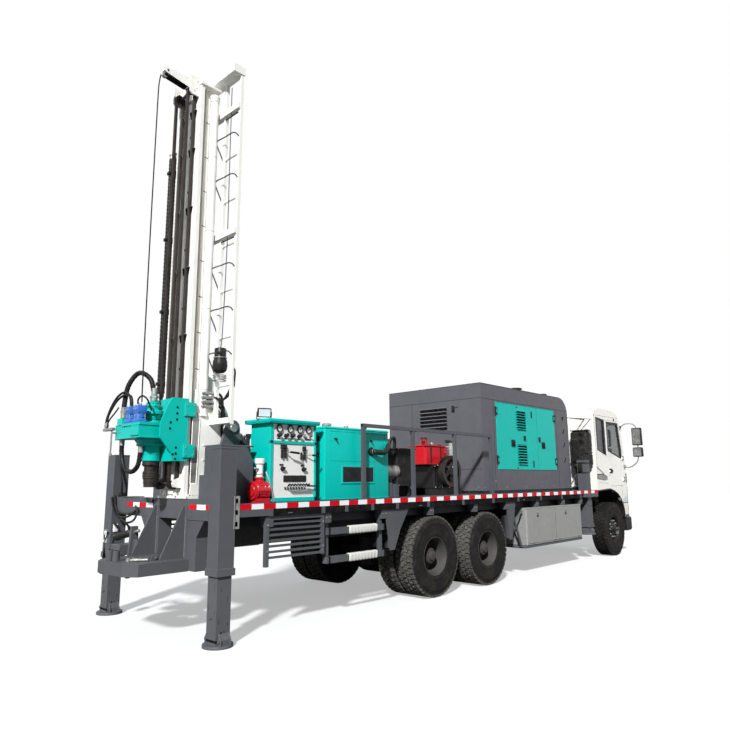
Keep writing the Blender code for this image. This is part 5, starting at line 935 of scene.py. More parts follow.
def head_dress():
    """Bolt holes, flanges, rivets and pads of the head; its motors' ports, fittings and small hoses."""
    m = MAST_Y
    teal, dark, metal = blanks(3)
    for side in (RIGHT, LEFT):
        face = m + side * 0.286
        for x, z in ((-5.227, 2.375), (-5.227, 2.309), (-5.227, 2.242), (-5.3, 2.206), (-5.305, 2.142),
                     (-5.225, 1.942), (-5.225, 1.877), (-5.228, 1.822), (-5.262, 1.87)):
            rod(dark, x, (face - side * 0.002, face + side * 0.0012), z, 0.0135, 16)
            rod(dark, x, (face - side * 0.002, face + side * 0.006), z, 0.009, 6)
        pad = m + side * 0.29
        for z0, z1 in ((1.835, 1.975), (2.285, 2.435)):
            box(teal, (-5.144, -5.004), layer(pad, side, 0.014), (z0, z1), 0.004)
            bolts(metal, [(x, pad + side * 0.014, z) for x in (-5.12, -5.03) for z in (z0 + 0.03, z1 - 0.03)],
                  (0, side, 0), 0.009, 0.006)
        box(teal, (-5.105, -5.093), layer(face, side, 0.004), (1.8, 2.48), 0.001)
    case_low, case_high = 2.045, 2.195
    rear = -5.6
    flange = [(-5.2575, m - 0.208), (-5.2575, m + 0.208), (-5.4, m + 0.208), (-5.505, m + 0.405),
              (-5.562, m + 0.446), (rear - 0.01, m + 0.225), (rear - 0.01, m - 0.208)]
    slab(teal, flange, "XY", (case_low - 0.006, case_low + 0.008), 0.002)
    slab(teal, flange, "XY", (case_high - 0.004, case_high + 0.0075), 0.002)
    for i in range(9):
        y = m - 0.185 + 0.046 * i
        bolts(dark, [(rear - 0.004, y, case_high + 0.0075)], UP, 0.0055, 0.003)
        bolts(teal, [(rear - 0.01, y, case_high - 0.022)], REARWARD, 0.006, 0.004)
    for i in range(6):
        x = -5.56 + 0.055 * i
        for side in (RIGHT, LEFT):
            bolts(teal, [(x, m + side * 0.19, case_high + 0.0075)], UP, 0.0065, 0.005)
    box(teal, (rear - 0.0125, rear), (m - 0.19, m - 0.01), (2.062, 2.172), 0.003)
    for y in (m - 0.175, m - 0.1, m - 0.025):
        bolts(teal, [(rear - 0.0125, y, z) for z in (2.075, 2.16)], REARWARD, 0.006, 0.004)
    rod(metal, (-5.62, -5.54), 0.112, 2.118, 0.011, 16)
    lug = (-5.53, 0.1)
    rod(dark, *lug, (2.19, 2.206), 0.02, 16)
    spin = (SPINDLE_X, m)
    for z, r, d in ((2.215, 0.116, 0.02), (2.275, 0.088, 0.01), (2.325, 0.106, 0.034), (2.395, 0.068, 0.012),
                    (2.436, 0.066, 0.016), (1.98, 0.156, 0.018), (2.025, 0.158, 0.02), (1.812, 0.096, 0.018),
                    (1.88, 0.094, 0.008)):
        ring_band(teal, spin, r, z, d, 32)
    for count, radius, z in ((12, 0.104, 2.226), (12, 0.095, 2.343), (14, 0.146, 1.968), (10, 0.078, 2.402)):
        axis = (0, 0, 1) if z > 2 else (0, 0, -1)
        bolts(teal if z < 2 else metal, circle_of((*spin, z), radius, count, "XY"), axis, 0.0065, 0.007)
    for z in (2.252, 2.3):
        ring_band(dark, spin, 0.0845 if z < 2.27 else 0.1025, z, 0.006, 32)
    ring_band(metal, spin, 0.04, 2.47, 0.03, 24)
    ring_band(metal, spin, 0.046, 2.5, 0.024, 6)
    piece("head_plates", teal, TEAL, "head")
    piece("head_holes", dark, DARK_GAP_AND_PAINTED_SHADE, "head")
    piece("head_bolts", metal, CAST_AND_PAINTED_SHADE, "head")
    blue, ports = blanks(2)
    for y in (m - 0.085, m + 0.105):
        box(blue, (-5.601, -5.499), mid(y, 0.104), (2.3, 2.3865), 0.008, 2)
        box(blue, (-5.606, -5.52), mid(y, 0.112), (2.2035, 2.24), 0.006, 2)
        ring_band(blue, (-5.55, y), 0.054, 2.262, 0.012, 28)
        for dx in (-0.038, 0.038):
            for dy in (-0.038, 0.038):
                rod(ports, -5.55 + dx, y + dy, (2.24, 2.394), 0.0062, 8)
        rod(ports, (-5.612, -5.6), y - 0.02, 2.345, 0.012, 12)
        rod(ports, (-5.612, -5.6), y + 0.024, 2.345, 0.012, 12)
        rod(ports, -5.55, y, (2.385, 2.412), 0.015, 6, 0.002)
    piece("motor_covers", blue, BLUE, "head")
    thin = bmesh.new()
    for dy in (0.0, 0.034):
        path = [(-5.56, -0.165 - dy, 2.392), (-5.562, -0.16 - dy, 2.455),
                (-5.566, -0.12 - dy, 2.522 - dy * 0.4), (-5.57, -0.01, 2.56 - dy),
                (-5.58, 0.12, 2.52 - dy * 1.2), (-5.588, 0.235, 2.42 - dy), (-5.592, 0.32 - dy * 0.4, 2.3),
                (-5.59, 0.345 - dy, 2.235)]
        curve(thin, path, 30, 0.0125, 10)
        rod(ports, -5.59, 0.345 - dy, (2.17, 2.245), 0.0155, 8, 0.002)
        rod(ports, -5.59, 0.345 - dy, (2.2, 2.222), 0.018, 6, 0.002)
    path = [(-5.552, m - 0.03, 2.405), (-5.56, m - 0.048, 2.455), (-5.54, m - 0.09, 2.49),
            (-5.505, m - 0.135, 2.455), (-5.47, m - 0.15, 2.37), (-5.455, m - 0.15, 2.33)]
    curve(thin, path, 26, 0.0095, 8)
    path = [(-5.598, 0.3, 2.16), (-5.585, 0.29, 2.26), (-5.56, 0.2, 2.35), (-5.56, 0.12, 2.4)]
    curve(thin, path, 18, 0.0085, 8)
    box(ports, (-5.606, -5.56), (0.16, 0.385), (2.148, 2.18), 0.004)
    rod(ports, -5.583, 0.205, (2.165, 1.86), 0.01, 8)
    rod(ports, -5.583, 0.205, (1.9, 1.86), 0.016, 8, 0.003)
    for z, r in ((2.3, 0.033), (2.345, 0.036)):
        rod(ports, -5.54, 0.03, (z - 0.012, z + 0.012), r, 6, 0.003)
    rod(ports, -5.54, 0.03, (2.275, 2.4), 0.0315, 16, 0.004)
    rod(ports, SPINDLE_X, MAST_Y, (2.5205, 2.6), 0.0315, 16, 0.004)
    rod(ports, -5.53, 0.05, (1.975, 2.0445), 0.029, 16, 0.004)
    rod(ports, -5.475, -0.28, (1.89, 1.964), 0.029, 16, 0.004)
    piece("small_hoses", thin, HOSE_RUBBER, "head")
    piece("hose_fittings", ports, CAST_AND_PAINTED_SHADE, "head")
    neck = bmesh.new()
    for z, r, d in ((1.765, 0.088, 0.012), (1.722, 0.067, 0.006), (1.706, 0.067, 0.004), (1.672, 0.079, 0.01),
                    (1.64, 0.079, 0.006), (1.575, 0.07, 0.008)):
        ring_band(neck, spin, r, z, d, 32)
    bolts(neck, circle_of((*spin, 1.752), 0.074, 8, "XY"), DOWN, 0.0065, 0.008)
    piece("spindle_rings", neck, IRON, "spindle")


def head_cords():
    """The two large hoses with ringed skins, in place of the CAD model's plain hoses."""
    for name, radius, points in CORDS:
        bm = bmesh.new()
        fine = []
        path = cord_path(points)
        for a, b in zip(path, path[1:]):
            pieces = max(1, int((b - a).length / 0.011))
            fine += [a.lerp(b, k / pieces) for k in range(pieces)]
        fine.append(path[-1])
        hose(bm, fine, radius * 0.97, 12, (1.0, 1.07, 1.07))
        obj = piece(name + "_cover", bm, HOSE_RUBBER, "head", 60, (name,))


head_cords()
wheels()
tape()
mast_dress()
mast_foot()
ladder_dress()
rope_and_hoses()
crown_dress()
head_dress()


# Machines on the deck

def console():
    """Control cabinet: overhanging roof, pale panels, gauges, knobs, levers and a flood lamp."""
    x0, x1 = -4.385, -3.7
    back, face = -0.76, -1.1
    base = ON_DECK
    teal, panel, black, metal = blanks(4)
    side = [(x0, 2.235), (x0, base + 0.1), (x0 + 0.08, base), (x1, base), (x1, 2.235)]
    slab(teal, side, "XZ", (face, back), 0.004)
    box(teal, (x0 - 0.06, x1 + 0.02), (-1.17, -0.71), (2.234, 2.27), 0.006, 2)
    box(teal, (x0 - 0.054, x1 + 0.014), (-1.164, -0.716), (2.222, 2.236), 0.003)
    for x, z in (((x0, x0 + 0.042), (1.42, 2.23)), ((x1 - 0.03, x1), (1.352, 2.23)), ((x0, x1), (1.994, 2.03)),
                 ((x0 + 0.03, x1), (1.352, 1.4)), ((x0, x1), (2.214, 2.232))):
        box(teal, x, (face - 0.02, face + 0.004), z, 0.004)
    box(panel, (x0 + 0.04, x1 - 0.028), (face - 0.008, face + 0.002), (2.028, 2.216), 0.001)
    box(panel, (x0 + 0.04, x1 - 0.028), (face - 0.008, face + 0.002), (1.398, 1.996), 0.001)
    skin = face - 0.008
    dial = Matrix.Rotation(math.pi / 2, 4, "X")
    for x in (-4.258, -4.1, -3.954, -3.822):
        ring = [(0.036, 0.0), (0.0415, 0.004), (0.0415, 0.02), (0.036, 0.024), (0.032, 0.02),
                (0.032, 0.01), (0.0, 0.01)]
        lathe(black, ring, Matrix.Translation((x, skin, 2.165)) @ dial, 32)
        rod(panel, x, (skin - 0.009, skin - 0.0125), 2.165, 0.0318, 32)
        bar(black, (x - 0.004, skin - 0.0135, 2.16), (x + 0.018, skin - 0.0135, 2.182), 0.0017, 6)
        rod(black, x, (skin - 0.012, skin - 0.016), 2.165, 0.006, 12)
        for p in circle_of((x, skin - 0.0128, 2.165), 0.025, 9, "XZ", -0.6):
            block(black, (p.x, p.y, p.z), (0.003, 0.001, 0.003), 0.0)
        box(black, mid(x, 0.05), (skin - 0.016, skin), (2.204, 2.214), 0.002)
    for x in (-4.266, -4.163, -4.071, -3.968):
        rod(black, x, (skin + 0.002, skin - 0.012), 2.088, 0.024, 20, 0.002)
        rod(black, x, (skin - 0.01, skin - 0.04), 2.088, 0.0145, 16, 0.002)
        bar(black, (x, skin - 0.034, 2.094), (x, skin - 0.052, 2.096), 0.0215, 20, 0.005)
        box(black, mid(x, 0.04), (skin - 0.004, skin + 0.001), (2.048, 2.06), 0.001)
    for p in circle_of((-3.872, skin, 2.092), 0.022, 7, "XZ", 0.4):
        bar(black, p, p - Vector((0, 0.01, 0)), 0.005, 8)
    rod(metal, -3.872, (skin, skin - 0.03), 2.092, 0.009, 12, 0.002)
    bar(black, (-3.8, skin, 2.084), (-3.79, skin - 0.045, 2.1), 0.0075, 10, 0.002)
    box(black, (-3.872, -3.782), (skin - 0.01, skin), (2.052, 2.066), 0.002)
    box(black, (-4.238, -4.156), (skin - 0.03, skin), (1.934, 1.983), 0.004)
    box(black, (-4.222, -4.172), (skin - 0.04, skin - 0.028), (1.944, 1.972), 0.003)
    for xa, xb, za, zb in ((-4.23, -4.21, 1.835, 1.928), (-4.178, -4.161, 1.835, 1.93),
            (-3.942, -3.925, 1.823, 1.905), (-3.895, -3.875, 1.823, 1.912)):
        box(black, (xa, xb), (skin - 0.03, skin), (za, zb), 0.004)
    box(black, (-3.911, -3.871), (skin - 0.03, skin), (1.918, 1.976), 0.004)
    bar(metal, (-4.17, skin - 0.014, 1.9), (-4.13, skin - 0.075, 1.897), 0.0075, 10)
    bar(black, (-4.148, skin - 0.07, 1.902), (-4.03, skin - 0.092, 1.89), 0.0125, 12, 0.004)
    bar(metal, (-3.885, skin - 0.012, 1.88), (-3.8, skin - 0.06, 1.875), 0.0065, 10)
    bar(black, (-3.805, skin - 0.058, 1.874), (-3.742, skin - 0.078, 1.872), 0.013, 12, 0.005)
    for x, z in ((-4.206, 1.718), (-3.893, 1.712)):
        box(black, mid(x - 0.012, 0.055), (skin - 0.006, skin), (z + 0.034, z + 0.052), 0.001)
        rod(black, x, (skin + 0.002, skin - 0.02), z, 0.026, 20, 0.003)
        bar(black, (x - 0.022, skin - 0.024, z - 0.008), (x + 0.024, skin - 0.03, z + 0.008), 0.0135, 12, 0.005)
    box(black, (-4.186, -3.851), (skin - 0.0085, skin), (1.572, 1.643), 0.002)
    box(black, (-4.176, -3.861), (skin - 0.0105, skin - 0.006), (1.582, 1.633), 0.002)
    for i in range(8):
        x = -4.16 + 0.041 * i
        box(black, mid(x, 0.02), (skin - 0.012, skin), (1.49, 1.516), 0.002)
        bar(metal, (x, skin - 0.004, 1.502), (x + 0.002, skin - 0.06, 1.534), 0.005, 8)
        bar(black, (x + 0.002, skin - 0.052, 1.528), (x + 0.004, skin - 0.088, 1.548), 0.0105, 12, 0.004)
    bar(black, (-3.862, skin - 0.03, 1.524), (-3.735, skin - 0.052, 1.521), 0.0095, 12, 0.003)
    for x in (x0 + 0.05, x1 - 0.038):
        for z in (1.41, 1.69, 1.985, 2.04, 2.205):
            rod(metal, x, (skin + 0.001, skin - 0.003), z, 0.0045, 8)
    for z in (1.56, 2.05):
        rod(teal, x0 - 0.006, -0.775, (z - 0.04, z + 0.04), 0.007, 8)
    place = turned((-4.397, -1.01, 2.342), "Z", math.radians(-24))
    lamp = bmesh.new()
    box(lamp, (-0.078, 0.078), (-0.02, 0.024), (-0.052, 0.052), 0.006)
    box(lamp, (-0.06, 0.06), (0.022, 0.042), (-0.038, 0.038), 0.006)
    for i in range(7):
        box(lamp, mid(-0.048 + 0.016 * i, 0.004), (0.04, 0.054), (-0.034, 0.034), 0.0)
    for x in (-0.084, 0.084):
        box(lamp, mid(x, 0.006), (-0.01, 0.01), (-0.07, 0.012), 0.001)
    box(lamp, (-0.087, 0.087), (-0.01, 0.01), (-0.074, -0.068), 0.001)
    lamp.transform(place @ Matrix.Rotation(math.radians(12), 4, "X"))
    gather(black, lamp)
    lens = bmesh.new()
    box(lens, (-0.066, 0.066), (-0.0225, -0.018), (-0.041, 0.041), 0.001)
    lens.transform(place @ Matrix.Rotation(math.radians(12), 4, "X"))
    piece("console_cabinet", teal, TEAL, replaces=("control_console",))
    piece("console_panels", panel, PANEL_WHITE)
    piece("console_controls", black, BLACK)
    piece("console_metal", metal, STEEL)
    piece("flood_lamp_lens", lens, LAMP_CLEAR)


def tank():
    """Oil tank: rounded sheet box, sight window, small handles, filler cap and the black outlet hose."""
    x0, x1 = -3.56, -2.4
    y0, y1 = -1.12, -0.68
    teal, black, metal = blanks(3)
    base = ON_DECK
    box(teal, (x0, x1), (y0, y1), (base, 2.235), 0.012, 3)
    box(teal, (x0 - 0.006, x1 + 0.006), (y0 - 0.006, y1 + 0.006), (2.206, 2.222), 0.004)
    for z in (base + 0.006, 1.36):
        box(teal, (x0 - 0.004, x1 + 0.004), (y0 - 0.004, y1 + 0.004), (z, z + 0.008), 0.002)
    for x, z in (((-3.478, -2.47), (1.818, 1.822)), ((-3.478, -2.47), (2.176, 2.18)),
                 ((-3.48, -3.476), (1.818, 2.18)), ((-2.472, -2.468), (1.818, 2.18))):
        box(teal, x, (y0 - 0.0035, y0 + 0.001), z, 0.0012)
    box(teal, (-3.285, -2.69), (y0 - 0.01, y0 + 0.002), (1.54, 1.768), 0.004)
    box(black, (-3.262, -2.713), (y0 - 0.012, y0 - 0.008), (1.563, 1.745), 0.001)
    bolts(metal, [(x, y0 - 0.01, z) for x in (-3.274, -3.135, -2.99, -2.845, -2.701) for z in (1.551, 1.757)],
          RIGHTWARD, 0.0055, 0.004)
    for x in (-3.393, -2.757):
        rod(black, x, (y0 + 0.001, y0 - 0.03), 2.086, 0.0125, 14, 0.003)
        bar(black, (x, y0 - 0.026, 2.086), (x + 0.012, y0 - 0.036, 2.066), 0.0085, 12, 0.003)
    box(black, (x0 - 0.01, x0 + 0.001), mid(-0.997, 0.06), (2.058, 2.122), 0.004)
    bar(black, (x0 - 0.028, -1.003, 2.128), (x0 - 0.028, -0.985, 2.062), 0.012, 12, 0.004)
    rod(black, (x0 + 0.001, x0 - 0.026), -0.999, 1.894, 0.027, 20, 0.004)
    cap = Matrix.Translation((x0 + 0.14, y0 + 0.12, 2.2345))
    lathe(metal, [(0.0, 0.046), (0.05, 0.045), (0.056, 0.038), (0.056, 0.014), (0.046, 0.012), (0.046, 0.0),
                  (0.066, 0.0), (0.066, -0.003), (0.0, -0.003)], cap, 28)
    for p in circle_of((x0 + 0.14, y0 + 0.12, 2.26), 0.0565, 16, "XY"):
        box(metal, mid(p.x, 0.006), mid(p.y, 0.006), (2.2485, 2.27), 0.001)
    rod(metal, x0 + 0.56, y0 + 0.2, (2.234, 2.275), 0.03, 20, 0.004)
    lathe(black, [(0.0, 0.03), (0.04, 0.03), (0.048, 0.022), (0.048, 0.0), (0.06, 0.0), (0.06, -0.01),
                  (0.0, -0.01)], turned((-2.735, y0 - 0.002, 1.945), "X"), 24)
    path = [(-2.735, y0 - 0.02, 1.945), (-2.715, y0 - 0.062, 1.942), (-2.64, y0 - 0.084, 1.935),
            (-2.56, y0 - 0.076, 1.945), (-2.44, y0 - 0.03, 2.01), (-2.33, y0 + 0.07, 2.085),
            (-2.235, y0 + 0.18, 2.11), (-2.175, y0 + 0.26, 2.06), (-2.15, y0 + 0.29, 1.985)]
    points = route(path, 90)
    hose(black, points, 0.034, 14, (1.0, 1.05, 1.05))
    for k in (3, 66):
        a, b = points[k], points[k + 2]
        bar(metal, a, b, 0.0385, 18, 0.002)
    piece("oil_tank", teal, TEAL, replaces=("hydraulic_tank",))
    piece("oil_tank_fittings", black, BLACK)
    piece("oil_tank_caps", metal, CAST_AND_PAINTED_SHADE)


def filter_dress():
    """Silver return filter, cooler fins, hoses and the grey box at the tank's foot."""
    silver, black, grey = blanks(3)
    z = 1.7003
    y = -0.93
    lathe(silver, [(0.0, -0.005), (0.06, -0.004), (0.08, 0.004), (0.0875, 0.018), (0.0875, 0.09),
                   (0.0895, 0.093), (0.0895, 0.1), (0.0875, 0.103), (0.0875, 0.215), (0.0895, 0.218),
                   (0.0895, 0.226), (0.0875, 0.229), (0.0875, 0.262), (0.0, 0.262)],
          turned((-2.305, y, z), "Y"), 32)
    lathe(black, [(0.0, -0.01), (0.02, -0.01), (0.022, 0.002), (0.058, 0.004), (0.064, 0.012), (0.064, 0.04),
                  (0.0, 0.04)], turned((-2.35, y, z), "Y"), 28)
    bolts(silver, circle_of((-2.3455, y, z), 0.044, 6, "YZ"), REARWARD, 0.008, 0.006)
    for i in range(17):
        box(black, (-2.064, -2.058), (-0.965, -0.615), mid(1.545 + 0.028 * i, 0.01), 0.0)
    for i in range(14):
        box(black, mid(-2.035 + 0.027 * i, 0.009), (-0.986, -0.98), (1.535, 1.985), 0.0)
    box(black, (-2.075, -1.645), (-0.995, -0.585), (2.0, 2.022), 0.004)
    box(black, (-2.075, -1.645), (-0.995, -0.585), (1.5, 1.52), 0.004)
    for xx in (-2.04, -1.68):
        bolts(silver, [(xx, -0.995, 2.011), (xx, -0.995, 1.51)], RIGHTWARD, 0.008, 0.005)
    curve(black, [(-2.02, -0.9, 2.02), (-2.02, -0.91, 2.1), (-2.06, -0.93, 2.165), (-2.12, -0.92, 2.135),
                  (-2.14, -0.9, 2.05), (-2.15, -0.87, 1.93), (-2.2, -0.88, 1.8)], 40, 0.024, 12)
    curve(black, [(-2.24, -0.86, 1.775), (-2.25, -0.82, 1.86), (-2.22, -0.76, 1.94),
                  (-2.1, -0.72, 1.9)], 24, 0.02, 12)
    for x0, x1 in ((-2.375, -2.245), (-2.225, -2.115)):
        box(grey, (x0, x1), (-1.06, -0.86), (1.3505, 1.545 if x0 < -2.3 else 1.525), 0.006)
        rod(grey, x0 + 0.05, -0.96, (1.53, 1.59), 0.014, 12)
    box(grey, (-2.33, -2.06), (-0.945, -0.915), (1.59, 1.618), 0.003)
    piece("filter_can", silver, CAST_AND_PAINTED_SHADE)
    piece("filter_hoses", black, BLACK)
    piece("deck_boxes", grey, FRAME_GREY)


def engine_dress():
    """Fins, covers, pipes, filler and bolts of the small red engine, and its belt wheel's rim."""
    red, metal, black = blanks(3)
    x, y = -0.735, -0.62
    base = ON_DECK
    box(red, (x - 0.434, x + 0.116), (y - 0.176, y + 0.176), (base + 0.455, base + 0.475), 0.006)
    box(red, (x - 0.434, x + 0.116), (y - 0.176, y + 0.176), (base + 0.735, base + 0.752), 0.006)
    for xx in (x - 0.28, x - 0.03):
        box(black, mid(xx, 0.03), (y - 0.168, y + 0.168), (base + 0.438, base + 0.768), 0.004)
    for i in range(6):
        box(red, mid(x - 0.24 + 0.09 * i, 0.02), (y - 0.2285, y - 0.215), (base + 0.14, base + 0.4), 0.004)
    bolts(metal, [(x + dx, y - 0.221, base + dz) for dx in (-0.27, -0.1, 0.08, 0.25) for dz in (0.12, 0.43)],
          RIGHTWARD, 0.011, 0.009)
    rod(metal, x + 0.135, y - 0.235, (base + 0.53, base + 0.745), 0.092, 28, 0.012)
    for z in (0.56, 0.6, 0.64, 0.68, 0.72):
        rod(metal, x + 0.135, y - 0.235, (base + z, base + z + 0.01), 0.098, 28)
    rod(metal, x + 0.135, y - 0.235, (base + 0.742, base + 0.8), 0.03, 16, 0.004)
    for dx, dz, r in ((0.03, 0.4, 0.04), (0.13, 0.42, 0.034), (0.2, 0.36, 0.028)):
        rod(metal, x + dx, (y - 0.21, y - 0.29), base + dz, r, 18, 0.005)
    for i in range(5):
        bar(black, (x + 0.07 + 0.05 * i, y, base + 0.428 + 0.028 * i), (x + 0.082 + 0.05 * i, y,
                base + 0.435 + 0.028 * i), 0.142, 24)
    curve(black, [(x + 0.3, y - 0.06, base + 0.62), (x + 0.36, y - 0.1, base + 0.74),
                  (x + 0.3, y - 0.12, base + 0.82), (x + 0.18, y - 0.12, base + 0.83)], 24, 0.026, 12)
    curve(black, [(x + 0.28, y - 0.23, base + 0.2), (x + 0.16, y - 0.28, base + 0.16),
                  (x - 0.05, y - 0.25, base + 0.18), (x - 0.22, y - 0.24, base + 0.1)], 30, 0.012, 8)
    curve(black, [(x + 0.2, y - 0.24, base + 0.52), (x + 0.22, y - 0.28, base + 0.4),
                  (x + 0.12, y - 0.28, base + 0.28), (x + 0.02, y - 0.24, base + 0.3)], 30, 0.009, 8)
    lathe(metal, [(0.0, 0.04), (0.034, 0.038), (0.038, 0.02), (0.03, 0.0), (0.0, 0.0)],
          Matrix.Translation((x - 0.07, y - 0.02, base + 0.765)), 20)
    lathe(black, [(0.0, 0.03), (0.046, 0.026), (0.054, 0.012), (0.054, -0.004), (0.0, -0.004)],
          Matrix.Translation((x - 0.18, y + 0.05, base + 0.862)), 20)
    rod(black, x - 0.36, y - 0.08, (base + 0.76, base + 0.82), 0.026, 16, 0.005)
    for i in range(11):
        t = -0.5 + 0.05 * i
        rod(metal, (x + 0.3 + 0.012 * i, x + 0.306 + 0.012 * i), y + 0.14, base + 0.54,
            0.06 - 0.02 * abs(t), 18)
    piece("engine_covers", red, ENGINE_PAINT)
    piece("engine_metal", metal, STEEL)
    piece("engine_hoses", black, BLACK)
    rim = bmesh.new()
    centre = (x, y - 0.3, base + 0.36)
    turn = turned(centre, "X")
    for z0 in (-0.046, 0.04):
        lathe(rim, [(0.2385, z0), (0.2385, z0 + 0.006), (0.186, z0 + 0.006), (0.186, z0),
                    (0.2385, z0)], turn, 36)
    for z0 in (-0.024, 0.0, 0.024):
        lathe(rim, [(0.2375, z0 - 0.006), (0.2375, z0 + 0.006), (0.234, z0 + 0.006), (0.234, z0 - 0.006),
                    (0.2375, z0 - 0.006)], turn, 36)
    bolts(rim, circle_of((centre[0], centre[1] - 0.035, centre[2]), 0.05, 5, "XZ"), RIGHTWARD, 0.009, 0.008)
    piece("flywheel_rim", rim, IRON, "flywheel")


def pump_dress():
    """Flanges, bolts, pale bottle and hose of the red water pump, and the zinc strip beside it."""
    metal, pale, red = blanks(3)
    x, y = -4.46, -1.06
    base = ON_DECK
    for dx, r in ((-0.124, 0.06), (-0.1, 0.102), (0.0, 0.101), (0.05, 0.102)):
        rod(red, (x + dx - 0.008, x + dx + 0.008), y, base + 0.13, r, 28, 0.003)
    bolts(metal, circle_of((x - 0.108, y, base + 0.13), 0.084, 8, "YZ"), REARWARD, 0.0085, 0.008)
    for p, q in zip(circle_of((x - 0.06, y, base + 0.13), 0.093, 10, "YZ"),
                    circle_of((x + 0.03, y, base + 0.13), 0.098, 10, "YZ")):
        bar(red, p, q, 0.007, 6)
    rod(red, x - 0.02, y, (base + 0.255, base + 0.272), 0.056, 24, 0.003)
    rod(pale, x - 0.02, y, (base + 0.272, base + 0.425), 0.0385, 24, 0.004)
    rod(pale, x - 0.02, y, (base + 0.416, base + 0.476), 0.0535, 24, 0.006)
    rod(metal, x - 0.02, y, (base + 0.3, base + 0.312), 0.041, 24)
    bolts(metal, circle_of((x - 0.02, y, base + 0.272), 0.046, 6, "XY"), UP, 0.008, 0.008)
    bar(metal, (x - 0.055, y - 0.02, base + 0.36), (x - 0.115, y - 0.03, base + 0.37), 0.012, 12, 0.003)
    curve(metal, [(x + 0.05, y - 0.02, base + 0.33), (x + 0.07, y - 0.05, base + 0.24),
                  (x + 0.1, y - 0.07, base + 0.1), (x + 0.13, y - 0.08, base + 0.01)], 20, 0.01, 8)
    piece("pump_flanges", red, RED)
    piece("pump_bolts", metal, CAST_AND_PAINTED_SHADE)
    piece("pump_bottle", pale, PANEL_WHITE)
    zinc, slot = blanks(2)
    box(zinc, (-4.944, -4.87), (-1.2565, -1.2505), (1.107, 1.433), 0.0015)
    box(zinc, (-4.944, -4.938), (-1.2705, -1.2505), (1.107, 1.433), 0.0015)
    for z in (1.155, 1.27, 1.385):
        rod(slot, -4.906, (-1.2575, -1.2545), z - 0.012, 0.014, 14)
        box(slot, mid(-4.906, 0.028), (-1.2575, -1.2545), mid(z, 0.024), 0.0)
        rod(slot, -4.906, (-1.2575, -1.2545), z + 0.012, 0.014, 14)
    piece("zinc_strip", zinc, CAST_AND_PAINTED_SHADE)
    piece("zinc_strip_slots", slot, DARK_GAP_AND_PAINTED_SHADE)


# Sound hood

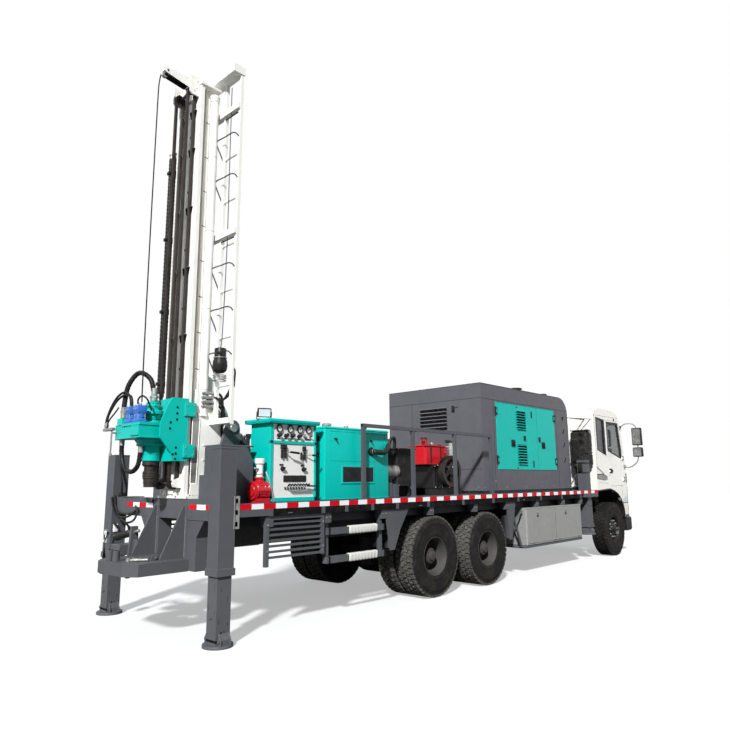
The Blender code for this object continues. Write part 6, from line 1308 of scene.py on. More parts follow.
def hood_dress():
    """Seams, folded edges, rear louvres, roof caps, lifting slots and bolts of the sound hood, and a black
    strip of painted shadow along its foot.
    """
    grey, gap, metal, black = blanks(4)
    rear, front = 0.085, 3.265
    top = 3.176
    for side in (RIGHT, LEFT):
        face = side * HOOD_HALF
        box(gap, (rear + 0.001, front - 0.02), layer(face, side, SEAM), (2.917, 2.922), 0.0)
        box(gap, mid(0.463, 0.004), layer(face, side, SEAM), (1.405, 2.918), 0.0)
        box(gap, mid(2.76, 0.004), layer(face, side, SEAM), (1.405, 2.918), 0.0)
        # A black strip along the foot of each side: painted shadow over the deck.
        box(black, (rear, front), layer(face, side, 0.003), (1.3505, 1.398), 0.0)
        box(grey, (rear - 0.002, front + 0.002), layer(face, side, 0.006), (1.398, 1.41), 0.002)
        bolts(metal, [(x, face, 1.448) for x in (0.135, 0.802, 1.47, 2.05, 2.513, 3.15)],
              (0, side, 0), 0.01, 0.006)
        bolts(metal, [(0.455, face, z) for z in (1.546, 1.56)], (0, side, 0), 0.009, 0.005)
        for z, flip in ((2.749, 1), (2.509, -1), (2.241, -1), (1.946, -1)):
            x = 3.05
            tri = [(x - 0.045, z + 0.04), (x + 0.045, z + 0.048),
                   (x - 0.02, z - 0.04)] if flip > 0 else [(x - 0.046, z - 0.048), (x - 0.006, z - 0.048),
                    (x + 0.05, z + 0.044), (x + 0.022, z + 0.044)]
            slab(gap, tri, "XZ", layer(face, side, 0.0015))
        for i in range(26):
            z = 1.5 + 0.052 * i
            rod(gap, front - 0.022, (face, face + side * 0.0015), z, 0.0085, 8)
    for y in (-0.9995, 0.9995):
        rod(grey, rear + 0.002, y, (1.41, top - 0.004), 0.006, 8)
        rod(grey, (rear, front - 0.32), y, top - 0.002, 0.006, 8)
    rod(grey, rear + 0.002, (-0.999, 0.999), top - 0.002, 0.006, 8)
    skin = (rear - 0.0012, rear)
    box(gap, skin, (-0.998, 0.998), (2.922, 2.927), 0.0)
    box(gap, skin, mid(0.463, 0.005), (1.405, 2.923), 0.0)
    box(gap, skin, (-0.998, 0.46), (1.744, 1.749), 0.0)
    # The same painted shadow strip along the foot of the rear face.
    box(black, (rear - 0.003, rear), (-0.998, 0.998), (1.3505, 1.398), 0.0)
    for i in range(6):
        z = 2.455 + 0.066 * i
        box(gap, (rear - 0.0135, rear - 0.0118), (-0.306, 0.266), (z + 0.002, z + 0.017), 0.0)
        lip = [(rear - 0.012, z + 0.034), (rear - 0.026, z + 0.016), (rear - 0.022, z + 0.014),
               (rear - 0.012, z + 0.024)]
        slab(grey, lip, "XZ", (-0.312, 0.272), 0.0)
        box(gap, (rear - 0.0012, rear), (-0.31, 0.27), (z - 0.032, z), 0.0)
    box(black, (rear - 0.02, rear - 0.001), (-0.478, -0.42), (2.722, 2.829), 0.005)
    box(black, (rear - 0.028, rear - 0.018), (-0.466, -0.432), (2.742, 2.79), 0.004)
    bolts(metal, [(rear, y, 1.46) for y in (-0.9, -0.45, 0.0, 0.45, 0.9)], REARWARD, 0.01, 0.006)
    lathe(black, [(0.0, 0.098), (0.12, 0.094), (0.128, 0.084), (0.128, 0.068), (0.052, 0.062), (0.05, 0.0),
                  (0.07, 0.0), (0.07, -0.004), (0.0, -0.004)],
          Matrix.Translation((1.77, -0.7, top + 0.004)), 28)
    for p in circle_of((1.77, -0.7, top + 0.035), 0.06, 4, "XY", 0.5):
        bar(black, p - Vector((0, 0, 0.035)), p + Vector((0, 0, 0.034)), 0.008, 8)
    lathe(black, [(0.0, 0.094), (0.058, 0.094), (0.068, 0.084), (0.07, 0.06), (0.064, 0.054), (0.064, 0.0),
                  (0.082, 0.0), (0.082, -0.004), (0.0, -0.004)],
          Matrix.Translation((2.88, -0.7, top + 0.004)), 28)
    for p in circle_of((2.88, -0.7, top + 0.03), 0.066, 12, "XY"):
        block(gap, (p.x, p.y, p.z), (0.01, 0.01, 0.034), 0.0)
    for x in (0.45, 2.55):
        for y in (-0.55, 0.55):
            slab(grey, [(x - 0.06, top - 0.004), (x + 0.06, top - 0.004), (x + 0.03, top + 0.07),
                        (x - 0.03, top + 0.07)], "XZ", mid(y, 0.014), 0.003)
            rod(gap, x, (y - 0.0078, y + 0.0078), top + 0.038, 0.018, 16)
    for x in (1.05, 1.75):
        box(grey, mid(x, 0.5), (-0.3, 0.62), (top - 0.001, top + 0.01), 0.004)
    piece("hood_edges", grey, HOOD_GREY)
    piece("hood_seams", gap, DARK_GAP_AND_PAINTED_SHADE)
    piece("hood_bolts", metal, CAST_AND_PAINTED_SHADE)
    piece("hood_caps_and_painted_foot_shadow", black, BLACK)


def hood_doors():
    """Louvres with dark slots, hinges, latches, stops and folded rims on the two teal doors."""
    face = HOOD_DOOR_FACE
    for name, x0, x1, hinge, away, latch, handle in (("rear", 0.546, 1.6, 0.527, 1, 1.475, 1.073),
            ("front", 1.606, 2.66, 2.679, -1, 2.026, 2.172)):
        teal, gap, black = blanks(3)
        for x in ((x0, x0 + 0.006), (x1 - 0.006, x1)):
            box(teal, x, (face - 0.0035, face), (1.746, 2.894), 0.001)
        for z in ((1.746, 1.752), (2.888, 2.894)):
            box(teal, (x0, x1), (face - 0.0035, face), z, 0.001)
        if name == "rear":
            for low, high in ((2.453, 2.805), (1.833, 2.205)):
                pitch = (high - low) / 8
                for i in range(8):
                    z = low + i * pitch
                    box(gap, (1.232, 1.528), (face - 0.0136, face - 0.0118), (z, z + 0.026), 0.0)
                    box(gap, (1.222, 1.538), (face - 0.0014, face), (z - 0.014, z + 0.034), 0.0)
            for low, high in ((1.745 + 0.7, 2.895 - 0.08), (1.825, 2.205)):
                pitch = (high - low) / 8
                for i in range(8):
                    z = low + i * pitch
                    lip = [(face - 0.012, z + 0.55 * pitch), (face - 0.024, z + 0.3 * pitch),
                           (face - 0.021, z + 0.24 * pitch), (face - 0.01, z + 0.34 * pitch)]
                    slab(teal, lip, "YZ", (1.228, 1.532), 0.0)
            rod(black, 1.241, (face - 0.0035, face + 0.001), 2.85, 0.017, 16)
            rod(black, 1.203, (face - 0.0035, face + 0.001), 1.774, 0.017, 16)
        else:
            for z in (2.75, 1.851):
                box(black, mid(1.77, 0.034), (face - 0.012, face + 0.001), mid(z, 0.12), 0.004)
            box(gap, mid(1.962, 0.003), (face - 0.0012, face), (1.752, 2.888), 0.0)
        box(black, mid(handle, 0.125), (face - 0.016, face + 0.001), mid(2.203, 0.12), 0.008, 2)
        box(gap, mid(handle, 0.078), (face - 0.0175, face - 0.015), mid(2.2, 0.07), 0.0)
        box(black, mid(handle, 0.026), (face - 0.022, face - 0.015), mid(2.206, 0.06), 0.003)
        box(black, mid(latch, 0.054), (face - 0.0215, face), (2.263, 2.347), 0.003)
        for z in (1.905, 2.735):
            rod(black, hinge, -1.0123, (z - 0.075, z + 0.075), 0.0125, 14, 0.002)
            box(black, (hinge, hinge + away * 0.062), (-1.012, -1.0035), mid(z, 0.125), 0.002)
            bolts(black, [(hinge + away * 0.04, -1.012, z + d) for d in (-0.035, 0.035)],
                  RIGHTWARD, 0.007, 0.004)
        body = "canopy_door_" + name
        piece("hood_door_rims_" + name, teal, TEAL, body)
        piece("hood_door_slots_" + name, gap, DARK_GAP_AND_PAINTED_SHADE, body)
        piece("hood_door_fittings_" + name, black, BLACK, body)


# Under the deck

def weld_line(bm, start, end, beads, radius=0.006):
    """A row of overlapping beads, as a hand-laid weld."""
    start = Vector(start)
    end = Vector(end)
    for i in range(beads):
        p = start.lerp(end, (i + 0.5) / beads)
        bmesh.ops.create_icosphere(bm, subdivisions=1, radius=radius, matrix=Matrix.Translation(p))


def leg_welds(bm, x, y, reach, z):
    """Smooth weld beads down the four corners of a square leg."""
    for sx in (-1, 1):
        for sy in (-1, 1):
            rod(bm, x + sx * reach, y + sy * reach, (z[0], z[1]), 0.0042, 8)


def under_deck():
    """Wrapped guard bars, step treads, locker latches and seams, tank straps, gussets and welds, and a dark
    strip of painted shadow on the deck's sides under the tape.
    """
    grey, foam, dark, metal, silver = blanks(5)
    for side in (RIGHT, LEFT):
        outer = side * (SIDE - 0.02)
        for z in (1.0, 0.68):
            y = outer - side * 0.03
            for x in (-3.615, -2.655):
                block(dark, (x + 0.04, y, z), (0.03, 0.053, 0.078), 0.003)
            box(foam, (-3.255, -2.75), mid(y, 0.066), mid(z, 0.092), 0.018, 3)
            for i in range(9):
                x = -3.22 + 0.056 * i
                block(foam, (x, y, z), (0.05, 0.071, 0.097), 0.018, 2, turn=(0.1, "Y"))
        left, right = -4.485, -3.685
        for i in range(8):
            z = 0.77 + i * 0.058
            for k in range(26):
                x = left + 0.045 + 0.029 * k
                rod(grey, x, outer - side * 0.022, (z + 0.021, z + 0.0255), 0.006, 5)
        for x in (left, right):
            bolts(metal, [(x, outer - side * 0.002, z) for z in (0.85, 1.12)], (0, side, 0), 0.011, 0.008)
        # A dark strip over the deck's side below the tape: painted shadow, with grey struts standing over it.
        box(dark, (-4.45, 3.22), (side * SIDE, side * (SIDE + 0.0015)), (1.2152, 1.2895), 0.0)
        for x in (-4.46, -3.7, -3.32, -2.86, -2.38, -1.72, -0.88, -0.05, 0.72, 1.5, 2.3, 3.1):
            box(grey, mid(x, 0.055), (side * (SIDE - 0.01), side * (SIDE + 0.004)), (1.215, 1.29), 0.001)
        for x in (-3.6, -2.62, -1.62, -0.52, 0.4, 1.4, 2.4, 3.15):
            bolts(metal, [(x + dx, outer, 1.16) for dx in (-0.028, 0.028)], (0, side, 0), 0.009, 0.007)
            slab(grey, [(outer - side * 0.01, 1.215), (outer - side * 0.2, 1.215),
                        (outer - side * 0.01, 1.105)], "YZ", mid(x, 0.01), 0.001)
    face = -1.23
    box(silver, (0.979, 3.101), (face - 0.0035, face + 0.004), (1.074, 1.1015), 0.002)
    for x0, x1 in ((1.005, 2.03), (2.046, 3.078)):
        box(silver, (x0, x1), (face - 0.006, face + 0.001), (0.512, 1.066), 0.004)
    box(dark, (2.03, 2.046), (face - 0.001, face), (0.5, 1.07), 0.0)
    for x in (1.378, 2.446):
        rod(metal, x, (face - 0.005, face - 0.016), 1.01, 0.024, 20, 0.003)
        box(dark, mid(x, 0.012), (face - 0.018, face - 0.014), (0.985, 1.0), 0.0)
        box(dark, mid(x, 0.05), (face - 0.01, face - 0.004), mid(0.952, 0.036), 0.004)
    for x0, x1 in ((1.15, 1.18), (1.92, 1.95), (2.12, 2.15), (2.9, 2.93)):
        rod(metal, (x0, x1 + 0.04), face - 0.008, 0.525, 0.009, 10)
    for z in (0.62, 0.78, 0.94):
        box(silver, (0.981, 0.987), (-1.2, -0.76), mid(z, 0.01), 0.002)
    box(grey, (0.96, 3.12), (-1.215, -0.74), (0.44, 0.4795), 0.004)
    for x in (1.02, 3.06):
        box(grey, mid(x, 0.04), (-0.7195, -0.46), (0.5, 0.54), 0.003)
    bar(grey, (0.585, -1.19, 1.11), (0.925, -1.15, 0.47), 0.02, 12)
    bar(grey, (0.925, -1.19, 1.06), (0.7, -1.12, 0.8), 0.016, 12)
    rod(grey, (0.925, 0.985), -1.15, 0.47, 0.02, 12)
    for x in (1.25, 2.25):
        pts = [(x, y, z) for y, z in ((0.47, 1.102), (1.1, 1.104), (1.178, 1.072), (1.2125, 1.0),
                (1.2125, 0.65), (1.18, 0.575), (1.11, 0.5475), (0.5, 0.5475))]
        strip(metal, pts, (0.05, 0.004))
        bolts(metal, [(x, 1.2145, 0.83)], LEFTWARD, 0.014, 0.012)
    rod(metal, 1.75, 0.83, (1.098, 1.13), 0.05, 24, 0.006)
    beam_low = 1.192
    for y in (MAST_Y - 0.3, MAST_Y + 0.3):
        for dy in (-0.0118, 0.0118):
            weld_line(metal, (-5.088, y + dy, 0.8), (-5.088, y + dy, 1.316), 46, 0.0055)
            weld_line(grey, (-5.1, y + dy, 0.7865), (-5.35, y + dy, 0.7865), 24, 0.0055)
    weld_line(grey, (-5.087, MAST_Y - 0.3, beam_low - 0.004), (-5.087, -1.06, beam_low - 0.004), 52, 0.005)
    piece("under_deck_plates", grey, FRAME_GREY)
    piece("bar_wraps", foam, FOAM_WHITE)
    piece("under_deck_gaps_and_painted_shadow", dark, DARK_GAP_AND_PAINTED_SHADE)
    piece("under_deck_bolts", metal, CAST_AND_PAINTED_SHADE)
    piece("locker_doors", silver, BOX_SILVER)


def rear_gear():
    """Leg welds and collars, foot lugs, platform gear, breakout cylinder with its hoses and straps."""
    grey, dark, metal, black, strap = blanks(5)
    for side in (RIGHT, LEFT):
        x, y = REAR_JACK[0], side * REAR_JACK[1]
        leg_welds(grey, x, y, 0.0925, (0.735, 1.912))
        collar(grey, x, y, 0.198, (1.906, 1.9195))
        collar(grey, x, y, 0.217, (0.724, 0.733))
        weld_line(grey, (x - 0.1, y - 0.1, 0.734), (x - 0.1, y + 0.1, 0.734), 22, 0.005)
        weld_line(grey, (x - 0.1, y - 0.1, 0.734), (x + 0.1, y - 0.1, 0.734), 22, 0.005)
        box(grey, (-4.936, -4.9), (side * 1.052, side * 1.072), (1.195, 1.395), 0.004)
    for name, side in (("right", RIGHT), ("left", LEFT)):
        x, y = REAR_JACK[0], side * REAR_JACK[1]
        foot = bmesh.new()
        lathe(foot, [(0.1515, 0.003), (0.1515, 0.022), (0.146, 0.03), (0.06, 0.031), (0.06, 0.028),
                     (0.14, 0.003), (0.1515, 0.003)], Matrix.Translation((x, y, 0.001)), 40)
        for sy in (-1, 1):
            out = y + sy * 0.09
            lug = [(out - 0.012, 0.03), (out + sy * 0.05, 0.03), (out + sy * 0.05, 0.078),
                   (out + sy * 0.022, 0.128), (out - sy * 0.004, 0.136)]
            for dx in (-0.056, 0.056):
                slab(foot, lug, "YZ", mid(x + dx, 0.012), 0.002)
            rod(foot, (x - 0.07, x + 0.07), out + sy * 0.022, 0.07, 0.012, 12, 0.002)
            bolts(foot, [(x - 0.062, out + sy * 0.022, 0.07)], REARWARD, 0.018, 0.012)
        for sx in (-1, 1):
            weld_line(foot, (x + sx * 0.083, y - 0.08, 0.032), (x + sx * 0.083, y + 0.08, 0.032), 20, 0.005)
        piece("foot_lugs_" + name, foot, FRAME_GREY, "rear_jack_" + name)
        marks = bmesh.new()
        for dx, z0, z1, width in ((-0.02, 0.13, 0.15, 0.016), (0.012, 0.135, 0.16, 0.008),
                (0.05, 0.2, 0.222, 0.007), (-0.052, 0.22, 0.275, 0.004), (0.04, 0.4, 0.47, 0.003),
                (-0.03, 0.52, 0.56, 0.004)):
            box(marks, (x - 0.0824, x - 0.0816), mid(y - dx, width), (z0 + 0.12, z1 + 0.12), 0.0)
            box(marks, mid(x + dx, width), (y + RIGHT * 0.0816, y + RIGHT * 0.0824), (z0, z1), 0.0)
        box(marks, (x - 0.0824, x - 0.0816), mid(y, 0.164), (0.052, 0.076), 0.0)
        box(marks, mid(x, 0.164), (y + RIGHT * 0.0816, y + RIGHT * 0.0824), (0.052, 0.076), 0.0)
        piece("leg_marks_" + name, marks, DARK_GAP_AND_PAINTED_SHADE, "rear_jack_" + name)
    m = MAST_Y
    for sx, sy in ((-5.66, -0.11), (-5.66, -0.25)):
        rod(grey, sx, sy, (0.784, 0.891), 0.0352, 24, 0.003)
        rod(dark, sx, sy, (0.8905, 0.8925), 0.027, 20)
        weld_line(grey, (sx - 0.03, sy - 0.03, 0.787), (sx + 0.03, sy - 0.03, 0.787), 8, 0.005)
    for k in range(3):
        lathe(grey, [(0.152 + 0.016 * k, 0.0), (0.152 + 0.016 * k, 0.01 - 0.003 * k),
                     (0.166 + 0.016 * k, 0.01 - 0.003 * k), (0.166 + 0.016 * k, 0.0), (0.152 + 0.016 * k, 0.0)],
              Matrix.Translation((SPINDLE_X, m, 0.7845)), 32)
    bar(metal, (-5.6, m - 0.115, 0.8), (-5.44, m - 0.22, 0.8), 0.015, 12, 0.003)
    rod(metal, -5.6, m - 0.115, (0.786, 0.822), 0.024, 16, 0.004)
    rod(metal, -5.47, -0.323, (0.786, 0.812), 0.052, 24, 0.004)
    rod(dark, -5.47, -0.323, (0.812, 0.8135), 0.03, 20)
    for yy in (-0.43, -0.48):
        box(grey, (-5.4, -5.3), mid(yy, 0.014), (0.784, 0.83), 0.003)
    rod(metal, -5.35, (-0.415, -0.5), 0.812, 0.01, 12)
    rod(dark, -5.64, m - 0.2, (0.6645, 0.64), 0.024, 16, 0.004)
    start = Vector((-5.3, 0.105, 1.035))
    end = Vector((-5.32, 0.485, 0.965))
    along = (end - start).normalized()
    for t, r in ((0.05, 0.047), (0.1, 0.044), (0.3, 0.0425), (0.335, 0.046), (0.372, 0.044)):
        bar(black, start + along * (t - 0.01), start + along * (t + 0.01), r, 24, 0.003)
    bar(black, start + along * 0.05, start + along * 0.372, 0.0408, 24, 0.002)
    bar(metal, start - along * 0.105, start + along * 0.02, 0.018, 16, 0.003)
    bar(black, start + along * 0.1 + Vector((0, 0, 0.03)),
        start + along * 0.1 + Vector((-0.01, 0, 0.075)), 0.016, 12, 0.003)
    bar(black, start + along * 0.31 + Vector((0, 0, 0.03)),
        start + along * 0.31 + Vector((-0.01, 0, 0.07)), 0.016, 12, 0.003)
    cheek = [(-5.36, 0.783), (-5.24, 0.783), (-5.262, 1.1), (-5.338, 1.1)]
    for yy in (0.0905, 0.1195):
        slab(grey, cheek, "XZ", mid(yy, 0.004), 0.001)
    slab(grey, [(-5.32, 0.783), (-5.28, 0.783), (-5.29, 0.96), (-5.31, 0.96)], "XZ", (0.02, 0.09), 0.003)
    box(grey, (-5.44, -5.15), (0.15, 0.36), (0.79, 0.905), 0.006, 1)
    box(grey, (-5.15, -5.0855), (0.18, 0.33), (0.8, 0.89), 0.004)
    loops = (((-5.31, 0.2, 1.085), (-5.36, 0.24, 1.15), (-5.34, 0.36, 1.165), (-5.24, 0.42, 1.12),
              (-5.16, 0.4, 1.15), (-5.11, 0.42, 1.26), (-5.1, 0.5, 1.3)), ((-5.32, 0.41, 1.06),
            (-5.38, 0.43, 1.12), (-5.36, 0.5, 1.13), (-5.3, 0.56, 1.06), (-5.3, 0.58, 0.94), (-5.33, 0.6, 0.8),
            (-5.36, 0.58, 0.64)), ((-5.1, 0.44, 1.265), (-5.1, 0.6, 1.215), (-5.1, 0.78, 1.205),
            (-5.105, 0.92, 1.225), (-5.11, 0.99, 1.3), (-5.11, 1.02, 1.42)), ((-5.12, 0.46, 1.24),
            (-5.12, 0.62, 1.18), (-5.12, 0.8, 1.165), (-5.12, 0.95, 1.19), (-5.125, 1.03, 1.29),
            (-5.13, 1.06, 1.4)))
    for path in loops:
        curve(black, path, 40, 0.0125, 10)
    tail = [(-5.385, 0.56, 1.02), (-5.4, 0.59, 0.96), (-5.395, 0.61, 0.86), (-5.385, 0.62, 0.74),
            (-5.38, 0.615, 0.58)]
    strip(black, route(tail, 26), (0.006, 0.04))
    box(strap, (-5.402, -5.378), (0.575, 0.625), (0.9, 1.03), 0.004, turn=(0.1, "X"))
    box(strap, (-5.36, -5.31), (0.47, 0.5), (1.02, 1.11), 0.006)
    box(black, (-5.415, -5.345), (0.59, 0.68), (0.555, 0.7), 0.01)
    rod(metal, -5.385, (0.56, 0.64), 1.035, 0.01, 10)
    bolts(grey, [(-5.085, y, z) for y in (-1.02, -0.7, 0.14, 0.5, 1.0) for z in (1.225, 1.27)],
          REARWARD, 0.0085, 0.005)
    box(dark, (-5.0862, -5.0848), mid(0.118, 0.04), (1.325, 1.395), 0.0)
    box(grey, (-5.095, -4.93), (0.62, 0.86), (1.3995, 1.409), 0.003)
    rod(black, -5.02, 1.045, (1.4, 1.455), 0.026, 16, 0.006)
    curve(black, [(-5.02, 1.035, 1.45), (-5.04, 1.0, 1.56), (-5.05, 1.03, 1.72), (-5.05, 1.055, 1.88),
                  (-5.02, 1.06, 1.96)], 40, 0.012, 10)
    curve(black, [(-5.05, 1.055, 1.44), (-5.08, 1.03, 1.3), (-5.09, 0.98, 1.21),
                  (-5.06, 0.93, 1.17)], 24, 0.012, 10)
    for y in (MAST_Y - 0.49, MAST_Y + 0.49):
        box(grey, (-4.897, -4.463), mid(y, 0.305), (1.955, 1.974), 0.003)
        weld_line(grey, (-4.897, y - 0.151, 1.36), (-4.897, y - 0.151, 1.95), 50, 0.005)
        weld_line(grey, (-4.897, y + 0.151, 1.36), (-4.897, y + 0.151, 1.95), 50, 0.005)
    for side in (RIGHT, LEFT):
        yy = MAST_Y + side * 0.38
        rod(metal, -4.565, (yy, yy + side * 0.024), 2.18, 0.048, 28, 0.004)
        bolts(metal, [(-4.565 + dx, yy + side * 0.022, 2.18 + dz) for dx, dz in ((0.028, 0), (-0.028, 0))],
              (0, side, 0), 0.009, 0.007)
    piece("rear_frame_edges", grey, FRAME_GREY)
    piece("rear_frame_holes", dark, DARK_GAP_AND_PAINTED_SHADE)
    piece("rear_frame_pins", metal, CAST_AND_PAINTED_SHADE)
    piece("breakout_hoses", black, BLACK)
    piece("breakout_straps", strap, PANEL_WHITE)
    raise_ = bmesh.new()
    base = Vector((-3.865, m, 1.45))
    eye = Vector((-4.705, m, 2.66))
    along = (eye - base).normalized()
    for side in (RIGHT, LEFT):
        off = Vector((0, side * 0.12, 0))
        for t, r in ((0.045, 0.062), (0.79, 0.064), (0.76, 0.062), (0.4, 0.0565)):
            p = base + off + along * t
            bar(raise_, p - along * 0.012, p + along * 0.012, r, 28, 0.003)
        for t in (0.09, 0.74):
            p = base + off + along * t + Vector((0.045, 0, 0.035))
            bar(raise_, p, p + Vector((0.035, 0, 0.025)), 0.018, 12, 0.003)
        p, q = base + off + along * 0.09, base + off + along * 0.74
        lift = Vector((0.062, 0, 0.045))
        bar(raise_, p + lift, q + lift, 0.01, 10)
    piece("raise_cylinder_rings", raise_, FRAME_GREY, "raise_barrels")


def deck_dress():
    """Chequer pattern near the deck's edge, lashing rings, rail fittings and deck hoses."""
    grey, dark, part = blanks(3)
    for shift, angle in ((0.0, math.pi / 4), (0.024, -math.pi / 4)):
        bmesh.ops.create_cube(part, size=1.0, matrix=turned((shift, 0, 0), "Z", angle)
                              @ Matrix.Diagonal((0.03, 0.007, 0.004, 1)))
    mesh = bpy.data.meshes.new("lozenges")
    part.to_mesh(mesh)
    part.free()
    for side in (RIGHT, LEFT):
        for row in range(3):
            y = side * (1.228 - 0.048 * row)
            for k in range(182):
                x = DECK_REAR + 0.04 + 0.048 * k + (0.024 if row % 2 else 0.0)
                if side == RIGHT and -4.6 < x < -1.2 and row > 1:
                    continue
                start = len(grey.verts)
                grey.from_mesh(mesh)
                grey.verts.ensure_lookup_table()
                bmesh.ops.translate(grey, vec=(x, y, DECK_TOP + 0.0005), verts=grey.verts[start:])
    bpy.data.meshes.remove(mesh)
    for side in (RIGHT, LEFT):
        y = side * 1.215
        for i in range(4):
            x = -2.985 + i * 0.98667
            box(grey, mid(x, 0.086), mid(y, 0.066), (1.3503, 1.362), 0.003)
            bolts(grey, [(x + dx, y + dy, 1.362) for dx in (-0.035, 0.035)
                         for dy in (-0.026, 0.026)], UP, 0.006, 0.006)
            weld_line(grey, (x - 0.025, y - 0.024, 1.362), (x + 0.025, y - 0.024, 1.362), 8, 0.004)
            slab(grey, [(x + 0.025, 2.243), (x + 0.07, 2.243), (x + 0.025, 2.19)], "XZ", mid(y, 0.006), 0.001)
        for x in (-3.01, 0.01):
            box(dark, (x - 0.0012, x + 0.0012), mid(y, 0.034), (2.2505, 2.2845), 0.0)
        for x in (-4.2, -1.9, 0.9, 3.2):
            rod(grey, (x - 0.03, x + 0.03), side * 1.2525, 1.238, 0.008, 8)
    low = bmesh.new()
    for y in (-0.4, -0.35, -0.3, 0.25, 0.31):
        curve(low, [(-3.7, y, 1.375), (-3.0, y + 0.03, 1.372), (-2.0, y - 0.02, 1.374), (-1.0, y + 0.02, 1.372),
                    (-0.1, y, 1.374)], 50, 0.019, 8)
    for x0, y0 in ((-4.35, -0.72), (-4.3, -0.62), (-4.28, -0.52)):
        curve(low, [(x0, y0, 1.6), (x0 + 0.03, y0 + 0.04, 1.45), (x0 + 0.15, y0 + 0.12, 1.376),
                    (x0 + 0.4, y0 + 0.2, 1.374), (-3.6, -0.34, 1.374)], 34, 0.015, 8)
    piece("deck_chequer", grey, FRAME_GREY)
    piece("rail_ends", dark, DARK_GAP_AND_PAINTED_SHADE)
    piece("deck_hoses", low, HOSE_RUBBER)


# Cab

def corners(a, b):
    """The four corners of a rectangle between two pairs of coordinates."""
    return [(a[0], b[0]), (a[1], b[0]), (a[1], b[1]), (a[0], b[1])]


def frame_ring(bm, inner, outer, plane, across):
    """A flat border between two outlines with as many points each."""
    count = len(inner)
    for i in range(count):
        j = (i + 1) % count
        slab(bm, [inner[i], inner[j], outer[j], outer[i]], plane, across)


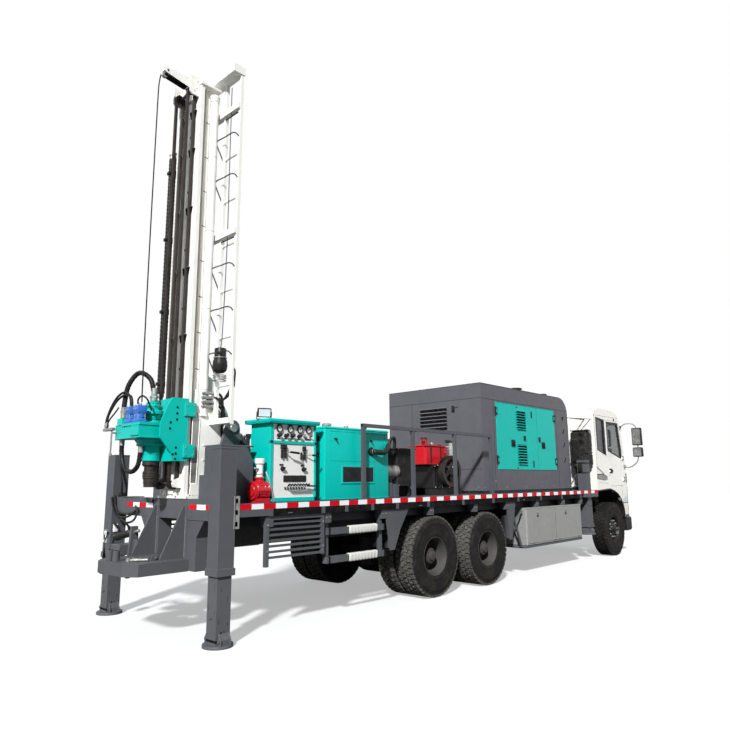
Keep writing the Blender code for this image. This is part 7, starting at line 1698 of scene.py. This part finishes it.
def cab_dress():
    """Trims, seams, arch liners, grille, lamps, wipers and glass of the cab, its doors and mirrors."""
    black, trim, clear, marker, white, panes, gap = blanks(7)
    quarter = [(4.195, 2.16), (4.535, 2.08), (4.535, 2.8), (4.195, 2.83)]
    quarter_out = [(4.145, 2.165), (4.585, 2.058), (4.59, 2.825), (4.15, 2.865)]
    arch = [(4.035, 1.33), (4.662, 1.36), (4.86, 1.322), (5.062, 1.25), (5.2, 1.15), (5.302, 1.02),
            (5.345, 0.89), (5.362, 0.76)]
    for side in (RIGHT, LEFT):
        face = side * CAB_HALF
        frame_ring(black, quarter, quarter_out, "XZ", layer(face, side, 0.0025))
        slab(panes, quarter, "XZ", (face - side * 0.02, face - side * 0.026))
        points = [Vector((x, face - side * 0.004, z)) for x, z in arch]
        for a, b in zip(points, points[1:]):
            bar(black, a, b, 0.016, 10)
        liner = arch + [(x - 0.012 if i > 3 else x, z - 0.014) for i, (x, z) in reversed(list(enumerate(arch)))]
        slab(black, liner, "XZ", (side * 0.7, side * 1.196))
        slab(trim, [(4.04, 1.655), (4.3, 1.668), (4.535, 1.61), (4.545, 1.57), (4.42, 1.548), (4.04, 1.58)],
             "XZ", layer(face, side, 0.014), 0.004)
        slab(black, [(4.04, 1.669), (4.3, 1.68), (4.545, 1.618), (4.535, 1.608), (4.3, 1.666), (4.04, 1.655)],
             "XZ", layer(face, side, 0.016))
        slab(trim, [(4.066, 1.83), (4.42, 1.68), (4.405, 1.664), (4.066, 1.79)], "XZ", layer(face, side, 0.003))
        for x0, z0, x1, z1 in ((4.1, 1.5, 4.6, 1.478), (5.45, 1.452, 5.585, 1.44), (4.05, 2.9, 5.35, 2.905),
                (4.08, 2.93, 4.09, 1.7), (5.3, 1.43, 5.33, 1.02)):
            dx, dz = (0.0, 0.002) if abs(x1 - x0) > 0.05 else (0.002, 0.0)
            line = [(x0 - dx, z0 - dz), (x1 - dx, z1 - dz), (x1 + dx, z1 + dz), (x0 + dx, z0 + dz)]
            slab(gap, line, "XZ", layer(face, side, SEAM))
        slab(gap, [(5.2, 1.046), (5.575, 1.052), (5.575, 1.066), (5.205, 1.06)], "XZ", layer(face, side, 0.002))
        slab(clear, [(5.35, 1.09), (5.56, 1.08), (5.575, 1.18), (5.42, 1.215), (5.35, 1.17)], "XZ",
             layer(face, side, 0.006), 0.003)
        slab(black, [(5.56, 1.48), (5.592, 1.48), (5.594, 1.7), (5.562, 1.68)], "XZ",
             layer(face, side, 0.01), 0.003)
        slab(black, [(5.095, 2.836), (5.12, 2.836), (5.112, 2.886), (5.098, 2.886)], "XZ",
             layer(face, side, 0.016), 0.004)
        slab(black, [(5.42, 0.765), (5.585, 0.765), (5.585, 0.8), (5.405, 0.8)], "XZ", layer(face, side, 0.002))
        slab(black, [(5.572, 0.765), (5.584, 0.765), (5.6005, 1.4), (5.59, 1.4)], "XZ",
             (side * 1.17, side * 1.2025))
        box(black, (5.385, 5.5), (side * 1.02, side * 1.19), (0.47, 0.5), 0.004)
        box(clear, (5.7495, 5.753), (side * 0.765, side * 1.075), (0.57, 0.69), 0.0)
        for y in (0.84, 1.0):
            rod(clear, (5.752, 5.756), side * y, 0.63, 0.05, 24, 0.003)
        slab(clear, [(5.59, 0.93), (5.6, 0.93), (5.61, 1.16), (5.6, 1.16)], "XZ",
             (side * 0.8, side * 1.16), 0.004)
        slab(black, [(5.588, 0.905), (5.598, 0.905), (5.606, 1.185), (5.596, 1.185)], "XZ",
             (side * 0.775, side * 1.185), 0.004)
        wiper = side * 0.15
        for k in range(2):
            y = wiper + side * 0.5 * k
            bar(black, (5.6, y, 2.04), (5.56, y + side * 0.3, 2.17), 0.009, 8)
            bar(black, (5.583, y + side * 0.02, 2.11), (5.53, y + side * 0.52, 2.235), 0.012, 8)
        box(trim, (5.6, 5.7365), (side * 0.4, side * 0.72), (0.515, 0.615), 0.004)
        for x in (4.6, 4.95):
            box(white, mid(x, 0.26), layer(face, side, 0.006), mid(2.906, 0.01), 0.003)
        bar(white, (4.1, side * 1.12, 3.046), (5.0, side * 1.12, 3.052), 0.012, 10)
        slab(black, [(4.531, 2.085), (4.5345, 2.085), (4.5345, 2.795), (4.531, 2.795)], "XZ",
             (face - side * 0.019, face))
    slab(black, [(5.59, 0.98), (5.606, 0.98), (5.619, 1.4), (5.604, 1.79), (5.59, 1.79)], "XZ",
         (-0.72, 0.72), 0.005)
    for i in range(7):
        z = 1.045 + 0.115 * i
        x = 5.608 if z < 1.2 else (5.617 if z < 1.55 else 5.612)
        box(trim, (x - 0.006, x + 0.01), (-0.68, 0.68), mid(z, 0.03), 0.004)
    slab(black, [(5.58, 1.88), (5.6, 1.88), (5.592, 2.045), (5.575, 2.045)], "XZ", (-1.12, 1.12), 0.004)
    box(gap, (5.734, 5.7362), (-0.55, 0.55), (0.655, 0.7), 0.0)
    box(white, (5.735, 5.739), (-0.26, 0.26), (0.52, 0.63), 0.003)
    for y in (-0.85, -0.45, 0.0, 0.45, 0.85):
        rod(marker, 5.27, (y - 0.05, y + 0.05), 3.015, 0.02, 10, 0.005)
    slab(panes, corners((-0.546, 0.546), (2.204, 2.716)), "YZ", (4.052, 4.058))
    frame_ring(black, corners((-0.55, 0.55), (2.2, 2.72)), corners((-0.58, 0.58), (2.17, 2.75)),
               "YZ", (4.0305, 4.036))
    frame_ring(black, corners((-1.1, 1.1), (2.075, 2.082)), corners((-1.13, 1.13), (2.045, 2.085)),
               "YZ", (5.572, 5.59))
    bar(gap, (3.262, -0.985, 2.8), (4.04, -1.01, 2.81), 0.011, 10)
    bar(trim, (3.262, -0.985, 2.8), (4.24, -1.19, 2.815), 0.009, 10)
    for y in (-0.9, 0.9):
        box(white, (4.36, 4.98), mid(y, 0.03), (3.0515, 3.058), 0.004)
    box(white, (4.4, 4.95), (-0.35, 0.35), (3.047, 3.085), 0.02, 3)
    piece("cab_black_trim", black, BLACK)
    piece("cab_grey_trim", trim, CAST_AND_PAINTED_SHADE)
    piece("cab_lamps", clear, LAMP_CLEAR)
    piece("cab_markers", marker, LAMP_RED)
    piece("cab_white_trim", white, CAB_WHITE)
    piece("cab_seams", gap, DARK_GAP_AND_PAINTED_SHADE)
    piece("cab_panes", panes, PANE_DARK)
    for name, side in (("right", RIGHT), ("left", LEFT)):
        face = side * CAB_DOOR_FACE
        window = [(4.71, 2.18), (5.37, 2.04), (5.37, 2.19), (5.27, 2.75), (4.71, 2.75)]
        border = [(4.682, 2.158), (5.428, 1.995), (5.428, 2.19), (5.318, 2.795), (4.688, 2.795)]
        seal = bmesh.new()
        frame_ring(seal, window, border, "XZ", layer(face, side, 0.003))
        slab(seal, [(5.3695, 2.045), (5.3695, 2.19), (5.2695, 2.745), (5.2635, 2.745), (5.3635, 2.19),
                    (5.3635, 2.045)], "XZ", (face - side * 0.017, face))
        box(seal, mid(4.775, 0.15), (face + side * 0.0005, face - side * 0.004), mid(1.738, 0.1), 0.0)
        lathe(seal, [(0.0, 0.0), (0.052, 0.0), (0.06, 0.003), (0.0, 0.003)], turned((4.77, face, 1.735), "X",
                side * -math.pi / 2) @ Matrix.Diagonal((1.3, 0.85, 1, 1)), 24)
        box(seal, mid(4.762, 0.142), (face + side * 0.018, face + side * 0.03), mid(1.74, 0.044), 0.008, 2)
        rod(seal, 4.7, (face, face + side * 0.004), 1.65, 0.012, 14)
        for z in (1.56, 2.02):
            rod(seal, 5.458, side * 1.2123, (z - 0.046, z + 0.046), 0.0135, 12, 0.002)
        piece("cab_door_seal_" + name, seal, BLACK, "cab_door_" + name)
        pane_ = bmesh.new()
        slab(pane_, window, "XZ", (face - side * 0.018, face - side * 0.024))
        piece("cab_door_glass_" + name, pane_, GLASS, "cab_door_" + name)
        inner = bmesh.new()
        box(inner, (4.72, 5.36), (face - side * 0.041, face - side * 0.047), (1.5, 2.0), 0.006)
        box(inner, (4.85, 5.25), (face - side * 0.047, face - side * 0.085), mid(1.86, 0.05), 0.01, 2)
        piece("cab_door_lining_" + name, inner, BLACK, "cab_door_" + name)
        glass, rims = blanks(2)
        y = side * 1.53
        for low, high in ((2.3, 2.68), (2.05, 2.25)):
            box(rims, (5.486, 5.584), mid(y, 0.206), (low - 0.003, high + 0.003), 0.022, 3)
            box(glass, (5.4835, 5.4862), mid(y, 0.168), (low + 0.018, high - 0.018), 0.0)
        bar(rims, (5.42, side * 1.203, 2.665), (5.42, side * 1.232, 2.735), 0.02, 12, 0.004)
        piece("mirror_rims_" + name, rims, BLACK)
        piece("mirror_glass_" + name, glass, STEEL)


def intake_dress():
    """Ribbed intake box with its clamp, round ports, elbow and straps, and the front jacks' fittings."""
    black, grey, hole, metal = blanks(4)
    for z in (2.489, 2.337):
        lathe(hole, [(0.0, 0.0), (0.026, 0.0), (0.026, 0.0025), (0.0, 0.0025)],
              turned((3.7355, -1.046, z), "Y", -math.pi / 2), 20)
        lathe(black, [(0.026, 0.0), (0.044, 0.0), (0.04, 0.012), (0.03, 0.014), (0.026, 0.0)],
              turned((3.7355, -1.046, z), "Y", -math.pi / 2), 24)
    for i in range(17):
        z = 2.15 + 0.0245 * i
        box(black, (3.775, 3.972), (-1.1745, -1.16), mid(z, 0.013), 0.003)
    for i in range(7):
        x = 3.795 + 0.027 * i
        box(black, mid(x, 0.009), (-1.173, -1.16), (1.86, 2.07), 0.002)
    for i in range(5):
        y = -1.125 + 0.03 * i
        box(black, (3.727, 3.74), mid(y, 0.01), (2.06, 2.16), 0.003)
    for z in (2.105, 1.945):
        box(metal, (3.729, 3.981), (-1.171, -0.794), mid(z, 0.02), 0.004)
    box(black, (3.75, 3.962), (-1.173, -1.13), (2.562, 2.58), 0.008, 2)
    box(black, (3.745, 3.965), (-1.15, -0.81), (2.556, 2.574), 0.01, 2)
    slab(black, [(3.738, 2.4), (3.7, 2.36), (3.7, 1.92), (3.738, 1.88)], "XZ", (-0.98, -0.86), 0.006)
    curve(black, [(3.86, -0.98, 1.66), (3.86, -0.98, 1.52), (3.9, -0.9, 1.42), (4.02, -0.7, 1.36),
                  (4.1, -0.5, 1.24)], 34, 0.06, 20)
    for z in (1.6, 1.5):
        rod(metal, 3.862, -0.98, (z - 0.01, z + 0.01), 0.065, 24, 0.002)
    for name, side in (("right", RIGHT), ("left", LEFT)):
        x, y = FRONT_JACK[0], side * FRONT_JACK[1]
        leg_welds(grey, x, y, 0.088, (0.705, 1.945))
        collar(grey, x, y, 0.19, (1.944, 1.9535))
        box(black, (x - 0.104, x - 0.091), mid(y + 0.02, 0.09), (1.69, 1.9), 0.006)
        box(black, (x - 0.14, x - 0.103), mid(y + 0.02, 0.07), (1.72, 1.87), 0.012, 2)
        for z in (1.7, 1.89):
            block(metal, (x, y, z), (0.194, 0.194, 0.03), 0.003)
        collar(grey, x, y, 0.208, (0.69, 0.702))
        bolts(metal, [(x + dx, y + side * 0.0905, z) for dx in (-0.06, 0.06) for z in (1.05, 1.26)],
              (0, side, 0), 0.011, 0.008)
        foot = bmesh.new()
        lathe(foot, [(0.1515, 0.003), (0.1515, 0.022), (0.144, 0.031), (0.06, 0.031), (0.06, 0.028),
                     (0.14, 0.003), (0.1515, 0.003)], Matrix.Translation((x, y, 0.491)), 36)
        box(foot, mid(x, 0.04), mid(y, 0.2), (0.52, 0.56), 0.004)
        piece("front_foot_lugs_" + name, foot, FRAME_GREY, "front_jack_" + name)
        curve(black, [(x - 0.05, y - side * 0.095, 1.7), (x - 0.1, y - side * 0.14, 1.62),
                      (x - 0.16, y - side * 0.2, 1.48), (x - 0.22, y - side * 0.3, 1.375)], 24, 0.011, 8)
    piece("intake_ribs", black, BLACK)
    piece("intake_ports", hole, DARK_GAP_AND_PAINTED_SHADE)
    piece("intake_clamps", metal, RIM_DARK)
    piece("front_jack_edges", grey, FRAME_GREY)


console()
tank()
filter_dress()
engine_dress()
pump_dress()
hood_dress()
hood_doors()
under_deck()
rear_gear()
deck_dress()
cab_dress()
intake_dress()


# Camera, floor and light

def studio():
    """The photograph's view, a pale floor with the rig's shadow, and soft daylight."""
    yaw = math.radians(46.85)
    pitch = math.radians(10.42)
    roll = math.radians(-0.39)
    ahead = Vector((math.sin(yaw) * math.cos(pitch), math.cos(yaw) * math.cos(pitch), math.sin(pitch)))
    level = Vector((math.cos(yaw), -math.sin(yaw), 0.0))
    up = level.cross(ahead)
    right = math.cos(roll) * level + math.sin(roll) * up
    up = math.cos(roll) * up - math.sin(roll) * level
    data = bpy.data.cameras.new("camera")
    data.sensor_width = 36.0
    data.lens = 30.74
    data.clip_end = 200.0
    camera = bpy.data.objects.new("camera", data)
    camera.matrix_world = Matrix((
        (right.x, up.x, -ahead.x, -8.742),
        (right.y, up.y, -ahead.y, -6.649),
        (right.z, up.z, -ahead.z, 1.590),
        (0, 0, 0, 1)))
    bpy.context.scene.collection.objects.link(camera)
    bpy.context.scene.camera = camera

    bm = bmesh.new()
    bmesh.ops.create_circle(bm, cap_ends=True, segments=64, radius=60.0)
    mesh = bpy.data.meshes.new("floor")
    bm.to_mesh(mesh)
    bm.free()
    floor = bpy.data.objects.new("floor", mesh)
    bpy.context.scene.collection.objects.link(floor)
    pale = bpy.data.materials.new("pale_floor")
    pale.use_nodes = True
    surface = pale.node_tree.nodes["Principled BSDF"]
    floor_net = Net(pale.node_tree)
    seen = pale.node_tree.nodes.new("ShaderNodeLightPath").outputs["Is Camera Ray"]
    floor_net.link(floor_net.blend(seen, (0.2, 0.2, 0.2, 1), (0.52, 0.52, 0.52, 1)),
                   surface.inputs["Base Color"])
    surface.inputs["Emission Color"].default_value = (1, 1, 1, 1)
    floor_net.link(floor_net.times(seen, 0.42), surface.inputs["Emission Strength"])
    surface.inputs["Roughness"].default_value = 0.9
    surface.inputs["Specular IOR Level"].default_value = 0.0
    mesh.materials.append(pale)

    world = bpy.data.worlds.new("daylight")
    bpy.context.scene.world = world
    world.use_nodes = True
    net = Net(world.node_tree)
    nodes = world.node_tree.nodes
    sky = nodes["Background"]
    sky.inputs["Color"].default_value = (0.86, 0.92, 1.0, 1)
    sky.inputs["Strength"].default_value = 0.25
    plain = nodes.new("ShaderNodeBackground")
    plain.inputs["Color"].default_value = (1, 1, 1, 1)
    plain.inputs["Strength"].default_value = 1.0
    path = nodes.new("ShaderNodeLightPath")
    seen = net.sum(net.sum(path.outputs["Is Camera Ray"], path.outputs["Is Glossy Ray"], "MAXIMUM"),
                   path.outputs["Is Transmission Ray"], "MAXIMUM")
    mix = nodes.new("ShaderNodeMixShader")
    net.link(seen, mix.inputs[0])
    net.link(sky.outputs[0], mix.inputs[1])
    net.link(plain.outputs[0], mix.inputs[2])
    net.link(mix.outputs[0], nodes["World Output"].inputs["Surface"])

    for label, strength, angle, aim_at in (("sun", 5.35, 4, (1.605, 1.0, -1.316)),
            ("fill", 0.15, 40, (-0.5, 0.8, -0.5))):
        lamp = bpy.data.lights.new(label, "SUN")
        lamp.energy = strength
        lamp.angle = math.radians(angle)
        obj = bpy.data.objects.new(label, lamp)
        obj.rotation_euler = Vector(aim_at).to_track_quat("-Z", "Y").to_euler()
        bpy.context.scene.collection.objects.link(obj)
    bpy.context.scene.view_settings.view_transform = "Standard"


studio()
